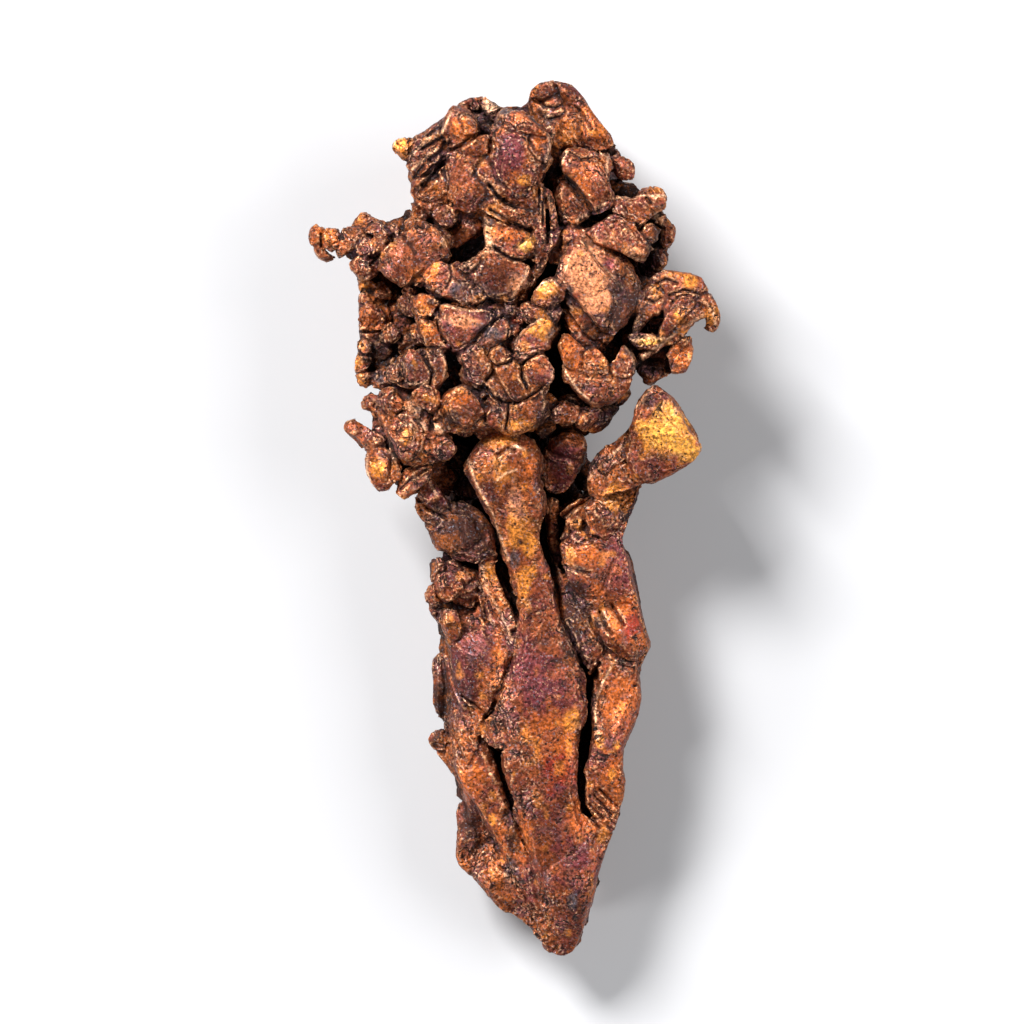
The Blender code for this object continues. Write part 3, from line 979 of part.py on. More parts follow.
def copper():
    """Weathered native copper: rust brown, half metallic and a little glossy."""
    material = bpy.data.materials.new("native_copper")
    material.use_nodes = True
    shader = material.node_tree.nodes["Principled BSDF"]
    shader.inputs["Base Color"].default_value = (0.30, 0.12, 0.055, 1.0)
    shader.inputs["Roughness"].default_value = 0.45
    shader.inputs["Metallic"].default_value = 0.4
    return material


def nugget():
    """Fuse all lumps, blades and knobs into the one body."""
    pieces = [lump(*entry[1:]) for entry in LUMPS]
    pieces += [blade(*entry[1:]) for entry in BLADES]
    pieces += [knob(*entry[1:]) for entry in BACK_KNOBS]
    for entry in STREWN:
        pieces += strewn(*entry)
    mesh = evaluated(joined(pieces), "Fuse", "REMESH", mode="VOXEL", voxel_size=VOXEL)
    mesh = keep_largest(mesh)
    mesh = evaluated(mesh, "Soften", "SMOOTH", factor=SKIN_SMOOTHING, iterations=2)
    ratio = TRIANGLES / len(mesh.polygons)
    mesh = evaluated(mesh, "Coarsen", "DECIMATE", ratio=ratio, use_collapse_triangulate=True)
    mesh = wear_and_centre(mesh)
    mesh.name = "copper_nugget"
    mesh.materials.append(copper())
    body = bpy.data.objects.new("copper_nugget", mesh)
    bpy.context.collection.objects.link(body)
    return body


clear_scene()
nugget()
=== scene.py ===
"""Native copper nugget lying on its back, richest face up, on a pale floor."""

from itertools import product

import bmesh
import bpy
import numpy as np
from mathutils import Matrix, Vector
from mathutils.bvhtree import BVHTree


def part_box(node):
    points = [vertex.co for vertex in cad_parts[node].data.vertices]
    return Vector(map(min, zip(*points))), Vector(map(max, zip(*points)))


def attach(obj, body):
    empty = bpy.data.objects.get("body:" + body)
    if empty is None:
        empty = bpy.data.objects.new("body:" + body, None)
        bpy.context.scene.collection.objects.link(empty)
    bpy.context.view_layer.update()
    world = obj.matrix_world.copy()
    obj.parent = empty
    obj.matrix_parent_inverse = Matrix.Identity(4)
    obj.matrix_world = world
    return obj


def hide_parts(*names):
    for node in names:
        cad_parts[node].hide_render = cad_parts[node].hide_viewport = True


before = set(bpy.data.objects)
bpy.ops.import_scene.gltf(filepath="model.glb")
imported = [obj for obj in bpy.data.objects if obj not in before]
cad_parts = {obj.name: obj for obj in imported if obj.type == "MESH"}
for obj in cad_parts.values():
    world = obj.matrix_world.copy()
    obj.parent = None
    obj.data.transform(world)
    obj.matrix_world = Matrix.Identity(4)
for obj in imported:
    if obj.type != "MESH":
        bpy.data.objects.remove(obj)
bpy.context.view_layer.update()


# ---------------------------------------------------------------------------
# The drawing grid. The nugget is one mass of native copper, a crown of nodules
# above a folded blade. Its lumps are placed on a grid laid over it from above:
# x right, y down from crown to tip, heights up from the floor, in equal steps.
# ---------------------------------------------------------------------------
GRID_LENGTH = 878
GRID_MIDDLE = (514.0, 521.0)
nugget_low, nugget_high = (np.array(corner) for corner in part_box("copper_nugget"))
STEP = (nugget_high[1] - nugget_low[1]) / GRID_LENGTH

LUMP_SIDES = 56
LUMP_RINGS = 16
DOME_RATIO = 0.42    # a lump's front dome against its mean radius
DOME_SHARE = 0.5     # most of a lump's depth that its front dome takes
BLADE_DOME = 0.45    # a blade's front dome against its half width
BLADE_TIP = 0.6      # how far a blade's ends reach out, in half widths
EDGE_SHARE = 0.48    # sharpens every front edge
BACK_EDGE = 0.9      # edge roundness of every lump's rear half
CORNER_SHARE = 0.8   # how far an outline goes back to straight lines
SWELL = 0.9          # growth of every outline, in grid steps
CUTS = 5             # sloping planes that chisel each lump's top
CHISEL = 1.25        # steepness of those planes
NODULE_SIDES = 24
NODULE_RINGS = 17


def to_metres(x, y, z):
    """Grid steps to metres: x right, y down the nugget, z up."""
    return np.stack([(x - GRID_MIDDLE[0]) * STEP, (GRID_MIDDLE[1] - y) * STEP, z * STEP], axis=-1)


def bent_through(before, start, end, after, t):
    """Catmull-Rom curve from start (t = 0) to end (t = 1), led by the points on either side."""
    curve = 2 * start + (end - before) * t
    curve += (2 * before - 5 * start + 4 * end - after) * t ** 2
    curve += (3 * start - before - 3 * end + after) * t ** 3
    return curve / 2


def cornered_loop(points, count):
    """The smooth loop drawn partly back to the straight lines between its points."""
    points = np.asarray(points, dtype=float)
    turns = np.arange(count) * len(points) / count
    index = turns.astype(int)
    t = (turns - index)[:, None]
    straight = points[index] * (1 - t) + points[(index + 1) % len(points)] * t
    return smooth_loop(points, count) * (1 - CORNER_SHARE) + straight * CORNER_SHARE


def chiselled(away, radius, edge, seed):
    """How far sloping planes, each past a line beside the centre, cut into a lump's top."""
    draw = np.random.default_rng(seed)
    drop = np.zeros(away.shape[:-1])
    start = draw.uniform(0, 2 * np.pi)
    for turn in range(CUTS):
        angle = start + turn * 2 * np.pi / CUTS + draw.uniform(-0.4, 0.4)
        slope = draw.uniform(0.25, 1.0) * CHISEL * edge
        reach = away @ np.array([np.cos(angle), np.sin(angle)]) - draw.uniform(0.0, 0.6) * radius
        drop = np.maximum(drop, slope * reach)
    return drop


def smooth_loop(points, count):
    """Closed Catmull-Rom curve through the points, read at count places."""
    points = np.asarray(points, dtype=float)
    turns = np.arange(count) * len(points) / count
    index = turns.astype(int)
    t = (turns - index)[:, None]
    return bent_through(*(points[(index + k) % len(points)] for k in (-1, 0, 1, 2)), t)


def skin(loops, first, last):
    """A closed skin from equal loops: quads between them, a fan at each end."""
    count, sides = loops.shape[:2]
    points = np.concatenate([loops.reshape(-1, 3), [first, last]])
    row, side = np.meshgrid(np.arange(count - 1), np.arange(sides), indexing="ij")
    across = (side + 1) % sides
    quads = np.stack([row * sides + side, (row + 1) * sides + side,
                      (row + 1) * sides + across, row * sides + across], axis=-1).reshape(-1, 4)
    side = np.arange(sides)
    across = (side + 1) % sides
    last_row = (count - 1) * sides
    top = np.stack([np.full(sides, count * sides), side, across], axis=-1)
    bottom = np.stack([np.full(sides, count * sides + 1), last_row + across, last_row + side], axis=-1)
    return points, quads.tolist() + top.tolist() + bottom.tolist()


def lump(top, depth, edge, slope, outline):
    """Pebble: outline(u) drawn in by cos(v)^edge, its front dome raised by sin(v) above the rim.

    The dome rises DOME_RATIO of the mean radius above the rim, but no more than DOME_SHARE
    of the depth; the rear half fills the rest of the depth, and the slope leans every
    height by its distance from the centre.
    """
    rim = cornered_loop(outline, LUMP_SIDES)
    centre = rim.mean(axis=0)
    radius = np.linalg.norm(rim - centre, axis=1).mean()
    rim = centre + (rim - centre) * (1 + SWELL / radius)
    dome = min(DOME_SHARE * depth, DOME_RATIO * radius)
    v = np.linspace(np.pi / 2, -np.pi / 2, 2 * LUMP_RINGS + 1)[1:-1]
    spread = np.cos(v) ** np.where(v > 0, edge * EDGE_SHARE, BACK_EDGE)
    height = top - dome + np.where(v > 0, dome, depth - dome) * np.sin(v)
    flat = centre + (rim - centre)[None] * spread[:, None, None]
    lean = (flat - centre) @ np.asarray(slope)
    cut = chiselled(flat - centre, radius, edge, int(centre.sum() * 8))
    cut *= np.where(v > 0, np.sin(v), 0)[:, None]
    loops = to_metres(flat[..., 0], flat[..., 1], height[:, None] + lean - cut)
    first = to_metres(centre[0], centre[1], float(top))
    last = to_metres(centre[0], centre[1], float(top - depth))
    return skin(loops, first, last)


def along_curve(stations, places):
    """Stations read at even places by a Catmull-Rom curve with doubled ends."""
    stations = np.asarray(stations, dtype=float)
    padded = np.concatenate([[2 * stations[0] - stations[1]], stations, [2 * stations[-1] - stations[-2]]])
    turns = np.linspace(0, len(stations) - 1, places)
    index = np.minimum(turns.astype(int), len(stations) - 2)
    t = (turns - index)[:, None]
    return bent_through(*(padded[index + k] for k in range(4)), t)


def blade(depth, edge, stations):
    """Strap: the profile (w |cos u|^edge, h sin u) carried along the stations."""
    stations = along_curve(stations, 6 * len(stations))
    path = stations[:, :2]
    along = np.gradient(path, axis=0)
    along /= np.linalg.norm(along, axis=1, keepdims=True)
    across = np.stack([-along[:, 1], along[:, 0]], axis=1)
    half, top = stations[:, 2], stations[:, 3]
    dome = np.minimum(DOME_SHARE * depth, BLADE_DOME * half)
    u = np.linspace(0, 2 * np.pi, LUMP_SIDES, endpoint=False)
    side = np.sign(np.cos(u)) * np.abs(np.cos(u)) ** (edge * EDGE_SHARE)
    flat = path[:, None] + across[:, None] * (half[:, None] * side)[..., None]
    tall = np.where(np.sin(u) > 0, dome[:, None], depth - dome[:, None])
    height = (top - dome)[:, None] + tall * np.sin(u)
    loops = to_metres(flat[..., 0], flat[..., 1], height)
    ends = []
    for row, push in ((0, -BLADE_TIP), (-1, BLADE_TIP)):
        tip = path[row] + along[row] * half[row] * push
        ends.append(to_metres(tip[0], tip[1], top[row] - dome[row]))
    return skin(loops, ends[0], ends[1])


def nodule(centre, radii, turn, waves):
    """Small pebble: an ellipsoid turned about Z, its radius times 1 + waves sin(3u + 2v)."""
    u = np.linspace(0, 2 * np.pi, NODULE_SIDES, endpoint=False)
    v = np.linspace(np.pi / 2, -np.pi / 2, NODULE_RINGS)[1:-1, None]
    size = 1 + waves * np.sin(3 * u + 2 * v + turn)
    wide = radii[0] * size * np.cos(v) * np.cos(u)
    long = radii[1] * size * np.cos(v) * np.sin(u)
    x = centre[0] + wide * np.cos(turn) - long * np.sin(turn)
    y = centre[1] + wide * np.sin(turn) + long * np.cos(turn)
    z = centre[2] + radii[2] * size * np.sin(v)
    first = to_metres(centre[0], centre[1], centre[2] + radii[2])
    last = to_metres(centre[0], centre[1], centre[2] - radii[2])
    return skin(to_metres(x, y, z), first, last)


def strewn(core, rings, sizes, stretch, seed):
    """Nodules on a core's flanks and back, evenly spaced round each ring and then shaken."""
    draw = np.random.default_rng(seed)
    name, top, depth, edge, slope, outline = core
    pieces = []
    for share, number in rings:
        rim = smooth_loop(outline, number)
        middle = rim.mean(axis=0)
        drop = (1 - share ** (2 / BACK_EDGE)) ** 0.5
        for spot in middle + (rim - middle) * share:
            size = draw.uniform(*sizes)
            shaken = spot + draw.uniform(-0.5, 0.5, 2) * size
            inward = (middle - shaken) / np.linalg.norm(middle - shaken) * size * 0.45
            low = top - depth / 2 * (1 + drop) + draw.uniform(-0.1, 0.3) * depth * (1 - drop)
            place = (*(shaken + inward), max(low, size * 0.8))
            radii = (size, size * draw.uniform(1, stretch), size * draw.uniform(0.8, 1.2))
            pieces.append(nodule(place, radii, draw.uniform(-0.5, 0.5), 0.12))
    return pieces


def lumps(entries):
    """Every lump of a list of (name, top, depth, edge, slope, outline)."""
    return [lump(*entry[1:]) for entry in entries]


def blades(entries):
    """Every blade of a list of (name, depth, edge, stations)."""
    return [blade(*entry[1:]) for entry in entries]


def knobs(entries):
    """Ellipsoids of (name, x, y, lowest point, half width, half length, height)."""
    return [nodule((x, y, low + tall / 2), (wide, long, tall / 2), 0.0, 0.05)
            for name, x, y, low, wide, long, tall in entries]


# ---------------------------------------------------------------------------
# The hidden middle of the crown and of the body: solid copper under the lumps.
# ---------------------------------------------------------------------------
CORES = [
    ("crown_core", 142, 132, 0.8, (0, 0), [(402, 238), (432, 222), (452, 170), (490, 135), (545, 112),
     (590, 140), (615, 180), (640, 230), (648, 275), (632, 318), (612, 350), (596, 388), (560, 418),
     (505, 428), (455, 424), (420, 405), (395, 365), (382, 312), (385, 268)]),
    ("body_core_top", 104, 92, 0.75, (0, 0), [(440, 480), (470, 440), (520, 425), (580, 440), (600, 480),
     (606, 530), (618, 590), (624, 650), (618, 700), (590, 740), (540, 760), (490, 740), (462, 690),
     (450, 630), (445, 580), (455, 540)]),
    ("body_core_low", 92, 84, 0.75, (0, 0), [(462, 700), (500, 690), (560, 690), (615, 700), (622, 740),
     (612, 800), (606, 840), (592, 900), (575, 945), (556, 950), (536, 925), (500, 895), (474, 860),
     (466, 810), (458, 760)]),
]
crown_core, body_core_top, body_core_low = CORES
crown = lumps([crown_core])
body = lumps([body_core_top, body_core_low])

# ---------------------------------------------------------------------------
# Head of the crown: the cap, the plum boulder, the pleated block and the ear.
# ---------------------------------------------------------------------------
crown += lumps([
    ("cap", 186, 96, 0.75, (-0.05, 0.1), [(529, 101), (531, 92), (541, 85), (554, 81), (567, 84), (579, 92),
     (587, 103), (594, 115), (604, 127), (612, 137), (616, 146), (607, 152), (592, 152), (578, 149),
     (562, 150), (549, 144), (540, 134), (530, 120)]),
    ("cap_base", 190, 90, 0.5, (-0.03, 0.06), [(531, 101), (534, 90), (545, 84), (560, 83), (572, 90),
     (582, 101), (590, 114), (599, 127), (608, 138), (608, 150), (584, 150), (566, 148), (552, 150),
     (540, 140), (532, 122)]),
    ("cap_mid", 188, 60, 0.7, (0, 0), [(540, 108), (552, 104), (562, 112), (572, 124), (578, 140),
     (570, 149), (556, 146), (546, 134), (538, 122)]),
    ("cap_lip", 190, 60, 0.8, (0, 0), [(530, 97), (533, 89), (542, 84), (553, 82), (560, 88), (552, 97),
     (541, 101), (533, 101)]),
    ("cap_brow", 190, 50, 0.7, (-0.15, 0), [(556, 84), (568, 85), (579, 93), (586, 104), (580, 116),
     (570, 112), (562, 100)]),
    ("cap_cheek", 193, 70, 0.65, (-0.1, 0.1), [(578, 112), (587, 106), (595, 117), (604, 128), (612, 138),
     (612, 147), (600, 151), (588, 148), (580, 135)]),
    ("cap_back", 166, 90, 0.7, (0, 0), [(500, 110), (512, 111), (524, 106), (534, 100), (548, 106),
     (552, 128), (540, 140), (520, 130), (505, 124)]),
    ("boulder", 234, 120, 0.7, (0, 0), [(497, 121), (506, 115), (517, 113), (527, 119), (538, 128),
     (548, 136), (550, 147), (549, 160), (543, 173), (538, 184), (538, 200), (534, 213), (524, 218),
     (510, 211), (498, 204), (488, 194), (485, 184), (487, 170), (490, 150), (492, 132)]),
    ("boulder_cap", 236, 60, 0.75, (0, 0.12), [(500, 121), (509, 115), (518, 114), (528, 121), (540, 131),
     (547, 137), (544, 140), (530, 138), (518, 134), (506, 130)]),
    ("boulder_ear", 234, 60, 0.6, (-0.1, 0), [(529, 140), (540, 137), (547, 138), (550, 148), (548, 160),
     (543, 170), (537, 164), (532, 152)]),
    ("boulder_left", 225, 96, 0.5, (0.06, -0.06), [(460, 150), (474, 142), (489, 139), (500, 150),
     (504, 170), (500, 190), (490, 203), (478, 213), (466, 214), (456, 209), (449, 199), (447, 182),
     (446, 166), (452, 155)]),
    ("boulder_join", 227, 90, 0.5, (0, 0), [(478, 160), (492, 154), (508, 156), (512, 180), (506, 198),
     (494, 202), (480, 196), (473, 178)]),
    ("spur_facet", 229, 50, 0.25, (0.1, -0.1), [(460, 152), (470, 146), (480, 139), (489, 139), (489, 153),
     (480, 158), (468, 158)]),
    ("channel_fill", 186, 80, 0.6, (0, 0), [(541, 140), (556, 138), (560, 150), (560, 170), (556, 185),
     (546, 188), (541, 170)]),
    ("saddle_plum", 202, 90, 0.4, (0, 0.1), [(553, 226), (566, 226), (580, 229), (596, 230), (607, 239),
     (604, 249), (590, 247), (578, 243), (570, 248), (560, 264), (550, 264), (548, 244)]),
    ("boulder_skirt", 224, 80, 0.45, (0, -0.1), [(478, 206), (488, 196), (500, 203), (514, 209), (528, 214),
     (536, 214), (533, 228), (524, 229), (510, 224), (496, 216), (483, 213)]),
    ("striated_block", 206, 92, 0.55, (0.12, 0), [(412, 143), (422, 134), (433, 126), (444, 119),
     (451, 123), (454, 136), (452, 152), (449, 166), (450, 181), (448, 197), (438, 203), (426, 206),
     (417, 202), (411, 194), (409, 180), (409, 166), (412, 154)]),
    ("striated_rib_1", 214, 50, 0.8, (0, 0), [(412, 158), (420, 147), (431, 137), (443, 127), (447, 131),
     (441, 142), (430, 151), (420, 159)]),
    ("striated_rib_2", 214, 50, 0.8, (0, 0), [(413, 176), (420, 165), (432, 153), (444, 141), (449, 146),
     (443, 157), (431, 168), (420, 178)]),
    ("striated_rib_3", 214, 50, 0.8, (0, 0), [(419, 199), (424, 188), (434, 176), (445, 166), (450, 172),
     (449, 185), (444, 196), (432, 203)]),
    ("ear", 200, 52, 0.85, (0, 0), [(393, 149), (396, 142), (403, 139), (411, 139), (417, 146), (418, 156),
     (409, 161), (400, 158), (395, 154)]),
    ("top_block", 222, 84, 0.45, (0, 0), [(444, 120), (453, 109), (461, 111), (470, 116), (477, 125),
     (477, 138), (469, 144), (459, 149), (449, 149), (444, 140)]),
    ("hollow_fill", 194, 60, 0.5, (0, 0), [(470, 112), (484, 114), (496, 122), (499, 140), (488, 144),
     (476, 140), (474, 126)]),
    ("top_block_face", 227, 50, 0.3, (0, 0), [(459, 122), (464, 118), (471, 121), (477, 127), (475, 135),
     (468, 139), (461, 136), (463, 129)]),
    ("top_ridge", 196, 70, 0.65, (0, 0), [(457, 107), (464, 101), (474, 98), (485, 99), (486, 107),
     (479, 112), (470, 111), (462, 110)]),
    ("head_notch", 150, 60, 0.6, (0, 0), [(428, 126), (440, 119), (452, 117), (452, 130), (442, 138),
     (430, 138)]),
    ("top_spall", 204, 76, 0.55, (0.05, 0), [(482, 103), (489, 100), (496, 104), (499, 112), (501, 120),
     (497, 125), (490, 121), (484, 113)]),
    ("head_rear", 160, 100, 0.8, (0, 0), [(450, 116), (480, 108), (510, 110), (535, 112), (540, 150),
     (520, 180), (470, 180), (448, 160)]),
    ("head_base", 206, 90, 0.5, (0, 0), [(424, 150), (450, 142), (480, 140), (496, 150), (500, 200),
     (492, 222), (455, 224), (424, 216), (414, 190)]),
])

# ---------------------------------------------------------------------------
# Right of the head: two folded slabs, ledges, beads and the smooth tongue.
# ---------------------------------------------------------------------------
crown += lumps([
    ("fold_left", 206, 90, 0.42, (0.05, 0.05), [(556, 180), (565, 178), (573, 188), (582, 203), (590, 215),
     (583, 221), (574, 228), (566, 227), (561, 219), (559, 205), (557, 192)]),
    ("fold_right", 220, 92, 0.42, (0.05, 0), [(561, 158), (568, 151), (580, 151), (592, 153), (599, 161),
     (603, 173), (608, 184), (612, 196), (611, 206), (602, 213), (593, 216), (586, 207), (578, 194),
     (569, 182), (562, 173)]),
    ("fold_rim", 210, 70, 0.7, (0, 0), [(600, 154), (607, 157), (610, 166), (609, 177), (605, 182),
     (601, 173), (598, 163)]),
    ("knob_a", 186, 60, 0.85, (0, 0), [(614, 161), (621, 156), (629, 160), (634, 167), (633, 175),
     (626, 180), (618, 178), (613, 170)]),
    ("knob_a2", 176, 60, 0.85, (0, 0), [(611, 153), (617, 153), (622, 158), (617, 165), (611, 162)]),
    ("ledge", 206, 80, 0.6, (-0.1, 0), [(612, 202), (620, 198), (630, 201), (640, 195), (650, 190),
     (660, 189), (666, 199), (664, 209), (656, 214), (648, 220), (638, 226), (628, 226), (619, 221),
     (613, 212)]),
    ("ledge_tip", 210, 50, 0.7, (0, 0), [(648, 193), (659, 189), (666, 199), (663, 209), (652, 212),
     (645, 204)]),
    ("bead_ledge", 206, 60, 0.9, (0, 0), [(641, 235), (645, 227), (652, 226), (657, 233), (656, 241),
     (648, 244)]),
    ("knob_b", 172, 56, 0.8, (0, 0), [(663, 223), (669, 219), (675, 226), (676, 235), (672, 243),
     (665, 248), (660, 242), (661, 232)]),
    ("knob_b2", 186, 40, 0.9, (0, 0), [(655, 216), (662, 214), (667, 220), (662, 226), (655, 224)]),
    ("edge_fill", 160, 70, 0.6, (0, 0), [(640, 206), (660, 208), (667, 222), (666, 240), (662, 258),
     (660, 274), (648, 276), (638, 262)]),
    ("knob_c", 166, 56, 0.85, (0, 0), [(650, 250), (659, 247), (666, 253), (667, 263), (661, 271),
     (652, 268)]),
    ("ledge_low", 213, 90, 0.35, (0, 0.05), [(588, 234), (600, 223), (612, 218), (622, 221), (634, 229),
     (643, 239), (648, 252), (643, 263), (634, 260), (622, 253), (608, 249), (597, 245)]),
    ("recess_brown", 178, 80, 0.6, (0, 0), [(580, 228), (595, 219), (610, 212), (618, 222), (600, 234),
     (585, 240)]),
    ("dark_hollow_floor", 150, 80, 0.8, (0, 0), [(605, 182), (618, 178), (635, 185), (642, 195), (630, 205),
     (612, 202)]),
    ("tongue_face", 214, 110, 0.2, (-0.06, -0.05), [(573, 243), (580, 242), (590, 253), (600, 267),
     (611, 278), (622, 290), (621, 306), (615, 322), (608, 334), (599, 329), (588, 315), (577, 302),
     (563, 288), (556, 275), (563, 258)]),
    ("tongue_flank", 208, 100, 0.3, (-0.5, 0.3), [(581, 240), (594, 243), (610, 250), (625, 262),
     (637, 276), (642, 290), (637, 306), (627, 320), (614, 335), (608, 334), (612, 322), (618, 306),
     (617, 296), (609, 281), (600, 268), (590, 254)]),
    ("tongue_chin", 190, 100, 0.5, (-0.1, 0.2), [(590, 310), (602, 303), (612, 308), (617, 322), (613, 338),
     (606, 345), (598, 336)]),
    ("strip_base", 186, 70, 0.6, (0, 0), [(556, 288), (570, 294), (588, 312), (602, 335), (606, 350),
     (590, 350), (572, 336), (560, 318)]),
    ("gap_dark", 174, 60, 0.7, (0, 0), [(549, 288), (560, 290), (566, 305), (564, 330), (556, 345),
     (549, 330), (546, 305)]),
    ("tongue_rear", 160, 90, 0.8, (0, 0), [(600, 300), (625, 290), (642, 285), (645, 310), (630, 330),
     (606, 335)]),
])
crown += blades([
    ("tongue_band", 70, 0.65, [(564, 286, 5, 202), (572, 303, 6, 200), (584, 322, 7, 196),
     (596, 338, 7, 190)]),
    ("tongue_band_2", 70, 0.65, [(566, 308, 5, 192), (573, 322, 7, 190), (584, 336, 9, 188),
     (600, 345, 8, 184)]),
    ("violet_web", 80, 0.7, [(548, 130, 8, 190), (553, 145, 8, 186), (552, 160, 7, 180),
     (549, 175, 6, 176)]),
    ("rib_dark", 80, 0.7, [(545, 176, 5, 180), (549, 190, 5, 180), (554, 208, 5, 178), (558, 226, 5, 178)]),
])

# ---------------------------------------------------------------------------
# Middle of the crown: thin plates and shelves around a deep cave, and the
# curtain of upright ribs beside them.
# ---------------------------------------------------------------------------
crown += lumps([
    ("cheek_top", 204, 80, 0.75, (0, 0), [(405, 227), (411, 220), (420, 220), (429, 226), (432, 236),
     (426, 244), (415, 246), (406, 238)]),
    ("cheek_dark", 200, 80, 0.7, (0, 0), [(427, 227), (440, 229), (450, 236), (452, 246), (444, 253),
     (435, 248), (428, 240)]),
    ("cheek_bridge", 202, 80, 0.7, (0, 0.1), [(416, 248), (429, 244), (442, 249), (452, 256), (445, 262),
     (432, 264), (420, 263)]),
    ("cheek_big", 208, 96, 0.4, (0, 0), [(386, 252), (393, 244), (402, 239), (412, 242), (420, 248),
     (424, 259), (416, 270), (411, 283), (402, 285), (393, 281), (385, 276), (381, 266)]),
    ("cheek_knot", 200, 70, 0.9, (0, 0), [(414, 270), (420, 266), (426, 272), (425, 282), (418, 285),
     (412, 279)]),
    ("pebble_neck", 208, 80, 0.75, (0, 0), [(433, 217), (440, 208), (449, 205), (456, 211), (457, 221),
     (450, 228), (440, 226)]),
    ("slab_dark", 196, 70, 0.6, (0.3, -0.1), [(462, 216), (474, 212), (483, 215), (484, 224), (476, 235),
     (466, 242), (457, 248), (451, 243), (454, 232), (458, 223)]),
    ("block_under", 192, 80, 0.7, (0, 0), [(412, 205), (425, 206), (436, 207), (433, 217), (424, 221),
     (413, 216)]),
    ("flag", 214, 60, 0.4, (0, 0.05), [(484, 217), (491, 213), (501, 218), (509, 225), (521, 229),
     (534, 235), (537, 248), (533, 258), (522, 262), (510, 259), (502, 252), (494, 249), (487, 256),
     (485, 240)]),
    ("flag_gold", 219, 20, 0.2, (0, 0), [(516, 250), (524, 244), (531, 239), (534, 246), (533, 253),
     (525, 255), (518, 254)]),
    ("shelf", 216, 90, 0.25, (0.05, -0.08), [(460, 270), (468, 261), (480, 256), (488, 251), (497, 252),
     (508, 259), (520, 264), (529, 268), (527, 280), (519, 292), (512, 302), (500, 303), (489, 300),
     (478, 292), (468, 282)]),
    ("shelf_rim", 220, 50, 0.6, (0, 0), [(459, 269), (466, 262), (478, 258), (480, 263), (474, 272),
     (467, 273)]),
    ("shelf_left", 214, 90, 0.3, (0, -0.08), [(426, 276), (431, 265), (438, 262), (449, 267), (460, 272),
     (470, 281), (480, 289), (490, 298), (484, 306), (474, 308), (462, 306), (450, 300), (438, 297),
     (428, 291)]),
    ("shelf_bead", 212, 50, 0.85, (0, 0), [(474, 290), (480, 285), (488, 291), (489, 299), (481, 303),
     (474, 298)]),
    ("corner", 210, 80, 0.4, (0, 0), [(412, 301), (421, 295), (432, 298), (440, 303), (438, 312),
     (434, 317), (426, 318), (417, 316), (413, 309)]),
    ("plate", 216, 70, 0.28, (0, 0.05), [(440, 306), (448, 305), (464, 310), (482, 311), (495, 313),
     (490, 323), (479, 332), (471, 342), (464, 350), (456, 350), (445, 340), (438, 329), (436, 316)]),
    ("plate_left", 207, 80, 0.4, (0.1, 0), [(418, 320), (428, 317), (436, 320), (438, 332), (447, 344),
     (450, 351), (439, 350), (428, 342), (420, 332)]),
    ("wedge_grey", 208, 70, 0.35, (0, 0), [(473, 345), (482, 335), (495, 324), (505, 319), (509, 329),
     (507, 340), (498, 345), (487, 348), (478, 348)]),
    ("grey_seam", 196, 70, 0.7, (0, 0), [(488, 300), (498, 299), (508, 303), (505, 312), (495, 312),
     (484, 310)]),
    ("grey_nut", 202, 60, 0.8, (0, 0), [(501, 304), (508, 300), (516, 305), (517, 315), (509, 319),
     (502, 313)]),
    ("ruby_nut", 198, 50, 0.85, (0, 0), [(508, 318), (517, 314), (526, 318), (524, 327), (514, 328)]),
    ("dark_tuck", 200, 60, 0.5, (0, 0), [(508, 328), (517, 327), (523, 333), (514, 345), (506, 345)]),
    ("plates_base", 205, 80, 0.5, (0, 0), [(418, 304), (450, 298), (478, 302), (500, 302), (530, 300),
     (555, 302), (560, 320), (550, 344), (526, 356), (505, 350), (480, 353), (456, 353), (430, 345),
     (418, 325)]),
    ("yellow_upper", 216, 80, 0.65, (0, 0), [(531, 301), (536, 291), (544, 282), (555, 281), (564, 291),
     (563, 300), (554, 306), (542, 307)]),
    ("yellow_mid", 206, 70, 0.7, (0, 0), [(519, 308), (530, 303), (543, 308), (550, 314), (545, 321),
     (532, 322), (522, 318)]),
    ("yellow_edge", 206, 50, 0.75, (0, 0), [(550, 309), (557, 305), (561, 312), (558, 321), (552, 326),
     (548, 318)]),
    ("yellow_low", 215, 80, 0.4, (0, 0.1), [(514, 346), (521, 334), (531, 326), (541, 319), (552, 323),
     (555, 334), (548, 346), (539, 353), (526, 359), (515, 356)]),
])
crown += blades([
    ("rib_a", 70, 0.7, [(540, 186, 4, 222), (539, 205, 4, 218), (541, 225, 4, 216), (543, 245, 4, 212),
     (536, 265, 4, 206)]),
    ("rib_b", 70, 0.7, [(546, 192, 3, 218), (551, 210, 4, 216), (554, 228, 4, 214), (551, 244, 4, 210),
     (543, 258, 4, 206), (535, 275, 4, 202), (526, 292, 4, 196), (520, 303, 3, 190)]),
    ("rib_c", 70, 0.7, [(533, 214, 3, 214), (534, 230, 3, 214), (538, 248, 4, 212), (533, 262, 4, 206)]),
])

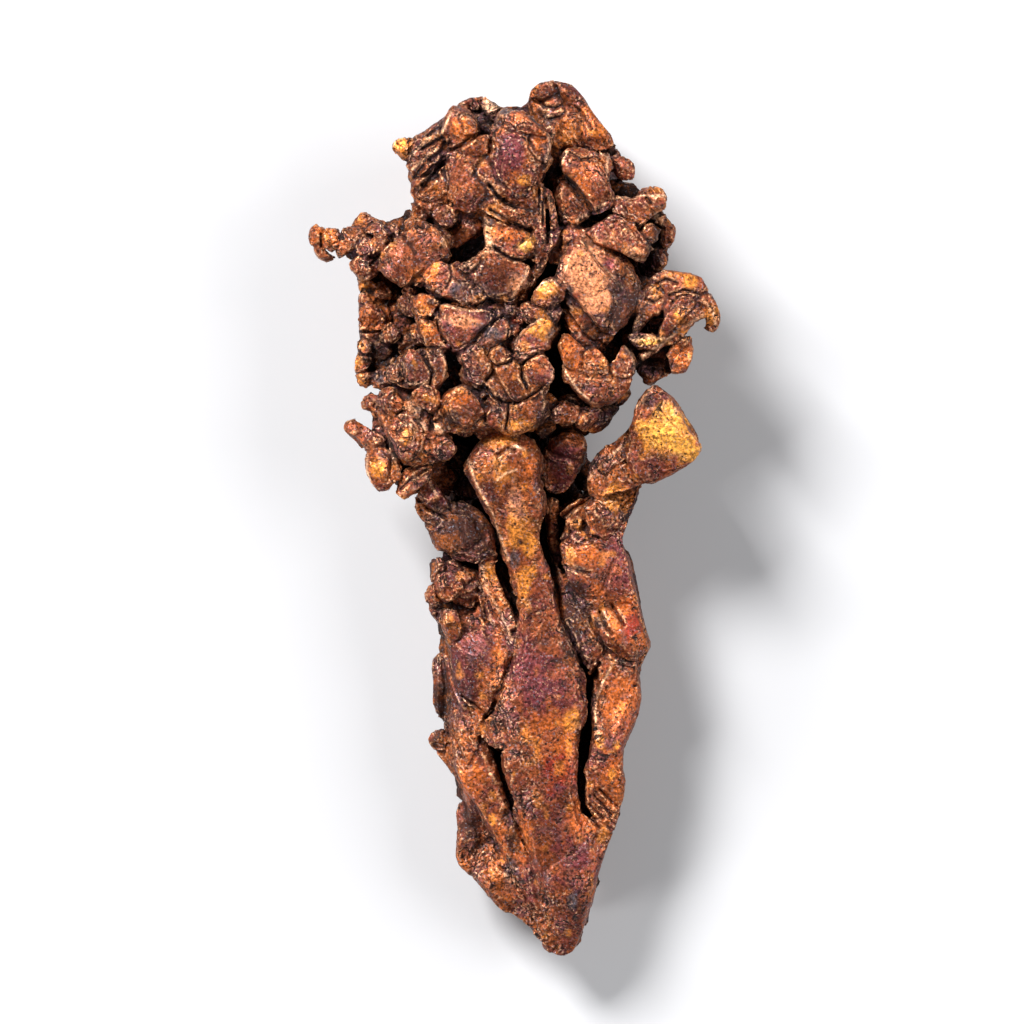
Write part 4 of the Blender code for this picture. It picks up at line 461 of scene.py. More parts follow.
# ---------------------------------------------------------------------------
# Cluster of lobes under the plates, like a small fused bunch of grapes.
# ---------------------------------------------------------------------------
crown += lumps([
    ("finger_1", 213, 70, 0.32, (0.06, 0), [(463, 347), (471, 345), (479, 346), (486, 354), (490, 361),
     (493, 368), (492, 374), (486, 380), (481, 386), (473, 383), (466, 372), (462, 360)]),
    ("finger_2", 206, 70, 0.65, (0, 0), [(463, 368), (470, 363), (478, 371), (487, 379), (485, 388),
     (478, 392), (471, 385), (465, 377)]),
    ("finger_3", 196, 60, 0.7, (0, 0), [(461, 381), (469, 378), (478, 390), (483, 399), (478, 404),
     (470, 396)]),
    ("lobe_a", 219, 50, 0.3, (0, 0), [(490, 349), (500, 345), (507, 350), (511, 358), (507, 364),
     (498, 366), (492, 363), (488, 357)]),
    ("lobe_b", 216, 60, 0.3, (0, 0.05), [(494, 367), (507, 363), (515, 360), (521, 366), (522, 379),
     (528, 391), (526, 398), (518, 402), (507, 397), (500, 384)]),
    ("lobe_c", 213, 60, 0.3, (-0.05, 0), [(487, 378), (493, 374), (500, 384), (507, 396), (510, 401),
     (502, 403), (493, 398), (486, 388)]),
    ("lobe_d", 216, 60, 0.32, (0.05, 0), [(524, 366), (530, 360), (539, 355), (548, 360), (553, 370),
     (551, 383), (542, 389), (534, 397), (528, 391), (522, 379)]),
    ("lobe_e", 205, 60, 0.5, (0, 0), [(526, 398), (534, 396), (543, 388), (546, 398), (538, 406),
     (524, 407)]),
    ("chin_left", 205, 70, 0.4, (0, 0), [(484, 404), (490, 398), (500, 402), (507, 403), (508, 415),
     (506, 430), (498, 430), (490, 424), (485, 415)]),
    ("chin", 208, 80, 0.36, (0, -0.05), [(508, 404), (520, 403), (532, 397), (541, 389), (546, 400),
     (544, 415), (534, 425), (518, 433), (507, 431), (508, 416)]),
    ("chin_side", 182, 70, 0.8, (0, 0), [(543, 392), (552, 395), (558, 402), (552, 414), (545, 420),
     (541, 408)]),
    ("web_a", 192, 70, 0.5, (0, 0), [(478, 398), (488, 394), (500, 402), (497, 416), (490, 428), (478, 428),
     (474, 414)]),
    ("web_b", 170, 60, 0.8, (0, 0), [(470, 425), (485, 420), (500, 428), (498, 440), (480, 440)]),
    ("web_c", 165, 60, 0.8, (0, 0), [(535, 425), (548, 418), (556, 420), (552, 432), (540, 440)]),
    ("cheek_face", 206, 90, 0.35, (0.05, -0.05), [(404, 232), (412, 223), (424, 222), (434, 228),
     (446, 238), (450, 250), (442, 262), (430, 266), (420, 276), (412, 284), (404, 276), (400, 256)]),
    ("lobes_base", 209, 80, 0.4, (0, 0), [(459, 354), (470, 347), (484, 350), (493, 347), (506, 351),
     (516, 361), (531, 358), (546, 358), (553, 370), (548, 386), (545, 399), (530, 404), (516, 404),
     (500, 404), (486, 396), (475, 396), (463, 380), (462, 368)]),
    ("chin_base", 200, 80, 0.6, (0, 0), [(484, 404), (500, 398), (545, 396), (548, 415), (535, 428),
     (512, 436), (500, 432), (486, 419)]),
])

# ---------------------------------------------------------------------------
# Lower left of the crown: a pair of balls, the knuckle, worn nodules and a spur.
# ---------------------------------------------------------------------------
crown += lumps([
    ("ball_big", 208, 70, 0.34, (-0.05, 0), [(405, 355), (411, 350), (418, 353), (425, 361), (432, 373),
     (429, 381), (421, 385), (410, 385), (404, 378), (403, 366)]),
    ("shelf_join", 209, 90, 0.3, (0, 0), [(446, 268), (458, 264), (470, 266), (482, 280), (482, 296),
     (466, 298), (450, 290)]),
    ("column_dark", 152, 60, 0.6, (0, 0), [(361, 336), (384, 333), (400, 345), (402, 364), (390, 377),
     (374, 378), (362, 360)]),
    ("ball_right", 205, 70, 0.34, (0.05, 0), [(423, 351), (433, 349), (440, 351), (445, 357), (447, 368),
     (444, 380), (436, 387), (431, 382), (433, 374), (427, 363)]),
    ("ball_small", 196, 60, 0.5, (0, 0), [(387, 368), (394, 362), (400, 366), (405, 376), (402, 383),
     (394, 380), (388, 374)]),
    ("snail", 206, 70, 0.75, (0, 0), [(412, 397), (418, 388), (429, 385), (438, 391), (441, 401),
     (437, 409), (430, 412), (420, 407)]),
    ("knuckle", 214, 80, 0.4, (0.03, 0), [(446, 398), (453, 390), (462, 387), (471, 393), (479, 403),
     (481, 412), (475, 421), (466, 428), (456, 425), (448, 416), (444, 408)]),
    ("knuckle_low", 198, 60, 0.8, (0, 0), [(440, 417), (449, 412), (459, 417), (466, 424), (460, 430),
     (450, 431), (442, 425)]),
    ("left_a", 192, 70, 0.75, (0, 0), [(377, 398), (383, 389), (393, 388), (399, 396), (400, 408),
     (393, 415), (383, 411), (378, 405)]),
    ("left_b", 180, 60, 0.85, (0, 0), [(398, 392), (405, 389), (411, 397), (410, 407), (402, 409)]),
    ("left_bead", 200, 30, 1, (0, 0), [(390, 400), (396, 396), (402, 401), (401, 409), (394, 411)]),
    ("left_base", 192, 80, 0.55, (0, 0), [(380, 394), (396, 389), (410, 391), (420, 387), (438, 391),
     (444, 404), (440, 418), (450, 440), (446, 458), (430, 461), (410, 464), (396, 455), (388, 436),
     (380, 416)]),
    ("balls_base", 198, 80, 0.5, (0, 0), [(390, 367), (404, 355), (424, 350), (444, 357), (447, 376),
     (440, 388), (424, 391), (406, 388), (392, 382)]),
    ("knuckle_base", 200, 80, 0.5, (0, 0), [(436, 398), (450, 390), (466, 387), (483, 397), (494, 408),
     (488, 424), (476, 430), (458, 433), (441, 430), (437, 414)]),
    ("left_c", 162, 50, 0.8, (0, 0), [(363, 398), (370, 393), (376, 397), (378, 406), (377, 417),
     (369, 412), (366, 404)]),
    ("left_big", 202, 84, 0.66, (0, 0), [(387, 429), (394, 419), (404, 413), (413, 417), (420, 427),
     (425, 438), (423, 449), (417, 457), (406, 461), (399, 453), (396, 442), (389, 438)]),
    ("left_folds", 190, 80, 0.7, (0, 0), [(420, 421), (429, 415), (440, 421), (445, 433), (452, 441),
     (456, 449), (450, 458), (440, 460), (431, 456), (426, 444), (423, 432)]),
    ("cream_a", 196, 50, 0.9, (0, 0), [(406, 400), (413, 402), (420, 410), (421, 418), (413, 416),
     (406, 408)]),
    ("cream_b", 196, 40, 0.9, (0, 0), [(432, 424), (440, 422), (445, 429), (440, 436), (433, 432)]),
    ("yellow_foot", 180, 76, 0.72, (0, 0), [(366, 459), (374, 449), (384, 448), (393, 455), (401, 468),
     (396, 478), (388, 487), (378, 490), (371, 481), (366, 470)]),
    ("shoe", 168, 60, 0.6, (0, 0.1), [(397, 484), (408, 470), (420, 462), (430, 465), (433, 474),
     (425, 483), (414, 492), (404, 499), (397, 494)]),
    ("left_under", 160, 80, 0.8, (0, 0), [(380, 410), (400, 405), (430, 405), (450, 425), (450, 450),
     (420, 460), (390, 455), (372, 440), (374, 425)]),
    ("left_fill", 142, 56, 0.8, (0, 0), [(384, 448), (410, 442), (440, 448), (450, 478), (430, 492),
     (402, 486), (388, 470)]),
])
crown += blades([
    ("spur", 36, 0.8, [(347, 424, 7, 150), (357, 432, 8, 154), (369, 439, 9, 158), (382, 444, 9, 164)]),
])

# ---------------------------------------------------------------------------
# Left edge of the crown: a column of small nodules and the arm that juts out.
# ---------------------------------------------------------------------------
crown += lumps([
    ("col_a", 182, 60, 0.75, (0, 0), [(351, 262), (358, 257), (368, 255), (377, 257), (381, 266),
     (376, 276), (368, 280), (358, 277), (352, 270)]),
    ("col_nub", 150, 50, 0.7, (0, 0), [(352, 260), (358, 258), (360, 264), (359, 272), (354, 274),
     (351, 267)]),
    ("arm_tip", 164, 40, 0.8, (0, 0), [(308, 236), (311, 226), (318, 224), (323, 230), (321, 241),
     (318, 250), (311, 246)]),
    ("arm_bead", 172, 44, 0.85, (0, 0), [(321, 239), (325, 231), (331, 228), (337, 232), (338, 242),
     (333, 250), (326, 248)]),
    ("arm_mid", 174, 50, 0.75, (0, 0), [(336, 241), (343, 232), (352, 228), (361, 230), (368, 238),
     (360, 245), (352, 248), (345, 255), (337, 251)]),
    ("arm_top", 158, 50, 0.75, (0, 0), [(351, 225), (357, 215), (364, 211), (374, 216), (384, 222),
     (387, 231), (376, 232), (365, 228), (356, 230)]),
    ("knot_a", 184, 50, 0.85, (0, 0), [(357, 248), (362, 240), (369, 239), (374, 247), (370, 255),
     (361, 255)]),
    ("knot_b", 188, 60, 0.8, (0, 0), [(371, 243), (377, 235), (385, 237), (389, 244), (384, 252),
     (375, 253)]),
    ("knot_c", 182, 60, 0.75, (0, 0), [(366, 231), (375, 222), (384, 226), (393, 233), (396, 241),
     (390, 247), (381, 238), (372, 236)]),
    ("knot_d", 182, 60, 0.75, (0, 0), [(388, 228), (396, 226), (404, 233), (405, 243), (397, 244),
     (391, 237)]),
    ("bead_back", 148, 40, 0.9, (0, 0), [(399, 216), (404, 209), (412, 211), (414, 220), (406, 223)]),
    ("shoulder", 165, 90, 0.8, (0, 0), [(375, 232), (395, 222), (420, 218), (440, 225), (440, 260),
     (410, 270), (385, 262), (372, 248)]),
    ("arm_back", 150, 44, 0.8, (0, 0), [(340, 240), (352, 230), (368, 220), (394, 224), (402, 244),
     (386, 262), (362, 262), (348, 252)]),
    ("col_dark", 160, 60, 0.8, (0, 0), [(372, 284), (382, 281), (391, 292), (388, 304), (376, 303),
     (368, 295)]),
    ("col_b", 168, 56, 0.75, (0, 0), [(358, 310), (366, 303), (378, 306), (386, 315), (381, 328),
     (369, 330), (358, 322)]),
    ("col_c", 166, 50, 0.8, (0, 0), [(356, 346), (362, 339), (370, 343), (371, 352), (363, 356)]),
    ("col_d", 160, 60, 0.8, (0, 0), [(368, 340), (380, 336), (390, 342), (392, 352), (382, 360),
     (370, 356)]),
    ("col_e", 166, 50, 0.8, (0, 0), [(353, 360), (358, 352), (367, 352), (371, 361), (364, 370),
     (356, 370)]),
    ("col_f", 162, 50, 0.8, (0, 0), [(356, 377), (362, 370), (372, 371), (376, 380), (368, 386),
     (359, 385)]),
    ("col_g", 164, 60, 0.7, (0, 0), [(368, 374), (382, 368), (396, 374), (405, 382), (398, 389), (382, 389),
     (372, 386)]),
    ("col_base", 150, 60, 0.6, (0, 0), [(358, 264), (380, 258), (398, 280), (402, 300), (412, 310),
     (418, 340), (408, 356), (400, 388), (374, 386), (360, 378), (356, 358), (361, 330), (358, 300)]),
    ("col_h", 172, 50, 0.8, (0, 0), [(382, 333), (389, 323), (397, 326), (400, 337), (392, 344),
     (384, 342)]),
    ("col_i", 164, 60, 0.8, (0, 0), [(396, 338), (408, 334), (416, 342), (412, 352), (400, 354)]),
    ("col_j", 180, 60, 0.8, (0, 0), [(397, 300), (408, 294), (416, 302), (414, 316), (404, 314)]),
    ("col_k", 186, 50, 0.85, (0, 0), [(402, 290), (410, 284), (417, 290), (414, 298), (405, 298)]),
    ("col_l", 178, 50, 0.85, (0, 0), [(410, 328), (418, 324), (426, 334), (424, 344), (414, 342)]),
    ("col_m", 158, 60, 0.8, (0, 0), [(356, 280), (363, 274), (372, 280), (371, 291), (361, 291)]),
    ("col_n", 160, 60, 0.8, (0, 0), [(357, 298), (364, 291), (374, 296), (374, 306), (362, 308)]),
    ("col_o", 156, 60, 0.8, (0, 0), [(359, 334), (367, 328), (378, 331), (380, 341), (368, 343)]),
    ("col_fill", 154, 84, 0.8, (0, 0), [(360, 262), (378, 256), (392, 280), (392, 300), (395, 330),
     (404, 350), (402, 382), (376, 386), (362, 362), (358, 330), (358, 296)]),
])
crown += blades([
    ("arm_hook", 36, 0.85, [(316, 246, 6, 160), (321, 255, 5, 158), (331, 258, 4, 156)]),
])

# ---------------------------------------------------------------------------
# Ring on the right of the crown: a loop of thin copper round a small hole.
# ---------------------------------------------------------------------------
crown += lumps([
    ("ring_top", 202, 60, 0.6, (0, 0), [(650, 280), (658, 273), (668, 271), (680, 273), (692, 275),
     (702, 279), (707, 288), (703, 297), (692, 301), (680, 299), (668, 304), (658, 300), (651, 291)]),
    ("ring_limb", 199, 60, 0.4, (0.05, 0), [(643, 292), (652, 283), (664, 288), (670, 300), (662, 311),
     (650, 318), (641, 328), (635, 332), (633, 322), (638, 306)]),
    ("ring_web", 201, 50, 0.35, (0, 0), [(664, 298), (690, 297), (700, 304), (694, 317), (684, 330),
     (672, 341), (664, 342), (661, 334), (664, 322), (663, 310)]),
    ("ring_shoulder", 196, 60, 0.7, (0, 0), [(643, 292), (650, 284), (660, 282), (668, 290), (664, 302),
     (654, 308), (645, 303)]),
    ("ring_crescent", 198, 60, 0.3, (0, 0.1), [(628, 337), (634, 334), (645, 334), (656, 337), (665, 341),
     (662, 346), (652, 350), (640, 349), (632, 344)]),
    ("ring_under", 172, 70, 0.7, (0, 0), [(620, 333), (629, 323), (635, 331), (643, 345), (640, 358),
     (634, 370), (629, 360), (624, 347)]),
    ("ring_foot", 188, 70, 0.3, (0, 0), [(668, 354), (675, 342), (684, 337), (692, 339), (692, 354),
     (688, 368), (680, 374), (672, 372)]),
    ("ring_base", 164, 60, 0.7, (0, 0), [(636, 369), (643, 361), (655, 358), (668, 358), (673, 369),
     (665, 374), (658, 381), (652, 386), (644, 378)]),
    ("ring_root", 150, 80, 0.8, (0, 0), [(612, 325), (632, 318), (648, 330), (652, 350), (640, 368),
     (622, 365), (610, 345)]),
    ("ring_deep", 132, 60, 0.8, (0, 0), [(622, 312), (648, 304), (674, 310), (674, 335), (656, 348),
     (630, 342)]),
    ("ring_back", 166, 40, 0.7, (0, 0), [(640, 295), (660, 284), (690, 284), (702, 298), (688, 318),
     (672, 322), (658, 315), (646, 317), (636, 326), (630, 312)]),
    ("ring_low", 170, 44, 0.7, (0, 0), [(630, 336), (645, 337), (660, 333), (672, 328), (686, 326),
     (682, 345), (668, 357), (650, 358), (634, 350)]),
])
crown += blades([
    ("ring_bar", 46, 0.65, [(690, 303, 7, 204), (680, 309, 8, 206), (672, 320, 8, 204), (666, 333, 7, 200),
     (662, 342, 5, 196)]),
    ("ring_diag", 34, 0.55, [(702, 313, 5, 198), (691, 315, 5, 200), (681, 324, 5, 200), (673, 336, 4, 198),
     (660, 344, 4, 194), (649, 352, 4, 190), (640, 358, 4, 186)]),
    ("hook", 40, 0.75, [(697, 303, 6, 196), (705, 300, 6, 196), (711, 309, 7, 192), (713, 321, 7, 186),
     (711, 330, 5, 180)]),
])

# ---------------------------------------------------------------------------
# Heart-shaped lump and the loose-looking nuts between crown and horn.
# ---------------------------------------------------------------------------
crown += lumps([
    ("heart_left", 208, 80, 0.32, (-0.05, 0.05), [(558, 346), (563, 337), (568, 335), (577, 343),
     (586, 351), (584, 362), (583, 372), (575, 374), (564, 366)]),
    ("heart_mid", 211, 80, 0.32, (0, 0), [(583, 356), (588, 350), (597, 350), (604, 358), (609, 365),
     (607, 376), (597, 380), (586, 376), (583, 366)]),
    ("heart_right", 209, 80, 0.32, (0.05, 0), [(609, 366), (617, 360), (620, 350), (624, 346), (630, 354),
     (634, 366), (634, 375), (622, 382), (611, 378)]),
    ("heart_body", 209, 84, 0.34, (0, -0.05), [(562, 364), (575, 373), (590, 377), (606, 377), (622, 381),
     (632, 377), (628, 390), (616, 400), (600, 403), (588, 403), (577, 393), (568, 380)]),
    ("heart_tail", 178, 60, 0.8, (0, 0), [(618, 385), (626, 382), (630, 391), (626, 400), (618, 404),
     (614, 396)]),
    ("heart_back", 160, 80, 0.8, (0, 0), [(575, 345), (610, 335), (628, 350), (622, 385), (600, 395),
     (575, 385)]),
    ("nut_a", 188, 60, 0.75, (0, 0), [(550, 416), (554, 406), (562, 401), (572, 404), (579, 410),
     (574, 420), (565, 423), (555, 421)]),
    ("nut_b", 184, 50, 0.75, (0, 0), [(576, 424), (582, 412), (591, 407), (601, 408), (600, 416),
     (592, 422), (586, 430), (578, 430)]),
    ("nut_c", 164, 60, 0.8, (0, 0), [(592, 410), (603, 402), (614, 402), (618, 410), (612, 422), (602, 430),
     (590, 434), (586, 424)]),
    ("nut_d", 172, 50, 0.8, (0, 0), [(558, 399), (566, 394), (577, 396), (583, 404), (574, 409),
     (562, 406)]),
    ("neck_right", 140, 90, 0.8, (0, 0), [(540, 395), (570, 385), (600, 395), (605, 415), (585, 435),
     (560, 440), (540, 430)]),
])

# ---------------------------------------------------------------------------
# Back and flanks of the crown: big worn knobs with small nodules all over.
# ---------------------------------------------------------------------------
crown += knobs([
    ("heel_left", 428, 300, 0, 34, 38, 92),
    ("heel_right", 598, 262, 0, 34, 38, 92),
    ("heel_middle", 508, 372, 5, 40, 32, 84),
    ("back_brow", 520, 158, 12, 38, 30, 96),
    ("back_head", 565, 118, 34, 28, 24, 90),
    ("back_temple", 452, 198, 16, 34, 30, 90),
    ("back_centre", 515, 250, 4, 36, 40, 90),
    ("back_cheek_right", 628, 322, 28, 22, 28, 84),
    ("back_cheek_left", 388, 352, 32, 26, 32, 84),
    ("back_jaw_left", 440, 418, 22, 30, 28, 84),
    ("back_jaw_right", 572, 388, 20, 32, 28, 84),
    ("back_knot_1", 468, 312, 6, 24, 30, 76),
    ("back_knot_2", 562, 322, 8, 26, 28, 76),
    ("back_knot_3", 606, 192, 22, 24, 28, 84),
    ("back_knot_4", 548, 206, 6, 22, 28, 76),
    ("back_knot_5", 490, 436, 8, 30, 30, 84),
    ("back_knot_6", 398, 256, 44, 20, 24, 76),
    ("back_knot_7", 646, 240, 60, 18, 22, 66),
])
crown += strewn(crown_core, ((1.0, 30), (0.93, 26), (0.8, 20), (0.6, 13), (0.35, 7)), (9, 17), 1.15, 11)

# ---------------------------------------------------------------------------
# The body: a long central blade between two folded wings, with the horn that
# curls up on the right and the tip below.
# ---------------------------------------------------------------------------
body += lumps([
    ("right_sheet", 134, 90, 0.5, (-0.06, 0), [(560, 508), (588, 494), (616, 498), (616, 545), (628, 570),
     (638, 620), (645, 650), (638, 690), (633, 730), (621, 762), (620, 800), (612, 830), (598, 822),
     (589, 800), (594, 765), (598, 735), (597, 700), (604, 672), (592, 650), (584, 615), (572, 590),
     (560, 560)]),
    ("left_sheet", 124, 80, 0.6, (0.06, 0), [(440, 575), (470, 570), (482, 600), (494, 640), (498, 680),
     (486, 712), (478, 745), (486, 790), (500, 830), (516, 880), (523, 905), (505, 902), (485, 877),
     (470, 850), (464, 800), (456, 762), (448, 735), (444, 700), (440, 660), (436, 620)]),
    ("inner_bulb", 146, 70, 0.7, (0, 0), [(549, 441), (560, 430), (572, 428), (583, 434), (587, 445),
     (585, 457), (579, 469), (573, 481), (565, 491), (555, 493), (545, 486), (542, 470), (543, 454)]),
    ("inner_bulb_cap", 150, 50, 0.75, (0, 0), [(551, 440), (562, 430), (574, 430), (583, 437), (585, 448),
     (576, 458), (562, 456), (552, 450)]),
    ("left_wing", 150, 90, 0.6, (0.05, 0), [(440, 496), (452, 502), (466, 503), (479, 511), (489, 523),
     (495, 540), (496, 553), (487, 560), (476, 563), (463, 559), (450, 553), (439, 546), (431, 535),
     (423, 523), (432, 512)]),
    ("left_wing_neck", 152, 70, 0.65, (0, 0), [(419, 488), (427, 477), (434, 481), (440, 492), (448, 502),
     (452, 514), (440, 514), (430, 508), (421, 499)]),
    ("left_wing_bulb", 156, 60, 0.65, (0, 0), [(446, 522), (458, 514), (472, 518), (484, 530), (486, 545),
     (474, 552), (460, 548), (448, 537)]),
    ("wing_pit_ball", 128, 60, 0.85, (0, 0), [(438, 480), (442, 471), (450, 470), (455, 478), (450, 490),
     (442, 494)]),
    ("wing_pit_wall", 118, 60, 0.8, (0, 0), [(450, 468), (468, 470), (480, 485), (485, 500), (470, 500),
     (455, 492)]),
    ("left_body", 142, 96, 0.5, (0.05, -0.02), [(444, 600), (458, 590), (472, 596), (482, 612), (496, 622),
     (505, 638), (512, 654), (510, 668), (506, 682), (500, 695), (494, 707), (487, 717), (476, 709),
     (466, 701), (457, 692), (452, 676), (449, 656), (446, 641), (441, 624)]),
    ("left_body_top", 132, 80, 0.6, (0, 0), [(446, 566), (458, 565), (474, 570), (479, 582), (479, 600),
     (470, 608), (456, 604), (446, 592)]),
    ("left_snail", 148, 60, 0.75, (0, 0), [(435, 586), (440, 575), (450, 571), (459, 577), (462, 588),
     (455, 598), (446, 601), (438, 596)]),
    ("left_nib", 134, 60, 0.8, (0, 0), [(430, 572), (432, 562), (437, 557), (443, 564), (442, 574),
     (435, 580)]),
    ("left_nib_2", 130, 50, 0.85, (0, 0), [(446, 563), (453, 559), (460, 564), (456, 570), (449, 570)]),
    ("left_lobe", 138, 60, 0.75, (0, 0), [(424, 594), (430, 583), (436, 590), (441, 602), (434, 608),
     (427, 604)]),
    ("left_lobe_2", 132, 60, 0.75, (0, 0), [(428, 607), (438, 606), (443, 614), (440, 624), (432, 618)]),
    ("left_gold", 146, 60, 0.7, (0, 0), [(440, 618), (446, 608), (456, 612), (460, 624), (454, 640),
     (446, 634)]),
    ("groove_face", 132, 70, 0.5, (-0.2, 0), [(478, 588), (486, 598), (494, 612), (502, 628), (508, 648),
     (500, 646), (490, 626), (480, 608)]),
    ("pit_fill", 104, 60, 0.8, (0, 0), [(434, 440), (450, 436), (466, 446), (472, 470), (462, 484),
     (446, 480), (436, 462)]),
    ("edge_lobe", 108, 70, 0.6, (0, 0), [(431, 663), (436, 655), (449, 650), (454, 665), (457, 681),
     (462, 698), (458, 709), (450, 720), (441, 722), (434, 712), (432, 700), (433, 685), (431, 673)]),
    ("edge_nub", 96, 50, 0.85, (0, 0), [(427, 741), (431, 734), (440, 731), (448, 738), (449, 748),
     (441, 754), (431, 750)]),
    ("edge_low", 96, 60, 0.7, (0, 0), [(436, 740), (445, 742), (458, 758), (466, 774), (470, 790),
     (462, 792), (453, 778), (443, 764), (436, 754)]),
    ("wing_margin", 120, 80, 0.6, (0, 0), [(612, 545), (628, 548), (634, 562), (637, 578), (640, 592),
     (642, 606), (636, 616), (624, 612), (616, 590), (611, 566)]),
    ("brow_edge", 96, 50, 0.7, (0, 0), [(428, 560), (434, 562), (438, 574), (436, 584), (430, 582)]),
    ("mid_nub", 118, 70, 0.7, (0, 0), [(458, 712), (468, 705), (480, 714), (480, 724), (470, 728),
     (458, 724)]),
    ("skirt", 98, 70, 0.6, (0.1, 0), [(472, 806), (484, 822), (494, 838), (505, 860), (517, 882),
     (530, 905), (536, 922), (529, 934), (518, 919), (505, 917), (494, 906), (481, 891), (472, 876),
     (478, 858), (476, 838), (470, 820)]),
    ("skirt_lobe", 92, 64, 0.6, (0, 0), [(454, 815), (460, 806), (470, 806), (476, 820), (479, 838),
     (484, 856), (478, 870), (470, 880), (461, 872), (455, 860), (456, 843), (457, 828)]),
    ("right_wing", 150, 100, 0.4, (-0.12, 0), [(562, 540), (570, 515), (585, 500), (600, 490), (618, 484),
     (634, 482), (643, 485), (640, 492), (633, 500), (625, 509), (623, 520), (621, 530), (618, 540),
     (624, 549), (630, 556), (632, 570), (635, 585), (640, 600), (644, 620), (649, 635), (652, 646),
     (647, 657), (640, 667), (629, 669), (617, 661), (607, 650), (599, 634), (590, 620), (580, 606),
     (572, 590), (565, 566)]),
    ("right_wing_crest", 156, 70, 0.6, (-0.1, 0), [(585, 505), (600, 498), (616, 500), (622, 512),
     (616, 528), (604, 538), (592, 532), (586, 518)]),
    ("right_wing_belly", 156, 70, 0.8, (-0.1, 0), [(560, 545), (575, 532), (598, 535), (616, 548),
     (622, 575), (618, 600), (600, 608), (582, 600), (568, 580)]),
    ("right_wing_low", 153, 80, 0.4, (-0.12, 0), [(590, 608), (612, 602), (632, 606), (644, 630),
     (648, 648), (636, 660), (620, 656), (606, 644), (596, 626)]),
    ("wing_nut", 150, 40, 0.85, (0, 0), [(566, 523), (573, 516), (581, 516), (583, 524), (576, 530),
     (568, 529)]),
    ("wing_nut_2", 152, 50, 0.75, (0, 0), [(568, 537), (576, 530), (585, 531), (590, 540), (582, 548),
     (572, 546)]),
    ("wing_shelf", 136, 60, 0.6, (0, 0), [(560, 514), (570, 504), (582, 498), (588, 504), (580, 514),
     (568, 520)]),
    ("inner_facet", 140, 96, 0.4, (0.1, 0.05), [(553, 556), (561, 570), (573, 590), (586, 612), (599, 634),
     (606, 650), (598, 665), (589, 675), (582, 662), (573, 645), (563, 624), (557, 606), (553, 585)]),
    ("right_low", 140, 96, 0.55, (-0.05, -0.03), [(597, 681), (604, 669), (615, 663), (630, 667),
     (641, 675), (642, 695), (640, 715), (633, 730), (626, 748), (621, 762), (627, 778), (625, 795),
     (621, 812), (616, 828), (605, 834), (596, 820), (587, 806), (585, 790), (587, 770), (591, 750),
     (593, 730), (591, 712), (593, 696)]),
    ("tip", 124, 96, 0.62, (0, -0.28), [(545, 830), (565, 822), (583, 816), (600, 824), (614, 836),
     (608, 850), (602, 865), (598, 880), (595, 900), (590, 915), (585, 930), (580, 944), (573, 956),
     (563, 960), (552, 956), (543, 946), (536, 930), (536, 905), (538, 870)]),
    ("horn_face", 192, 40, 0.22, (0.06, -0.12), [(636, 407), (642, 396), (654, 385), (665, 392), (674, 402),
     (681, 412), (684, 422), (691, 432), (699, 441), (701, 450), (695, 459), (685, 467), (672, 474),
     (658, 481), (645, 485), (632, 476), (628, 452), (629, 434), (633, 418)]),
    ("horn_stem", 164, 60, 0.45, (0.25, 0), [(588, 482), (590, 466), (598, 454), (607, 446), (619, 438),
     (632, 426), (644, 448), (646, 468), (644, 480), (634, 486), (618, 490), (602, 498), (590, 494)]),
    ("horn_stem_fold", 170, 40, 0.6, (0.2, 0.1), [(596, 470), (606, 458), (620, 450), (634, 440),
     (642, 444), (632, 456), (618, 464), (606, 474)]),
    ("horn_knob", 186, 44, 0.7, (0, 0), [(641, 406), (643, 397), (651, 389), (658, 393), (660, 402),
     (652, 409)]),
])
body += blades([
    ("blade", 96, 0.62, [(500, 440, 26, 176), (503, 455, 37, 182), (505, 470, 38, 183), (509, 487, 32, 180),
     (517, 505, 29, 176), (518, 522, 24, 172), (520, 540, 20, 166), (527, 562, 18, 160),
     (532, 582, 18, 156), (537, 602, 18, 152), (541, 624, 22, 148), (544, 645, 29, 146),
     (545, 670, 36, 147), (543, 695, 44, 148), (541, 715, 45, 147), (541, 740, 38, 144),
     (543, 765, 35, 141), (545, 790, 33, 138), (550, 815, 31, 134), (558, 845, 30, 128),
     (563, 875, 28, 120), (565, 905, 24, 108)]),
    ("blade_flange", 70, 0.55, [(520, 722, 20, 146), (500, 732, 18, 138), (484, 732, 10, 130)]),
    ("blade_tongue", 60, 0.6, [(512, 752, 12, 146), (517, 768, 13, 144), (521, 788, 11, 140),
     (524, 804, 8, 134)]),
    ("strip", 70, 0.55, [(487, 563, 9, 138), (489, 580, 9, 138), (495, 595, 9, 137), (503, 612, 9, 136),
     (510, 628, 8, 135), (514, 643, 5, 133), (512, 658, 3, 132)]),
    ("left_ridge", 80, 0.65, [(466, 728, 14, 116), (470, 750, 19, 120), (478, 775, 20, 122),
     (490, 800, 16, 120), (502, 825, 14, 117), (514, 850, 12, 113), (526, 876, 10, 108), (538, 900, 9, 102),
     (546, 918, 8, 96)]),
    ("wing_edge", 50, 0.7, [(417, 503, 5, 140), (425, 515, 6, 142), (436, 524, 6, 144)]),
    ("groove_wall", 60, 0.7, [(552, 500, 7, 128), (552, 520, 6, 124), (554, 545, 6, 120),
     (558, 565, 6, 116)]),
])
body += blades([
    ("horn_rim", 44, 0.7, [(632, 474, 7, 152), (648, 472, 6, 160), (665, 469, 5, 168), (682, 461, 5, 172),
     (695, 449, 4, 172)]),
    ("horn_edge", 40, 0.7, [(660, 390, 3, 178), (673, 402, 4, 174), (683, 418, 4, 170),
     (697, 438, 4, 168)]),
])
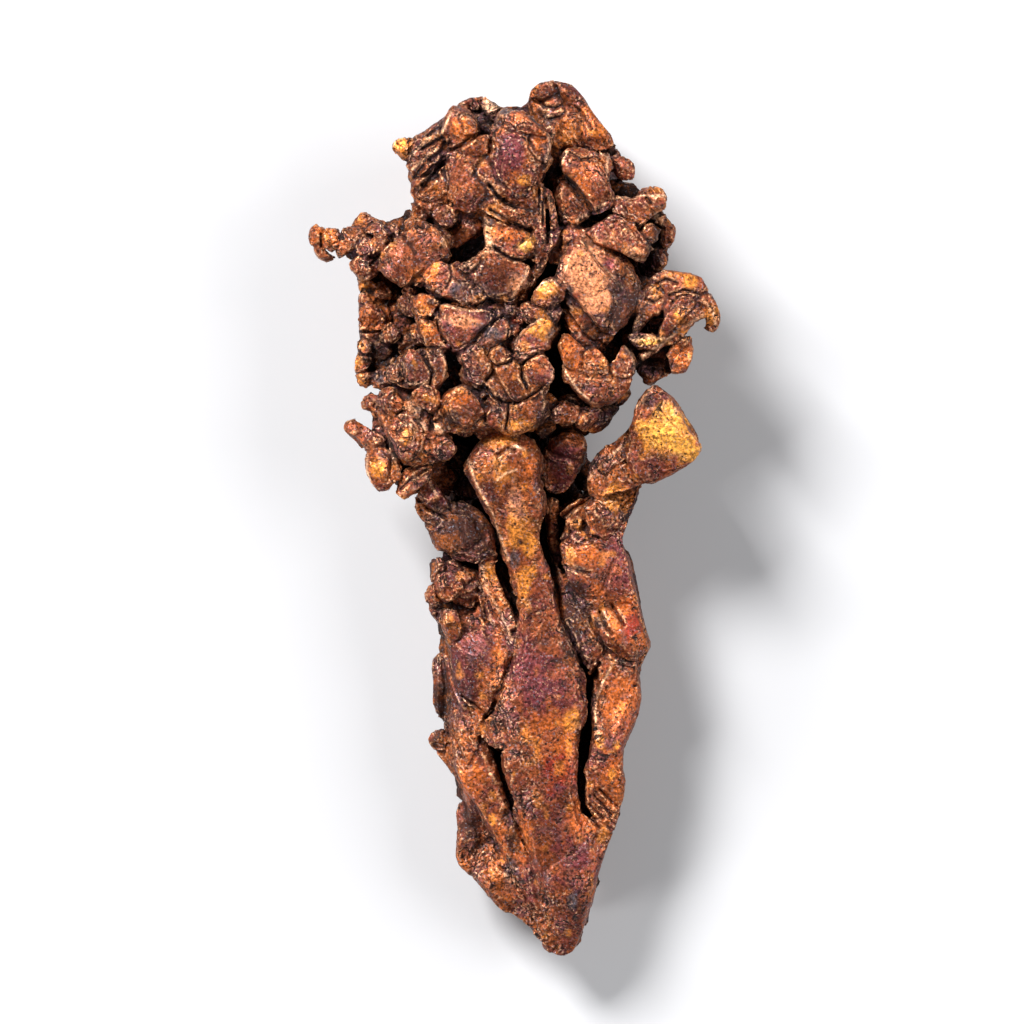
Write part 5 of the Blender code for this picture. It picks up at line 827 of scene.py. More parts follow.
body += blades([
    ("keel", 76, 0.8, [(500, 400, 22, 88), (520, 480, 18, 84), (538, 560, 17, 82), (538, 640, 19, 80),
     (536, 720, 20, 80), (546, 800, 18, 78), (560, 880, 12, 76)]),
    ("keel_fold", 60, 0.8, [(556, 470, 9, 74), (584, 520, 10, 76), (602, 590, 11, 78), (604, 660, 10, 78),
     (600, 740, 8, 74)]),
    ("keel_fold_left", 60, 0.8, [(486, 470, 9, 72), (474, 540, 10, 74), (476, 620, 10, 74),
     (486, 700, 9, 72), (498, 780, 8, 70)]),
])
body += knobs([
    ("spine_1", 512, 478, 6, 26, 34, 88),
    ("spine_2", 548, 528, 2, 24, 36, 88),
    ("spine_3", 502, 566, 8, 26, 34, 84),
    ("spine_4", 566, 590, 3, 28, 34, 86),
    ("spine_5", 518, 640, 0, 28, 38, 86),
    ("spine_6", 588, 668, 10, 22, 34, 84),
    ("spine_7", 478, 698, 14, 20, 28, 74),
    ("spine_8", 544, 722, 2, 28, 34, 84),
    ("spine_9", 594, 752, 14, 18, 32, 76),
    ("spine_10", 508, 778, 10, 24, 32, 78),
    ("spine_11", 556, 806, 0, 26, 36, 84),
    ("spine_12", 530, 866, 10, 22, 28, 74),
    ("spine_13", 574, 874, 6, 18, 32, 76),
    ("spine_14", 562, 926, 14, 14, 22, 66),
    ("side_left_1", 456, 610, 36, 16, 36, 66),
    ("side_right_1", 616, 590, 32, 18, 38, 76),
    ("side_right_2", 616, 704, 30, 16, 34, 70),
    ("side_left_2", 450, 690, 34, 12, 24, 56),
    ("side_left_3", 474, 850, 32, 14, 26, 50),
    ("side_right_3", 606, 812, 30, 12, 28, 66),
    ("back_left_wing", 462, 530, 40, 22, 22, 70),
])
body += strewn(body_core_top, ((1.0, 22), (0.9, 16), (0.66, 9), (0.3, 4)), (8, 14), 1.7, 12)
body += strewn(body_core_low, ((1.0, 20), (0.88, 14), (0.6, 8), (0.2, 3)), (7, 13), 1.8, 13)


# ---------------------------------------------------------------------------
# Fusing and weathering. Each half's lumps melt into one closed skin, which is
# then chipped, pitted and cracked like copper that lay in the ground.
# ---------------------------------------------------------------------------
CELL = 1.6 * STEP
FACE_LIMIT = 196000
FAR_REACH = 20.0       # reach of a vertex that no line between lumps is near
REACH_ROUNDS = 12      # rings of edges that the reach grows over

# Rounds of flattening: cell size, least length of a flat cell's mean normal, most move
FACETS = [(34, 0.93, 3.0), (18, 0.62, 4.5), (9, 0.74, 2.0)]
CALM_CELL = 30 * STEP  # larger cells than this flatten the rubbed faces too
CELL_TONE = 0.28       # how much of its tone a vertex takes from its flat cell, each round


def gathered(pieces):
    """Points and faces of all pieces in one list each, and the piece that each face belongs to."""
    faces = []
    start = 0
    for piece_points, piece_faces in pieces:
        faces += [[start + corner for corner in face] for face in piece_faces]
        start += len(piece_points)
    points = np.concatenate([piece_points for piece_points, piece_faces in pieces]).tolist()
    owner = np.repeat(np.arange(len(pieces)), [len(piece_faces) for piece_points, piece_faces in pieces])
    return points, faces, owner


def fused(points, faces):
    """One closed skin round overlapping pieces."""
    mesh = bpy.data.meshes.new("rough_mass")
    mesh.from_pydata(points, [], faces)
    shape = bmesh.new()
    shape.from_mesh(mesh)
    bmesh.ops.recalc_face_normals(shape, faces=shape.faces)
    shape.to_mesh(mesh)
    shape.free()
    return evaluated(mesh, "REMESH", mode="VOXEL", voxel_size=CELL)


def evaluated(mesh, kind, weights=None, **settings):
    """The mesh after one modifier, as a new mesh, with a weight for each vertex if there is one."""
    carrier = bpy.data.objects.new("work_piece", mesh)
    bpy.context.collection.objects.link(carrier)
    if weights is not None:
        group = carrier.vertex_groups.new(name="weights")
        for level in np.unique(weights):
            group.add(np.flatnonzero(weights == level).tolist(), float(level), "REPLACE")
    modifier = carrier.modifiers.new(kind.title(), kind)
    for setting, value in settings.items():
        setattr(modifier, setting, value)
    graph = bpy.context.evaluated_depsgraph_get()
    result = bpy.data.meshes.new_from_object(carrier.evaluated_get(graph))
    bpy.data.objects.remove(carrier, do_unlink=True)
    return result


def read(layer, name, width):
    """One value per item of a mesh layer, as an array of the given width."""
    values = np.empty(len(layer) * width, dtype=np.int32 if name == "vertices" else np.float32)
    layer.foreach_get(name, values)
    return values.reshape(-1, width)


def linked(mesh):
    """Both ends of every edge, each way round, and each vertex's count of edges."""
    edges = read(mesh.edges, "vertices", 2)
    ends = np.concatenate([edges[:, 0], edges[:, 1]])
    others = np.concatenate([edges[:, 1], edges[:, 0]])
    return ends, others, np.bincount(ends, minlength=len(mesh.vertices))[:, None]


def near_mean(links, values):
    """Mean of each vertex's neighbours, for every column of the values."""
    ends, others, count = links
    columns = [np.bincount(ends, values[others, k], len(values)) for k in range(values.shape[1])]
    return np.stack(columns, axis=1) / count


def stored(mesh, values_by_title):
    """Write each array as a float attribute of the mesh's vertices."""
    for title, values in values_by_title.items():
        layer = mesh.attributes.new(title, "FLOAT", "POINT")
        layer.data.foreach_set("value", values)


def island_of_most(mesh):
    """Mask of the vertices in the mesh's largest island, by spreading the lowest number."""
    edges = read(mesh.edges, "vertices", 2)
    label = np.arange(len(mesh.vertices))
    while True:
        lowest = np.minimum(label[edges[:, 0]], label[edges[:, 1]])
        spread = label.copy()
        np.minimum.at(spread, edges[:, 0], lowest)
        np.minimum.at(spread, edges[:, 1], lowest)
        spread = spread[spread]
        if np.array_equal(spread, label):
            break
        label = spread
    return label == np.bincount(label).argmax()


def marked(mesh, points, faces, owner):
    """Find the lump under each vertex and each vertex's reach to the nearest line between lumps.

    The reach grows from the edges whose ends lie on different lumps, one ring
    of edges at a time.
    """
    tree = BVHTree.FromPolygons(points, faces)
    places = read(mesh.vertices, "co", 3)
    lump_under = owner[[tree.find_nearest(place)[2] for place in places.tolist()]]
    edges = read(mesh.edges, "vertices", 2)
    length = np.linalg.norm(places[edges[:, 0]] - places[edges[:, 1]], axis=1) / STEP
    split = lump_under[edges[:, 0]] != lump_under[edges[:, 1]]
    reach = np.full(len(places), FAR_REACH)
    reach[edges[split].ravel()] = 0.0
    for _ in range(REACH_ROUNDS):
        np.minimum.at(reach, edges[:, 0], reach[edges[:, 1]] + length)
        np.minimum.at(reach, edges[:, 1], reach[edges[:, 0]] + length)
    links = linked(mesh)
    for _ in range(3):
        reach = (reach + near_mean(links, reach[:, None])[:, 0]) / 2
    return lump_under, reach


def shaken(cell, seed):
    """A random number in 0..1 for each whole-number cell, the same each time."""
    key = cell[..., 0] * 73856093 ^ cell[..., 1] * 19349663 ^ cell[..., 2] * 83492791
    key = (key + seed * 2654435761) & 0x7FFFFFFF
    key = (key ^ (key >> 13)) * 1274126177 & 0x7FFFFFFF
    key = (key ^ (key >> 16)) * 1103515245 & 0x7FFFFFFF
    return ((key ^ (key >> 11)) & 0xFFFFF) / 0xFFFFF


def wobble(points, size, seed):
    """Smooth random value in -1..1: cell corners blended by 3t^2 - 2t^3."""
    cell = points / size
    base = np.floor(cell).astype(np.int64)
    t = cell - base
    t = t * t * (3 - 2 * t)
    value = np.zeros(len(points))
    for corner in product((0, 1), repeat=3):
        weight = np.prod(np.where(corner, t, 1 - t), axis=1)
        value += weight * shaken(base + corner, seed)
    return 2 * value - 1


def chips(points, size, seed):
    """Cells round scattered seeds, one seed to each cube of the given size.

    Gives the distance to the nearest and to the second seed, the cube that the
    nearest one lies in and the offset from it.
    """
    cell = points / size
    base = np.floor(cell).astype(np.int64)
    nearest = np.full(len(points), 9.0)
    second = np.full(len(points), 9.0)
    home = base.copy()
    offset = np.zeros((len(points), 3))
    for corner in product((-1, 0, 1), repeat=3):
        here = base + corner
        seeds = here + np.stack([shaken(here, seed + k) for k in range(3)], axis=1)
        away = cell - seeds
        distance = np.linalg.norm(away, axis=1)
        closer = distance < nearest
        second = np.where(closer, nearest, np.minimum(second, distance))
        nearest = np.where(closer, distance, nearest)
        home[closer] = here[closer]
        offset[closer] = away[closer]
    return nearest, second, home, offset


def sums(group, values):
    """Total of each column of the values over every group."""
    return np.stack([np.bincount(group, values[:, k]) for k in range(values.shape[1])], axis=1)


def faceted(mesh, size, seed, bent, most):
    """Flatten the skin cell by cell: every vertex moves onto its cell's mean plane.

    Gives back a random number in 0..1 for each vertex's cell.

    Cells are told apart by the place pushed out along the normal, so the two
    sides of a ridge fall into different cells. A cell whose mean normal is
    shorter than bent is left round, and no vertex moves further than most.
    """
    points = read(mesh.vertices, "co", 3).astype(float)
    normals = read(mesh.vertices, "normal", 3).astype(float)
    home = chips(points + normals * size * 0.8, size, seed)[2]
    key = (home[:, 0] * 4096 + home[:, 1]) * 4096 + home[:, 2]
    group = np.unique(key, return_inverse=True)[1]
    count = np.bincount(group)[:, None]
    middle = sums(group, points) / count
    lean = sums(group, normals) / count
    flatness = np.linalg.norm(lean, axis=1)
    lean /= flatness[:, None]
    off = np.einsum("ij,ij->i", points - middle[group], lean[group])
    x, y = grid_place(points)
    spared = rubbed(x, y) * step_up(0.0, 0.4, normals[:, 2]) * (size < CALM_CELL)
    off = np.clip(off, -most, most) * step_up(bent, bent + 0.12, flatness)[group] * (1 - 0.85 * spared)
    moved = points - lean[group] * off[:, None]
    near = near_mean(linked(mesh), moved)
    stray = np.linalg.norm(moved - near, axis=1) / STEP
    share = 0.06 + 0.94 * step_up(0.5, 1.3, stray)
    moved += (near - moved) * share[:, None]
    mesh.vertices.foreach_set("co", moved.ravel())
    mesh.update()
    return shaken(home, seed + 9)


def step_up(low, high, value):
    """0 below low, 1 above high, and 3t^2 - 2t^3 between."""
    t = np.clip((value - low) / (high - low), 0, 1)
    return t * t * (3 - 2 * t)


def grid_place(points):
    """Drawing-grid x and y of points in metres."""
    return points[:, 0] / STEP + GRID_MIDDLE[0], GRID_MIDDLE[1] - points[:, 1] / STEP


def stroke_distance(x, y, path):
    """Distance from each point to a polyline, in grid steps."""
    path = np.asarray(path, dtype=float)
    nearest = np.full(len(x), 99.0)
    for (x0, y0), (x1, y1) in zip(path[:-1], path[1:]):
        length = (x1 - x0) ** 2 + (y1 - y0) ** 2
        t = np.clip(((x - x0) * (x1 - x0) + (y - y0) * (y1 - y0)) / length, 0, 1)
        nearest = np.minimum(nearest, np.hypot(x - x0 - t * (x1 - x0), y - y0 - t * (y1 - y0)))
    return nearest


# Cracks and pleats: half width, depth and path
STROKES = [
    (2.0, 6, [(428, 138), (441, 129)]), (2.0, 6, [(423, 151), (443, 140)]),
    (2.0, 6, [(430, 163), (450, 146)]), (2.2, 8, [(423, 188), (446, 163)]),
    (2.0, 6, [(420, 194), (438, 178)]), (2.0, 5, [(414, 180), (424, 168)]),
    (1.8, 8, [(489, 188), (497, 198), (505, 206), (515, 209)]),
    (1.5, 4, [(536, 100), (545, 108), (555, 110), (562, 106), (565, 113), (560, 118), (550, 120)]),
    (2.2, 9, [(565, 180), (574, 188), (583, 200), (593, 215)]), (1.8, 7, [(489.6, 144), (489.6, 156)]),
    (1.6, 6, [(539, 193), (539, 217)]), (1.6, 6, [(542, 205), (543, 227)]),
    (1.6, 6, [(546, 200), (549, 222), (547, 244)]), (1.8, 7, [(600, 612), (607, 628), (612, 633)]),
    (1.8, 7, [(612, 605), (620, 618), (624, 625)]), (1.8, 7, [(560, 520), (574, 508), (590, 498)]),
    (1.6, 5, [(434, 585), (437, 597), (442, 603)]),
    (1.5, 5, [(513, 657), (505, 675), (499, 692), (493, 707), (486, 715)]),
    (1.6, 6, [(486, 715), (475, 706), (462, 697)]), (1.6, 6, [(425, 508), (440, 515), (446, 518)]),
    (1.5, 5, [(590, 806), (604, 820)]), (1.5, 5, [(594, 796), (612, 816)]),
    (1.5, 5, [(600, 790), (618, 808)]), (1.5, 5, [(590, 818), (600, 830)]),
    (1.8, 6, [(646, 200), (650, 206)]), (1.6, 6, [(321, 234), (321, 247)]),
    (1.6, 6, [(385, 228), (392, 235), (393, 243)]), (1.8, 6, [(497, 455), (508, 448), (514, 450)]),
    (1.6, 5, [(565, 566), (578, 570), (590, 573)]), (1.6, 6, [(548, 500), (546, 512), (540, 522)]),
    (1.3, 6, [(486, 351), (489, 359), (494, 367), (507, 364), (513, 359)]),
    (1.3, 6, [(488, 354), (491, 349), (500, 345), (508, 350), (513, 359), (521, 366)]),
    (1.3, 6, [(492, 366), (493, 374), (486, 381)]), (1.1, 4, [(494, 374), (500, 384), (508, 397)]),
    (1.4, 7, [(513, 359), (521, 366), (522, 379), (528, 391)]),
    (1.3, 6, [(521, 366), (527, 361), (537, 354)]),
    (1.6, 7, [(486, 388), (494, 398), (503, 403), (518, 403), (528, 398), (541, 389)]),
    (1.2, 4, [(508, 404), (508, 416), (505, 430)]), (0.9, 2, [(470, 350), (476, 358), (483, 368)]),
    (0.9, 2, [(476, 349), (482, 356), (488, 364)]), (0.9, 2, [(534, 362), (542, 366), (548, 374)]),
    (1.1, 4, [(464, 351), (471, 343), (480, 333), (492, 323), (504, 317)]),
    (1.1, 4, [(509, 330), (507, 341), (500, 346)]), (1.3, 6, [(440, 304), (438, 312), (441, 318)]),
    (1.4, 6, [(428, 318), (437, 322), (439, 331), (446, 343)]),
    (1.8, 8, [(427, 292), (440, 299), (452, 305), (466, 309), (478, 306), (490, 301), (503, 304)]),
    (1.1, 4, [(449, 265), (452, 278), (446, 290)]), (0.9, 3, [(452, 278), (462, 284), (470, 282)]),
    (1.0, 3, [(472, 290), (476, 286), (483, 290), (484, 297), (478, 301)]),
    (1.4, 7, [(495, 250), (503, 256), (512, 261), (524, 262), (534, 259)]),
    (1.5, 7, [(490, 212), (505, 221), (520, 228), (533, 233)]),
    (1.0, 3, [(513, 347), (521, 334), (531, 326)]),
    (1.3, 6, [(421, 351), (427, 362), (433, 374), (430, 385)]),
    (1.1, 4, [(403, 356), (403, 368), (405, 379)]),
    (0.9, 2, [(415, 399), (418, 391), (426, 388), (434, 391), (437, 399), (434, 406), (426, 410)]),
    (0.9, 2, [(420, 400), (422, 395), (427, 393), (432, 397), (431, 403), (426, 405)]),
    (0.9, 2, [(451, 396), (460, 396), (471, 402)]), (0.9, 2, [(448, 404), (459, 405), (472, 412)]),
    (1.0, 3, [(452, 412), (460, 416), (468, 420)]), (1.2, 4, [(400, 489), (412, 478), (425, 470)]),
    (0.9, 2, [(400, 432), (405, 424), (412, 424), (416, 432), (415, 442)]),
    (0.9, 2, [(394, 436), (400, 420), (412, 417), (420, 428), (421, 444)]),
    (1.3, 5, [(655, 285), (665, 280), (676, 284)]), (1.2, 5, [(668, 296), (684, 291), (698, 295)]),
    (1.2, 5, [(645, 300), (654, 303), (661, 298)]), (1.0, 3, [(391, 455), (390, 470), (387, 482)]),
    (1.1, 4, [(530, 139), (528, 152), (536, 164), (545, 168)]),
    (0.9, 2, [(508, 136), (522, 132), (535, 137)]),
    (1.6, 7, [(452, 152), (461, 148), (470, 144), (479, 137)]),
    (1.0, 3, [(465, 166), (472, 166), (476, 172), (472, 180)]),
    (1.0, 3, [(446, 166), (450, 180), (447, 198)]), (1.0, 3, [(575, 108), (585, 120), (592, 132)]),
    (1.0, 3, [(562, 128), (572, 138), (576, 147)]), (0.9, 2, [(497, 170), (503, 185), (512, 196)]),
    (1.1, 4, [(569, 155), (580, 162), (596, 160), (604, 166)]),
    (2.0, 7, [(546, 518), (548, 545), (553, 565), (557, 585), (562, 620), (577, 650), (585, 668)]),
    (1.8, 6, [(478, 590), (484, 605), (485, 620)]), (1.0, 3, [(502, 575), (508, 590), (512, 604)]),
    (0.9, 2, [(566, 385), (580, 372), (596, 376), (612, 370)]),
    (1.0, 3, [(583, 352), (582, 366), (588, 378)]), (1.2, 4, [(609, 352), (608, 364), (612, 378)]),
    (1.0, 3, [(656, 404), (668, 420), (684, 436)]), (0.9, 2, [(508, 452), (500, 462), (496, 476)]),
]


def strokes(x, y, least=0.0):
    """How deep each point lies in the cracks and pleats, in grid steps; none counts as less than least."""
    groove = np.zeros(len(x))
    for half, deep, path in STROKES:
        distance = stroke_distance(x, y, path)
        groove = np.maximum(groove, max(deep, least) * np.exp(-(distance / half) ** 2))
    return groove


# Where two lumps meet
CRACK_DEPTH = 2.6
CRACK_HALF = 1.5

# Sizes of what the ground did to the skin, in grid steps
WAVE_SIZES = (26, 10)
CHIP_SIZE = 15
GRAIN_SIZE = 6
FINE_SIZE = 3.2
CRACK_RUN = 22

# Faces rubbed smooth: x, y, half width, half height
POLISHED = [
    (556, 100, 22, 16), (586, 284, 28, 42), (512, 160, 16, 22), (665, 440, 30, 30), (518, 470, 22, 30),
    (520, 545, 14, 44), (545, 690, 34, 46), (555, 770, 24, 44), (565, 460, 20, 28), (592, 575, 26, 30),
    (470, 665, 24, 36), (470, 535, 26, 18), (575, 200, 12, 22), (466, 328, 24, 18), (570, 360, 14, 18),
    (498, 278, 30, 18), (466, 294, 20, 12), (512, 238, 22, 14), (540, 148, 12, 20), (473, 150, 14, 9),
    (492, 338, 16, 12), (592, 126, 18, 26), (505, 382, 18, 18), (612, 620, 26, 30), (620, 720, 16, 40),
    (560, 850, 30, 40), (475, 800, 24, 40), (446, 690, 14, 30), (618, 305, 20, 26), (418, 368, 13, 16),
    (438, 368, 8, 16), (462, 408, 16, 16), (478, 362, 10, 12), (538, 372, 12, 16), (402, 262, 16, 16),
    (530, 412, 16, 12), (455, 284, 22, 12), (535, 335, 14, 12), (428, 250, 14, 12),
]


def rubbed(x, y):
    """1 on the faces rubbed smooth, falling to 0 around them."""
    share = np.zeros(len(x))
    for spot_x, spot_y, wide, tall in POLISHED:
        away = np.hypot((x - spot_x) / wide, (y - spot_y) / tall)
        share = np.maximum(share, 1 - step_up(0.7, 1.15, away))
    return share


def weathered(points, normals, reach, seed):
    """Points moved along their normals: soft waves, flat chips, grain, pits and the cracks.

    Reach is the distance from the nearest line where two lumps meet.
    """
    broad, narrow = (size * STEP for size in WAVE_SIZES)
    wave = 0.35 * wobble(points, broad, seed) + 0.25 * wobble(points, narrow, seed + 1)
    nearest, second, home = chips(points, CHIP_SIZE * STEP, seed + 2)[:3]
    number = shaken(home, seed + 7)
    seam = -1.8 * (1 - step_up(0, 0.10, second - nearest)) * (number > 0.6)
    small, _, small_home, drift = chips(points, GRAIN_SIZE * STEP, seed + 3)
    kind = shaken(small_home, seed + 8)
    tilt = np.stack([np.cos(kind * 70), np.sin(kind * 70), np.cos(kind * 40)], axis=1)
    grain = np.einsum("ij,ij->i", drift, tilt) * 0.3
    pits = -0.7 * (1 - step_up(0.12, 0.42, small)) * (kind > 0.8)
    fine = 0.12 * wobble(points, FINE_SIZE * STEP, seed + 5)
    x, y = grid_place(points)
    facing = step_up(-0.1, 0.35, normals[:, 2])
    groove = strokes(x, y)
    worn = 1 - 0.8 * rubbed(x, y) * facing
    parted = step_up(-0.5, 0.3, wobble(points, CRACK_RUN * STEP, seed + 6))
    crack = -CRACK_DEPTH * (0.3 + 0.7 * parted) * np.exp(-(reach / CRACK_HALF) ** 2)
    move = (wave + seam + grain + pits) * worn + fine + crack
    moved = points + normals * (move * STEP)[:, None]
    moved[:, 2] -= groove * facing * STEP
    return moved


MAP_CELL = 2.5        # depth map's square, in grid steps
MAP_SLACK = 5.0       # how far under the map's top still counts as seen
EMPTY = -999.0        # height of a square with nothing in it
HIDDEN, OUTER, TOP = 0.86, 0.6, 0.0


def outermost(points, axis, sign):
    """Mask of the points that can be seen from far along one axis, by a coarse depth map."""
    flat = np.delete(points, axis, axis=1) / (MAP_CELL * STEP)
    place = (flat - flat.min(axis=0)).astype(int)
    height = points[:, axis] * sign / STEP
    sheet = np.full(place.max(axis=0) + 1, EMPTY)
    np.maximum.at(sheet, (place[:, 0], place[:, 1]), height)
    return height > sheet[place[:, 0], place[:, 1]] - MAP_SLACK


def thinned(mesh):
    """Collapse edges down to the face limit: hidden skin first, then flanks and back.

    Each edge costs its length times (2 - w1 - w2), so skin of weight w keeps
    edges 1 / (1 - w) times as long as the top's.
    """
    points = read(mesh.vertices, "co", 3).astype(float)
    weights = np.full(len(points), HIDDEN)
    for axis, sign in ((0, 1), (0, -1), (1, 1), (1, -1), (2, -1)):
        weights[outermost(points, axis, sign)] = OUTER
    weights[outermost(points, 2, 1)] = TOP
    return evaluated(mesh, "DECIMATE", weights, ratio=FACE_LIMIT / len(mesh.polygons),
                     vertex_group="weights", vertex_group_factor=1.0)


def wrapped(name, pieces, seed):
    """Fuse, weather and thin one half of the nugget, and give the object back."""
    rough_points, rough_faces, owner = gathered(pieces)
    mesh = fused(rough_points, rough_faces)
    keep = island_of_most(mesh)
    shape = bmesh.new()
    shape.from_mesh(mesh)
    spare = [vertex for vertex, kept in zip(shape.verts, keep) if not kept]
    bmesh.ops.delete(shape, geom=spare, context="VERTS")
    bmesh.ops.triangulate(shape, faces=shape.faces)
    shape.to_mesh(mesh)
    shape.free()
    lump_under, reach = marked(mesh, rough_points, rough_faces, owner)
    tone = np.random.default_rng(seed).uniform(0, 1, len(pieces))[lump_under]
    for size, bent, most in FACETS:
        cell_tone = faceted(mesh, size * STEP, seed + size, bent, most * STEP)
        tone = (1 - CELL_TONE) * tone + CELL_TONE * cell_tone
    stored(mesh, {"reach": reach, "tone": tone})
    points = read(mesh.vertices, "co", 3).astype(float)
    normals = read(mesh.vertices, "normal", 3).astype(float)
    moved = weathered(points, normals, reach, seed)
    mesh.vertices.foreach_set("co", moved.ravel())
    mesh.update()
    if len(mesh.polygons) > FACE_LIMIT:
        mesh = thinned(mesh)
    mesh.name = name
    piece = bpy.data.objects.new(name, mesh)
    bpy.context.collection.objects.link(piece)
    return piece


crown_piece = wrapped("nugget_crown", crown, 100)
body_piece = wrapped("nugget_body", body, 200)

# Both halves are set into the solid's own box, their lowest points worn flat
WORN = 3.6
halves = (crown_piece, body_piece)
both = np.concatenate([read(piece.data.vertices, "co", 3) for piece in halves])
worn = both[:, 2].min() + WORN * STEP
both_low = np.array([*both[:, :2].min(axis=0), worn])
both_high = both.max(axis=0)
fit = (nugget_high - nugget_low) / (both_high - both_low)
for piece in halves:
    points = read(piece.data.vertices, "co", 3)
    points = nugget_low + (np.maximum(points, both_low) - both_low) * fit
    piece.data.vertices.foreach_set("co", points.ravel())
    piece.data.update()


# ---------------------------------------------------------------------------
# The patina: rust-brown copper with plum, orange and ochre bloom and black cracks.
# Painted highlights, partly worn bright metal, run along its edges, and painted shade
# darkens its hollows, creases and shaded flanks to black. Each vertex carries its own tint.
# ---------------------------------------------------------------------------
BROWN = (0.215, 0.062, 0.022)
UMBER = (0.060, 0.018, 0.009)
PLUM = (0.140, 0.034, 0.046)
ORANGE = (0.58, 0.16, 0.024)
OCHRE = (0.86, 0.36, 0.055)
CREAM = (0.80, 0.56, 0.33)
CHARCOAL = (0.068, 0.072, 0.088)
TAN = (0.86, 0.40, 0.19)
CRIMSON = (0.30, 0.035, 0.022)
GOLD = (1.0, 0.56, 0.10)
GLEAM = (1.0, 0.70, 0.42)

# Black for the painted shade in hollows and creases and for the real cracks
SHADE_AND_CRACK_BLACK = (0.012, 0.008, 0.007)
PATINA_DEPTH = (0.88, 0.70, 0.66)
HOLLOW_RADIUS = 16
BLUR_CELL = 3.0

# Patches of bloom: tint, strength and (x, y, half width, half height). The cream spots are painted
# highlights, and the last list, in dark umber, is painted shade on flanks and low lumps that lie in shade.
BLOOM = [
    (PLUM, 0.85, [(512, 158, 16, 24), (500, 172, 10, 16), (560, 236, 22, 9), (620, 300, 16, 22),
     (470, 535, 26, 16), (492, 620, 8, 22), (470, 650, 26, 30), (520, 660, 22, 34), (545, 690, 30, 26),
     (560, 775, 16, 24), (618, 560, 20, 34), (520, 880, 16, 40), (612, 264, 18, 10), (430, 240, 12, 8),
     (575, 855, 20, 40), (560, 465, 16, 22), (468, 660, 24, 50), (465, 325, 26, 20), (440, 500, 18, 20),
     (565, 590, 14, 30)]),
    (ORANGE, 0.7, [(524, 122, 14, 6), (510, 238, 14, 6), (540, 150, 8, 12), (598, 126, 14, 20),
     (585, 180, 14, 22), (460, 130, 12, 12), (430, 282, 10, 10), (427, 305, 12, 8), (428, 332, 9, 9),
     (528, 470, 12, 24), (586, 555, 16, 11), (588, 592, 16, 10), (622, 618, 20, 22), (555, 745, 22, 30),
     (515, 840, 20, 34), (470, 780, 12, 24), (620, 700, 18, 24), (610, 780, 12, 20), (570, 355, 14, 14),
     (680, 355, 10, 12), (448, 624, 8, 16), (462, 398, 12, 8), (640, 487, 8, 5), (498, 610, 7, 30),
     (505, 470, 18, 16), (330, 240, 16, 10), (580, 820, 18, 20), (572, 330, 8, 16), (466, 128, 7, 8)]),
    (OCHRE, 0.8, [(522, 184, 6, 5), (548, 293, 12, 12), (545, 325, 16, 14), (524, 348, 8, 6),
     (665, 440, 26, 26), (668, 415, 14, 16), (505, 440, 16, 8), (500, 470, 10, 18), (516, 520, 12, 24),
     (530, 545, 8, 12), (525, 585, 8, 20), (489, 575, 6, 12), (448, 618, 6, 8), (572, 722, 10, 12),
     (577, 524, 8, 6), (402, 150, 10, 10), (379, 470, 9, 12), (406, 438, 7, 9), (365, 288, 6, 6),
     (362, 345, 6, 7), (358, 361, 6, 8), (364, 379, 7, 6), (710, 318, 6, 12), (656, 292, 7, 8),
     (690, 284, 8, 5), (678, 318, 6, 10), (690, 335, 10, 5), (600, 742, 4, 6), (617, 745, 4, 6),
     (612, 775, 4, 6), (492, 822, 4, 5), (528, 428, 10, 5), (515, 425, 12, 6), (612, 500, 12, 16)]),
    (TAN, 0.9, [(584, 272, 22, 28), (597, 298, 17, 18), (592, 250, 10, 12), (516, 284, 9, 8),
     (592, 290, 14, 14), (515, 505, 9, 20), (465, 322, 16, 8), (634, 254, 9, 6)]),
    # Painted highlights on small bright spots
    (CREAM, 0.9, [(492, 110, 6, 8), (565, 155, 4, 3), (489, 240, 3, 14), (524, 251, 8, 3), (638, 339, 6, 3),
     (470, 268, 9, 4), (658, 220, 6, 6), (496, 553, 4, 3), (414, 409, 5, 6), (440, 428, 4, 3),
     (445, 245, 4, 5), (672, 412, 6, 6)]),
    (CHARCOAL, 0.88, [(482, 300, 34, 6), (462, 292, 18, 9), (606, 338, 8, 6), (500, 318, 16, 5),
     (506, 110, 6, 7), (486, 126, 10, 8), (550, 165, 7, 16), (538, 118, 14, 10), (515, 560, 6, 8),
     (472, 295, 16, 10), (490, 335, 16, 9), (577, 569, 13, 4), (382, 378, 16, 7), (510, 875, 8, 20),
     (572, 902, 7, 12), (604, 618, 3, 12), (569, 300, 4, 14), (636, 300, 7, 24), (596, 334, 8, 8),
     (509, 310, 8, 7), (602, 700, 4, 4), (490, 225, 6, 5)]),
    (GOLD, 0.95, [(648, 342, 14, 5), (668, 436, 22, 26), (664, 412, 12, 12), (526, 248, 9, 7)]),
    (CRIMSON, 0.9, [(517, 322, 7, 4), (396, 405, 5, 5), (556, 772, 12, 16), (630, 625, 12, 14)]),
    (UMBER, 0.55, [(505, 385, 44, 34), (420, 370, 26, 18), (445, 235, 40, 26), (465, 660, 30, 60),
     (500, 276, 18, 12), (500, 470, 30, 40), (490, 290, 40, 30), (450, 660, 20, 70), (400, 330, 22, 34),
     (540, 480, 10, 40)]),
    # Painted shade: dark umber on flanks and low lumps that lie in shade
    (UMBER, 0.95, [(455, 525, 46, 34), (632, 302, 18, 32), (620, 320, 14, 18), (630, 276, 10, 18),
     (380, 356, 16, 20), (604, 334, 20, 10), (626, 286, 14, 24), (556, 312, 8, 24), (652, 244, 10, 24),
     (484, 128, 8, 10), (575, 620, 14, 40), (600, 470, 14, 12), (648, 400, 8, 8), (645, 368, 16, 10),
     (472, 838, 12, 24), (440, 700, 10, 26), (512, 830, 8, 24), (438, 742, 9, 9), (545, 430, 12, 14),
     (448, 420, 12, 8), (610, 420, 12, 14), (630, 345, 8, 16)]),
]
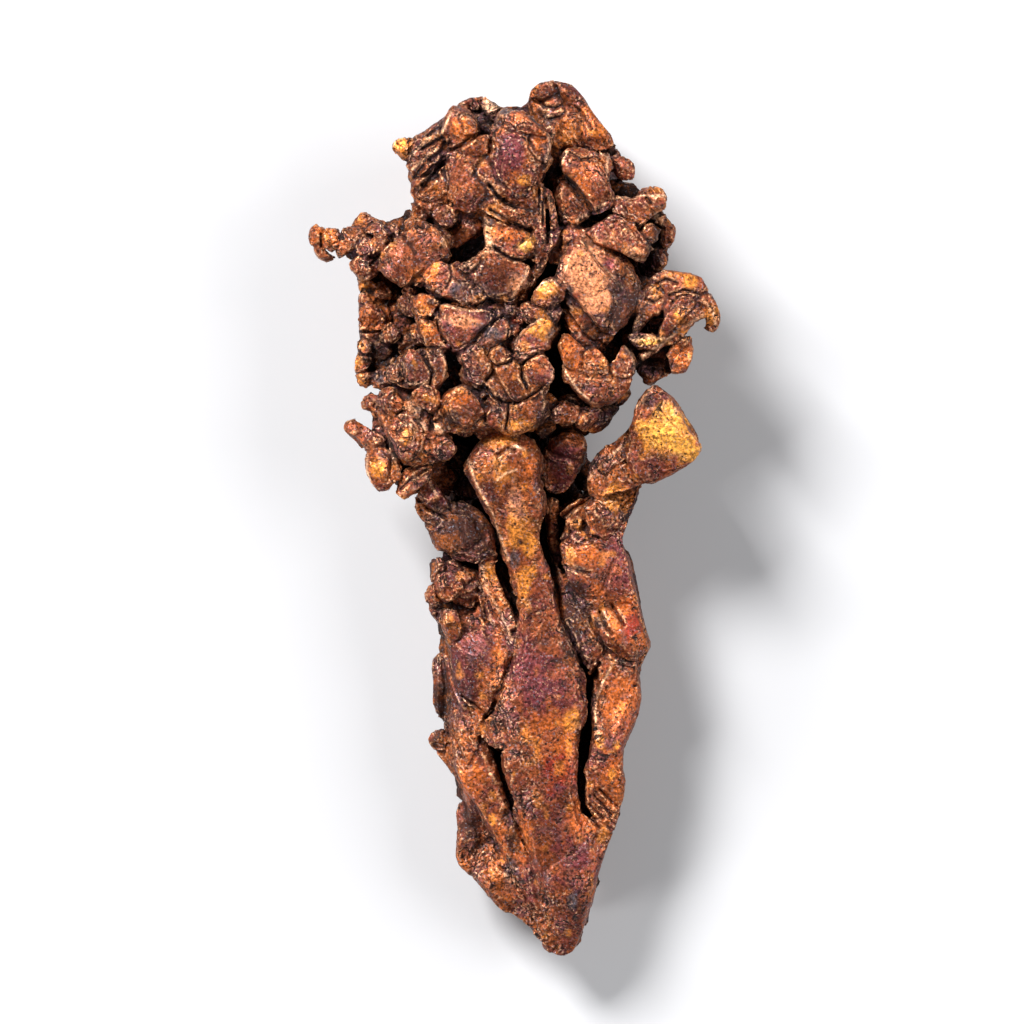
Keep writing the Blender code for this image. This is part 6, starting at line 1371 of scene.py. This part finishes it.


# Painted highlights along edges, partly edges worn to bright metal: half width and path
GLEAMS = [
    (1.3, [(486, 224), (487, 240), (486, 256), (495, 251)]), (1.0, [(486, 219), (492, 214), (500, 219)]),
    (1.3, [(528, 268), (525, 280), (516, 292), (512, 300)]), (1.2, [(462, 270), (472, 261), (480, 257)]),
    (1.0, [(442, 306), (456, 309), (470, 313), (486, 312)]), (1.1, [(536, 291), (545, 283), (556, 282)]),
    (1.1, [(514, 345), (521, 334), (531, 326), (541, 320)]), (1.1, [(516, 355), (527, 359), (539, 353)]),
    (1.0, [(463, 348), (478, 346)]), (1.0, [(548, 360), (553, 371), (550, 384)]),
    (1.2, [(541, 390), (545, 402), (542, 416)]), (1.2, [(408, 384), (421, 385), (430, 383)]),
    (1.0, [(404, 364), (404, 376)]), (1.0, [(440, 351), (447, 366), (445, 378)]),
    (3.2, [(411, 403), (416, 408)]), (3.0, [(418, 409), (424, 412)]), (3.0, [(436, 427), (442, 432)]),
    (1.4, [(415, 413), (419, 422), (426, 430)]), (1.0, [(404, 426), (412, 425), (416, 432), (413, 446)]),
    (1.0, [(581, 243), (590, 253), (600, 267), (611, 278), (621, 290)]), (1.1, [(603, 320), (613, 331)]),
    (1.1, [(597, 154), (607, 160), (606, 176)]), (1.2, [(576, 223), (590, 215), (604, 206)]),
    (1.2, [(566, 155), (560, 168)]), (1.0, [(547, 138), (550, 150), (546, 165)]),
    (1.2, [(394, 148), (398, 141), (404, 139)]), (1.0, [(412, 158), (431, 140)]),
    (1.0, [(413, 172), (436, 152)]), (1.0, [(418, 190), (440, 168)]), (1.0, [(440, 142), (452, 116)]),
    (0.8, [(459, 122), (464, 118), (471, 121)]), (1.8, [(486, 104), (494, 102), (499, 112)]),
    (1.4, [(703, 303), (712, 312), (714, 325)]), (1.3, [(640, 359), (660, 346), (680, 330), (703, 316)]),
    (1.6, [(632, 342), (645, 339), (662, 340)]), (1.2, [(654, 215), (663, 226)]),
    (1.1, [(466, 455), (478, 487), (493, 515), (503, 545), (508, 560)]),
    (1.2, [(636, 408), (643, 397), (653, 387)]), (1.2, [(481, 565), (487, 590), (500, 612), (512, 640)]),
    (1.6, [(492, 551), (497, 556)]), (1.1, [(613, 664), (599, 690), (595, 712), (598, 740)]),
    (1.0, [(588, 480), (604, 462), (622, 446)]), (1.2, [(628, 258), (638, 262), (645, 262)]),
    (1.0, [(612, 201), (640, 198), (664, 199)]), (1.0, [(497, 480), (505, 474), (516, 470)]),
    (1.3, [(505, 452), (516, 446), (524, 450)]), (1.1, [(559, 362), (566, 375), (577, 391), (590, 403)]),
    (1.0, [(624, 347), (631, 356), (634, 370)]), (1.2, [(426, 476), (437, 496)]),
    (1.0, [(368, 455), (367, 470), (372, 484)]), (1.2, [(388, 450), (395, 458), (398, 470)]),
    (1.0, [(449, 398), (456, 391), (464, 389)]),
]


def mixed(tint, other, share):
    """Each tint moved towards the other colour by its share."""
    return tint + (np.asarray(other) - tint) * share[:, None]


def hollow_depth(points, sign, radius):
    """How far each point lies below its surroundings, seen along Z from the given side.

    The highest point of every square of a coarse grid is blurred over the
    radius, and the point's own height is taken from it, in grid steps.
    """
    x, y = grid_place(points)
    column = ((x - x.min()) / BLUR_CELL).astype(int) + 2
    row = ((y - y.min()) / BLUR_CELL).astype(int) + 2
    height = points[:, 2] / STEP * sign
    sheet = np.full((row.max() + 3, column.max() + 3), EMPTY)
    np.maximum.at(sheet, (row, column), height)
    known = sheet > EMPTY + 1
    total = np.where(known, sheet, 0.0)
    weight = known.astype(float)
    for _ in range(int((radius / BLUR_CELL) ** 2)):
        for axis in (0, 1):
            total = (np.roll(total, 1, axis) + 2 * total + np.roll(total, -1, axis)) / 4
            weight = (np.roll(weight, 1, axis) + 2 * weight + np.roll(weight, -1, axis)) / 4
    level = total / np.maximum(weight, 1e-6)
    return level[row, column] - height


def bulge(piece, rounds):
    """How far each vertex stands out of its smoothed surroundings, in grid steps."""
    points = read(piece.data.vertices, "co", 3).astype(float)
    normals = read(piece.data.vertices, "normal", 3)
    links = linked(piece.data)
    soft = points.copy()
    for _ in range(rounds):
        soft = 0.4 * soft + 0.6 * near_mean(links, soft)
    return np.einsum("ij,ij->i", points - soft, normals) / STEP


def bloomed(tint, x, y, ragged, front):
    """Lay the patches of BLOOM over the tint, and give back how far the last of them, the painted shade,
    reaches.
    """
    for colour, strength, spots in BLOOM:
        share = np.zeros(len(x))
        for spot_x, spot_y, wide, tall in spots:
            away = np.hypot((x - spot_x) / wide, (y - spot_y) / tall) * ragged
            share = np.maximum(share, 1 - step_up(0.55, 1.25, away))
        tint = mixed(tint, colour, share * strength * front)
    return tint, share


def tinted(piece, seed, seam):
    """Write the tint, edge highlight and wear, shade and crack, and calm attributes of one half; seam is
    how dark its seams are.
    """
    mesh = piece.data
    points = read(mesh.vertices, "co", 3).astype(float)
    normals = read(mesh.vertices, "normal", 3)
    x, y = grid_place(points)
    front = step_up(-0.15, 0.25, normals[:, 2])
    broad = wobble(points, 44 * STEP, seed)
    middle = wobble(points, 17 * STEP, seed + 1)
    fine = wobble(points, 7 * STEP, seed + 2)
    tint = np.tile(BROWN, (len(points), 1))
    tone = read(mesh.attributes["tone"].data, "value", 1)[:, 0]
    reach = read(mesh.attributes["reach"].data, "value", 1)[:, 0]
    tint = mixed(tint, UMBER, step_up(0.05, 0.7, broad * 0.5 + middle * 0.5 + 0.7 * tone - 0.35) * 0.6)
    tint = mixed(tint, ORANGE, step_up(0.2, 0.8, 0.6 * middle - 0.4 * broad - 0.9 * tone + 0.4) * 0.5)
    plum = wobble(points, 30 * STEP, seed + 3) + 0.5 * np.sin(40 * tone)
    tint = mixed(tint, PLUM, step_up(0.0, 0.6, plum) * 0.35)
    ragged = 1 + 0.45 * middle + 0.45 * fine
    # The last bloom list is painted shade: it darkens the tint and holds back the ochre below
    tint, painted_shade = bloomed(tint, x, y, ragged, front)
    tint *= (1 + 0.3 * fine + 0.15 * wobble(points, 3.5 * STEP, seed + 5))[:, None]
    # Painted highlights along the listed edges, partly worn bright metal
    bright = np.zeros(len(points))
    for half, path in GLEAMS:
        bright = np.maximum(bright, np.exp(-(stroke_distance(x, y, path) / half) ** 2))
    tint = mixed(tint, GLEAM, bright * front * (0.75 + 0.45 * fine))
    spots = wobble(points, 11 * STEP, seed + 4)
    tint = mixed(tint, OCHRE, step_up(0.45, 0.8, spots) * 0.45 * (1 - painted_shade))
    tint = mixed(tint, CHARCOAL, step_up(0.5, 0.85, -spots) * 0.4)
    # Lighter ochre on bulges: painted highlight where raised parts catch light, partly worn
    stand = bulge(piece, 12)
    tint = mixed(tint, OCHRE, step_up(0.8, 2.6, stand) * 0.4 * (1 - painted_shade))
    # Painted shade: darker where a point lies below its surroundings, seen from its own side, and in
    # creases
    rear = hollow_depth(points, -1, HOLLOW_RADIUS)
    deep = hollow_depth(points, 1, HOLLOW_RADIUS)
    sunk = np.where(normals[:, 2] > 0, step_up(6, 34, deep), step_up(6, 34, rear))
    crease = step_up(0.3, 2.4, -stand)
    line = (1 - step_up(0.4, 2.0, reach)) * step_up(-0.5, 0.4, fine + middle)
    line = np.maximum(line, step_up(1.2, 4.5, strokes(x, y, 3.0)) * (normals[:, 2] > 0) / max(seam, 0.7))
    line = np.minimum(seam * line, 0.95)
    # Painted shade in sunk places, creases and shaded flanks, with the black cracks, all mixed towards
    # black
    dark = 1 - (1 - 0.93 * sunk) * (1 - 0.75 * crease) * (1 - line) * (1 - 0.4 * painted_shade)
    tint = mixed(tint * PATINA_DEPTH, SHADE_AND_CRACK_BLACK, dark)
    layer = mesh.color_attributes.new("tint", "FLOAT_COLOR", "POINT")
    layer.data.foreach_set("color", np.concatenate([tint, np.ones((len(tint), 1))], axis=1).ravel())
    # Painted highlight on sharp crests, partly worn metal
    crest = step_up(0.22, 0.8, bulge(piece, 3)) * (1 - dark)
    calm = rubbed(x, y) * step_up(0.1, 0.5, normals[:, 2])
    stored(mesh, {"wear_and_edge_highlight": crest, "hollow": dark, "calm": calm})


class Patina:
    """A material's node tree, with short calls for the nodes that it needs."""

    def __init__(self, name):
        """A new material with its shader."""
        self.material = bpy.data.materials.new(name)
        self.material.use_nodes = True
        self.tree = self.material.node_tree
        self.shader = self.tree.nodes["Principled BSDF"]

    def node(self, kind, **settings):
        """A new node with its settings."""
        made = self.tree.nodes.new(kind)
        for setting, value in settings.items():
            setattr(made, setting, value)
        return made

    def join(self, output, target):
        """Link an output to an input, or set the input to a plain number."""
        if isinstance(output, (int, float, tuple)):
            target.default_value = output
        else:
            self.tree.links.new(output, target)

    def maths(self, operation, first, second=0.0, clamp=False):
        """Output of a Math node."""
        made = self.node("ShaderNodeMath", operation=operation, use_clamp=clamp)
        self.join(first, made.inputs[0])
        self.join(second, made.inputs[1])
        return made.outputs[0]

    def times(self, *values):
        """Product of two or more values."""
        total = values[0]
        for value in values[1:]:
            total = self.maths("MULTIPLY", total, value)
        return total

    def ramp(self, value, low, high, start=0.0, end=1.0):
        """Output of a smooth step from start at low to end at high."""
        made = self.node("ShaderNodeMapRange", interpolation_type="SMOOTHSTEP")
        for socket, setting in zip(made.inputs[:5], (value, low, high, start, end)):
            self.join(setting, socket)
        return made.outputs[0]

    def blend(self, share, first, second, kind="MIX"):
        """Output of a colour mix."""
        made = self.node("ShaderNodeMix", data_type="RGBA", blend_type=kind)
        self.join(share, made.inputs["Factor"])
        self.join(first, made.inputs["A"])
        self.join(second, made.inputs["B"])
        return made.outputs["Result"]

    def noise(self, place, grains, detail=3.0, rough=0.6, offset=0.0):
        """Output of a Noise texture whose grains are the given number per metre."""
        made = self.node("ShaderNodeTexNoise")
        moved = self.node("ShaderNodeVectorMath", operation="ADD")
        self.join(place, moved.inputs[0])
        moved.inputs[1].default_value = (offset, offset, offset)
        self.join(moved.outputs[0], made.inputs["Vector"])
        made.inputs["Scale"].default_value = grains
        made.inputs["Detail"].default_value = detail
        made.inputs["Roughness"].default_value = rough
        return made.outputs["Fac"]

    def colours(self, place, grains):
        """Three Noise values centred on zero, to shift a place by."""
        made = self.node("ShaderNodeTexNoise")
        self.join(place, made.inputs["Vector"])
        made.inputs["Scale"].default_value = grains
        middle = self.node("ShaderNodeVectorMath", operation="SUBTRACT")
        self.join(made.outputs["Color"], middle.inputs[0])
        middle.inputs[1].default_value = (0.5, 0.5, 0.5)
        return middle.outputs[0]

    def stretched(self, place, share, turn):
        """The place turned about Z and then scaled along each axis."""
        made = self.node("ShaderNodeMapping", vector_type="TEXTURE")
        self.join(place, made.inputs["Vector"])
        made.inputs["Rotation"].default_value = (0.0, 0.0, turn)
        made.inputs["Scale"].default_value = tuple(1 / value for value in share)
        return made.outputs[0]

    def cells(self, place, grains, output="Distance"):
        """Output of a Voronoi texture."""
        made = self.node("ShaderNodeTexVoronoi")
        self.join(place, made.inputs["Vector"])
        made.inputs["Scale"].default_value = grains
        return made.outputs[output]


patina = Patina("native_copper")
place = patina.node("ShaderNodeTexCoord").outputs["Object"]
tint = patina.node("ShaderNodeAttribute", attribute_name="tint").outputs["Color"]
wear_and_edge_highlight = patina.node("ShaderNodeAttribute", attribute_name="wear_and_edge_highlight").outputs["Fac"]
hollow = patina.node("ShaderNodeAttribute", attribute_name="hollow").outputs["Fac"]
calm = patina.node("ShaderNodeAttribute", attribute_name="calm").outputs["Fac"]
busy = patina.ramp(calm, 0.0, 1.0, 1.0, 0.6)

warp = patina.node("ShaderNodeVectorMath", operation="MULTIPLY_ADD")
patina.join(patina.colours(place, 500.0), warp.inputs[0])
warp.inputs[1].default_value = (0.0012, 0.0012, 0.0012)
patina.join(place, warp.inputs[2])
bent = warp.outputs[0]
grit = patina.noise(place, 2600.0, 3.0, 0.6)
streak = patina.noise(patina.stretched(bent, (1.0, 0.3, 0.6), 0.7), 1800.0, 3.0, 0.6, 3.1)
cloud = patina.noise(bent, 230.0, 5.0, 0.7, 7.7)
drift = patina.noise(bent, 300.0, 5.0, 0.7, 15.2)
speck = patina.noise(place, 3400.0, 2.0, 0.5, 5.3)
glint = patina.noise(place, 3000.0, 2.0, 0.5, 9.9)
split = patina.noise(bent, 380.0, 2.0, 0.5, 21.0)
split = patina.maths("ABSOLUTE", patina.maths("SUBTRACT", split, 0.5))
split = patina.times(patina.ramp(split, 0.008, 0.024, 1.0, 0.0), patina.ramp(drift, 0.52, 0.57), busy)
pore = patina.ramp(patina.cells(bent, 1500.0), 0.14, 0.30, 1.0, 0.0)
pore = patina.times(pore, patina.ramp(drift, 0.38, 0.50, 0.25, 1.0))
pit_cells = patina.cells(bent, 900.0)
pit = patina.times(patina.ramp(pit_cells, 0.12, 0.26, 1.0, 0.0), patina.ramp(cloud, 0.52, 0.60))
reach = patina.node("ShaderNodeAttribute", attribute_name="reach").outputs["Fac"]
leaf = patina.noise(bent, 520.0, 3.0, 0.6, 27.0)
leaf = patina.maths("ADD", patina.times(reach, 1.3), patina.times(leaf, 20.0))
leaf = patina.maths("SINE", leaf)
leafy = patina.times(patina.ramp(drift, 0.47, 0.56), patina.ramp(reach, 14.0, 8.0), busy)
# Painted shade in the grooves of the fine folds and painted glints on their ridges
leaf_groove_shade = patina.times(patina.ramp(leaf, -0.35, -0.95), leafy)
leaf_glint = patina.times(patina.ramp(leaf, 0.55, 0.98), leafy, patina.ramp(glint, 0.44, 0.58))
open_face = patina.ramp(hollow, 0.15, 0.7, 1.0, 0.0)
# Bright specks, partly painted glints
fleck_and_glint = patina.times(patina.ramp(glint, 0.61, 0.67), patina.ramp(drift, 0.42, 0.60, 0.1, 1.0))
fleck_and_glint = patina.times(fleck_and_glint, open_face, busy)
smut = patina.times(patina.ramp(speck, 0.44, 0.38), patina.ramp(cloud, 0.40, 0.6, 0.3, 1.0))

RUST = (0.42, 0.105, 0.014)
WINE = (0.125, 0.045, 0.062)
STREAK = (0.060, 0.019, 0.012)
# Colour of the painted highlight on crests, partly bare worn metal
BARE_EDGE_AND_HIGHLIGHT = (0.80, 0.42, 0.22)
# Colour of the bright specks, partly painted glints
FLECK_AND_GLINT = (0.80, 0.44, 0.24)
# Colour of the painted glints on fold ridges
LEAF_GLINT_COLOUR = (0.80, 0.52, 0.36)
SLATE = (0.17, 0.18, 0.22)
SMUT = (0.022, 0.010, 0.008)
# Colour of the painted shade in fold grooves
LEAF_GROOVE_SHADE = (0.020, 0.009, 0.007)
PINHOLE = (0.010, 0.007, 0.006)

# Broad stains over the tint, then the marks on the grain, among them painted highlights, glints and painted
# shade in fold grooves: share and colour
STAINS = (
    (patina.times(patina.ramp(cloud, 0.50, 0.60, 0.0, 0.45), busy), RUST),
    (patina.times(patina.ramp(drift, 0.51, 0.62, 0.0, 0.45), busy), WINE),
    (patina.times(patina.ramp(streak, 0.46, 0.36, 0.0, 0.5), busy), STREAK),
)
pinholes = patina.maths("MAXIMUM", patina.maths("MAXIMUM", pit, pore), split)
MARKS = (
    # Painted highlight on crests, partly bare worn edges
    (patina.times(wear_and_edge_highlight, patina.ramp(glint, 0.40, 0.60, 0.1, 0.8)), BARE_EDGE_AND_HIGHLIGHT),
    (patina.times(fleck_and_glint, 0.6), FLECK_AND_GLINT),
    (patina.times(patina.ramp(speck, 0.61, 0.67), 0.45), SLATE),
    (patina.times(smut, 0.7), SMUT),
    # Painted glints on the fold ridges, then painted shade in their grooves
    (patina.times(leaf_glint, open_face, 0.4), LEAF_GLINT_COLOUR),
    (patina.times(leaf_groove_shade, 0.8), LEAF_GROOVE_SHADE),
    (patina.times(pinholes, 0.9), PINHOLE),
)
colour = tint
for share, stain in STAINS:
    colour = patina.blend(share, colour, (*stain, 1.0))
grain = patina.node("ShaderNodeVectorMath", operation="SCALE")
patina.join(colour, grain.inputs[0])
patina.join(patina.ramp(grit, 0.35, 0.65, 0.6, 1.45), grain.inputs["Scale"])
colour = grain.outputs[0]
for share, mark in MARKS:
    colour = patina.blend(share, colour, (*mark, 1.0))
patina.join(colour, patina.shader.inputs["Base Color"])

rough = patina.ramp(grit, 0.35, 0.65, 0.32, 0.52)
rough = patina.maths("ADD", rough, patina.times(hollow, 0.35), clamp=True)
patina.join(rough, patina.shader.inputs["Roughness"])
patina.shader.inputs["Metallic"].default_value = 0.6
patina.shader.inputs["Specular IOR Level"].default_value = 0.25

RELIEF_DEPTH = 0.00027
relief = patina.times(grit, 0.35)
relief = patina.maths("ADD", relief, patina.times(streak, 0.5))
relief = patina.maths("ADD", relief, patina.times(patina.cells(bent, 1100.0), 0.30))
relief = patina.maths("SUBTRACT", relief, patina.times(pit, 0.35))
relief = patina.maths("SUBTRACT", relief, patina.times(split, 0.60))
relief = patina.maths("ADD", relief, patina.times(leaf, leafy, 0.16))
bump = patina.node("ShaderNodeBump")
bump.inputs["Strength"].default_value = 1.0
bump.inputs["Distance"].default_value = RELIEF_DEPTH
relief = patina.times(relief, patina.ramp(calm, 0.0, 1.0, 1.0, 0.7))
patina.join(relief, bump.inputs["Height"])
patina.join(bump.outputs[0], patina.shader.inputs["Normal"])

for piece, seed, seam in ((crown_piece, 300, 0.8), (body_piece, 400, 0.2)):
    tinted(piece, seed, seam)
    piece.data.materials.clear()
    piece.data.materials.append(patina.material)
    piece.data.shade_smooth()
    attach(piece, "root")
    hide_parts("copper_nugget")


# ---------------------------------------------------------------------------
# Floor: a plain pale studio table top, wide enough to fill any view.
# ---------------------------------------------------------------------------
FLOOR_HALF = 1.5
floor_mesh = bpy.data.meshes.new("floor")
FLOOR_CORNERS = ((-1, -1), (1, -1), (1, 1), (-1, 1))
floor_mesh.from_pydata([(x * FLOOR_HALF, y * FLOOR_HALF, 0) for x, y in FLOOR_CORNERS], [],
                       [(0, 1, 2, 3)])
floor = bpy.data.objects.new("floor", floor_mesh)
bpy.context.collection.objects.link(floor)
floor_paint = bpy.data.materials.new("pale_floor")
floor_paint.use_nodes = True
floor_shader = floor_paint.node_tree.nodes["Principled BSDF"]
floor_shader.inputs["Base Color"].default_value = (0.44, 0.44, 0.45, 1.0)
floor_shader.inputs["Roughness"].default_value = 0.7
floor_mesh.materials.append(floor_paint)


# ---------------------------------------------------------------------------
# Soft studio light: the key from beyond the crown on the left, a wide fill
# from the right and a low lamp on the left that picks out the rims.
# ---------------------------------------------------------------------------
def lamp(name, place, size, power, colour=(1.0, 1.0, 1.0)):
    """Square area lamp that faces the nugget."""
    light = bpy.data.lights.new(name, "AREA")
    light.size = size
    light.energy = power
    light.color = colour
    made = bpy.data.objects.new(name, light)
    made.location = place
    made.rotation_euler = (Vector((0, 0, 0.01)) - Vector(place)).to_track_quat("-Z", "Y").to_euler()
    bpy.context.collection.objects.link(made)


lamp("key", (-0.52, 0.68, 0.88), 0.36, 31.0)
lamp("fill", (0.90, 0.10, 0.80), 0.80, 14.0)
lamp("rim", (-0.80, -0.50, 0.44), 0.26, 6.0)

world = bpy.data.worlds.new("studio")
world.use_nodes = True
world.node_tree.nodes["Background"].inputs["Color"].default_value = (0.9, 0.93, 1.0, 1.0)
world.node_tree.nodes["Background"].inputs["Strength"].default_value = 0.18
bpy.context.scene.world = world
bpy.context.scene.view_settings.view_transform = "Standard"


# ---------------------------------------------------------------------------
# Camera: straight above, the crown at the top of the view, through a long lens.
# ---------------------------------------------------------------------------
VIEW_SIDE = 1024
LENS = 250.0
SENSOR = 36.0
VIEW_HEIGHT = 0.018
camera_data = bpy.data.cameras.new("camera")
camera_data.lens = LENS
camera_data.sensor_width = SENSOR
camera = bpy.data.objects.new("camera", camera_data)
view_x = (VIEW_SIDE / 2 - GRID_MIDDLE[0]) * STEP
view_y = (GRID_MIDDLE[1] - VIEW_SIDE / 2) * STEP
camera.location = (view_x, view_y, VIEW_HEIGHT + VIEW_SIDE * STEP * LENS / SENSOR)
bpy.context.collection.objects.link(camera)
bpy.context.scene.camera = camera
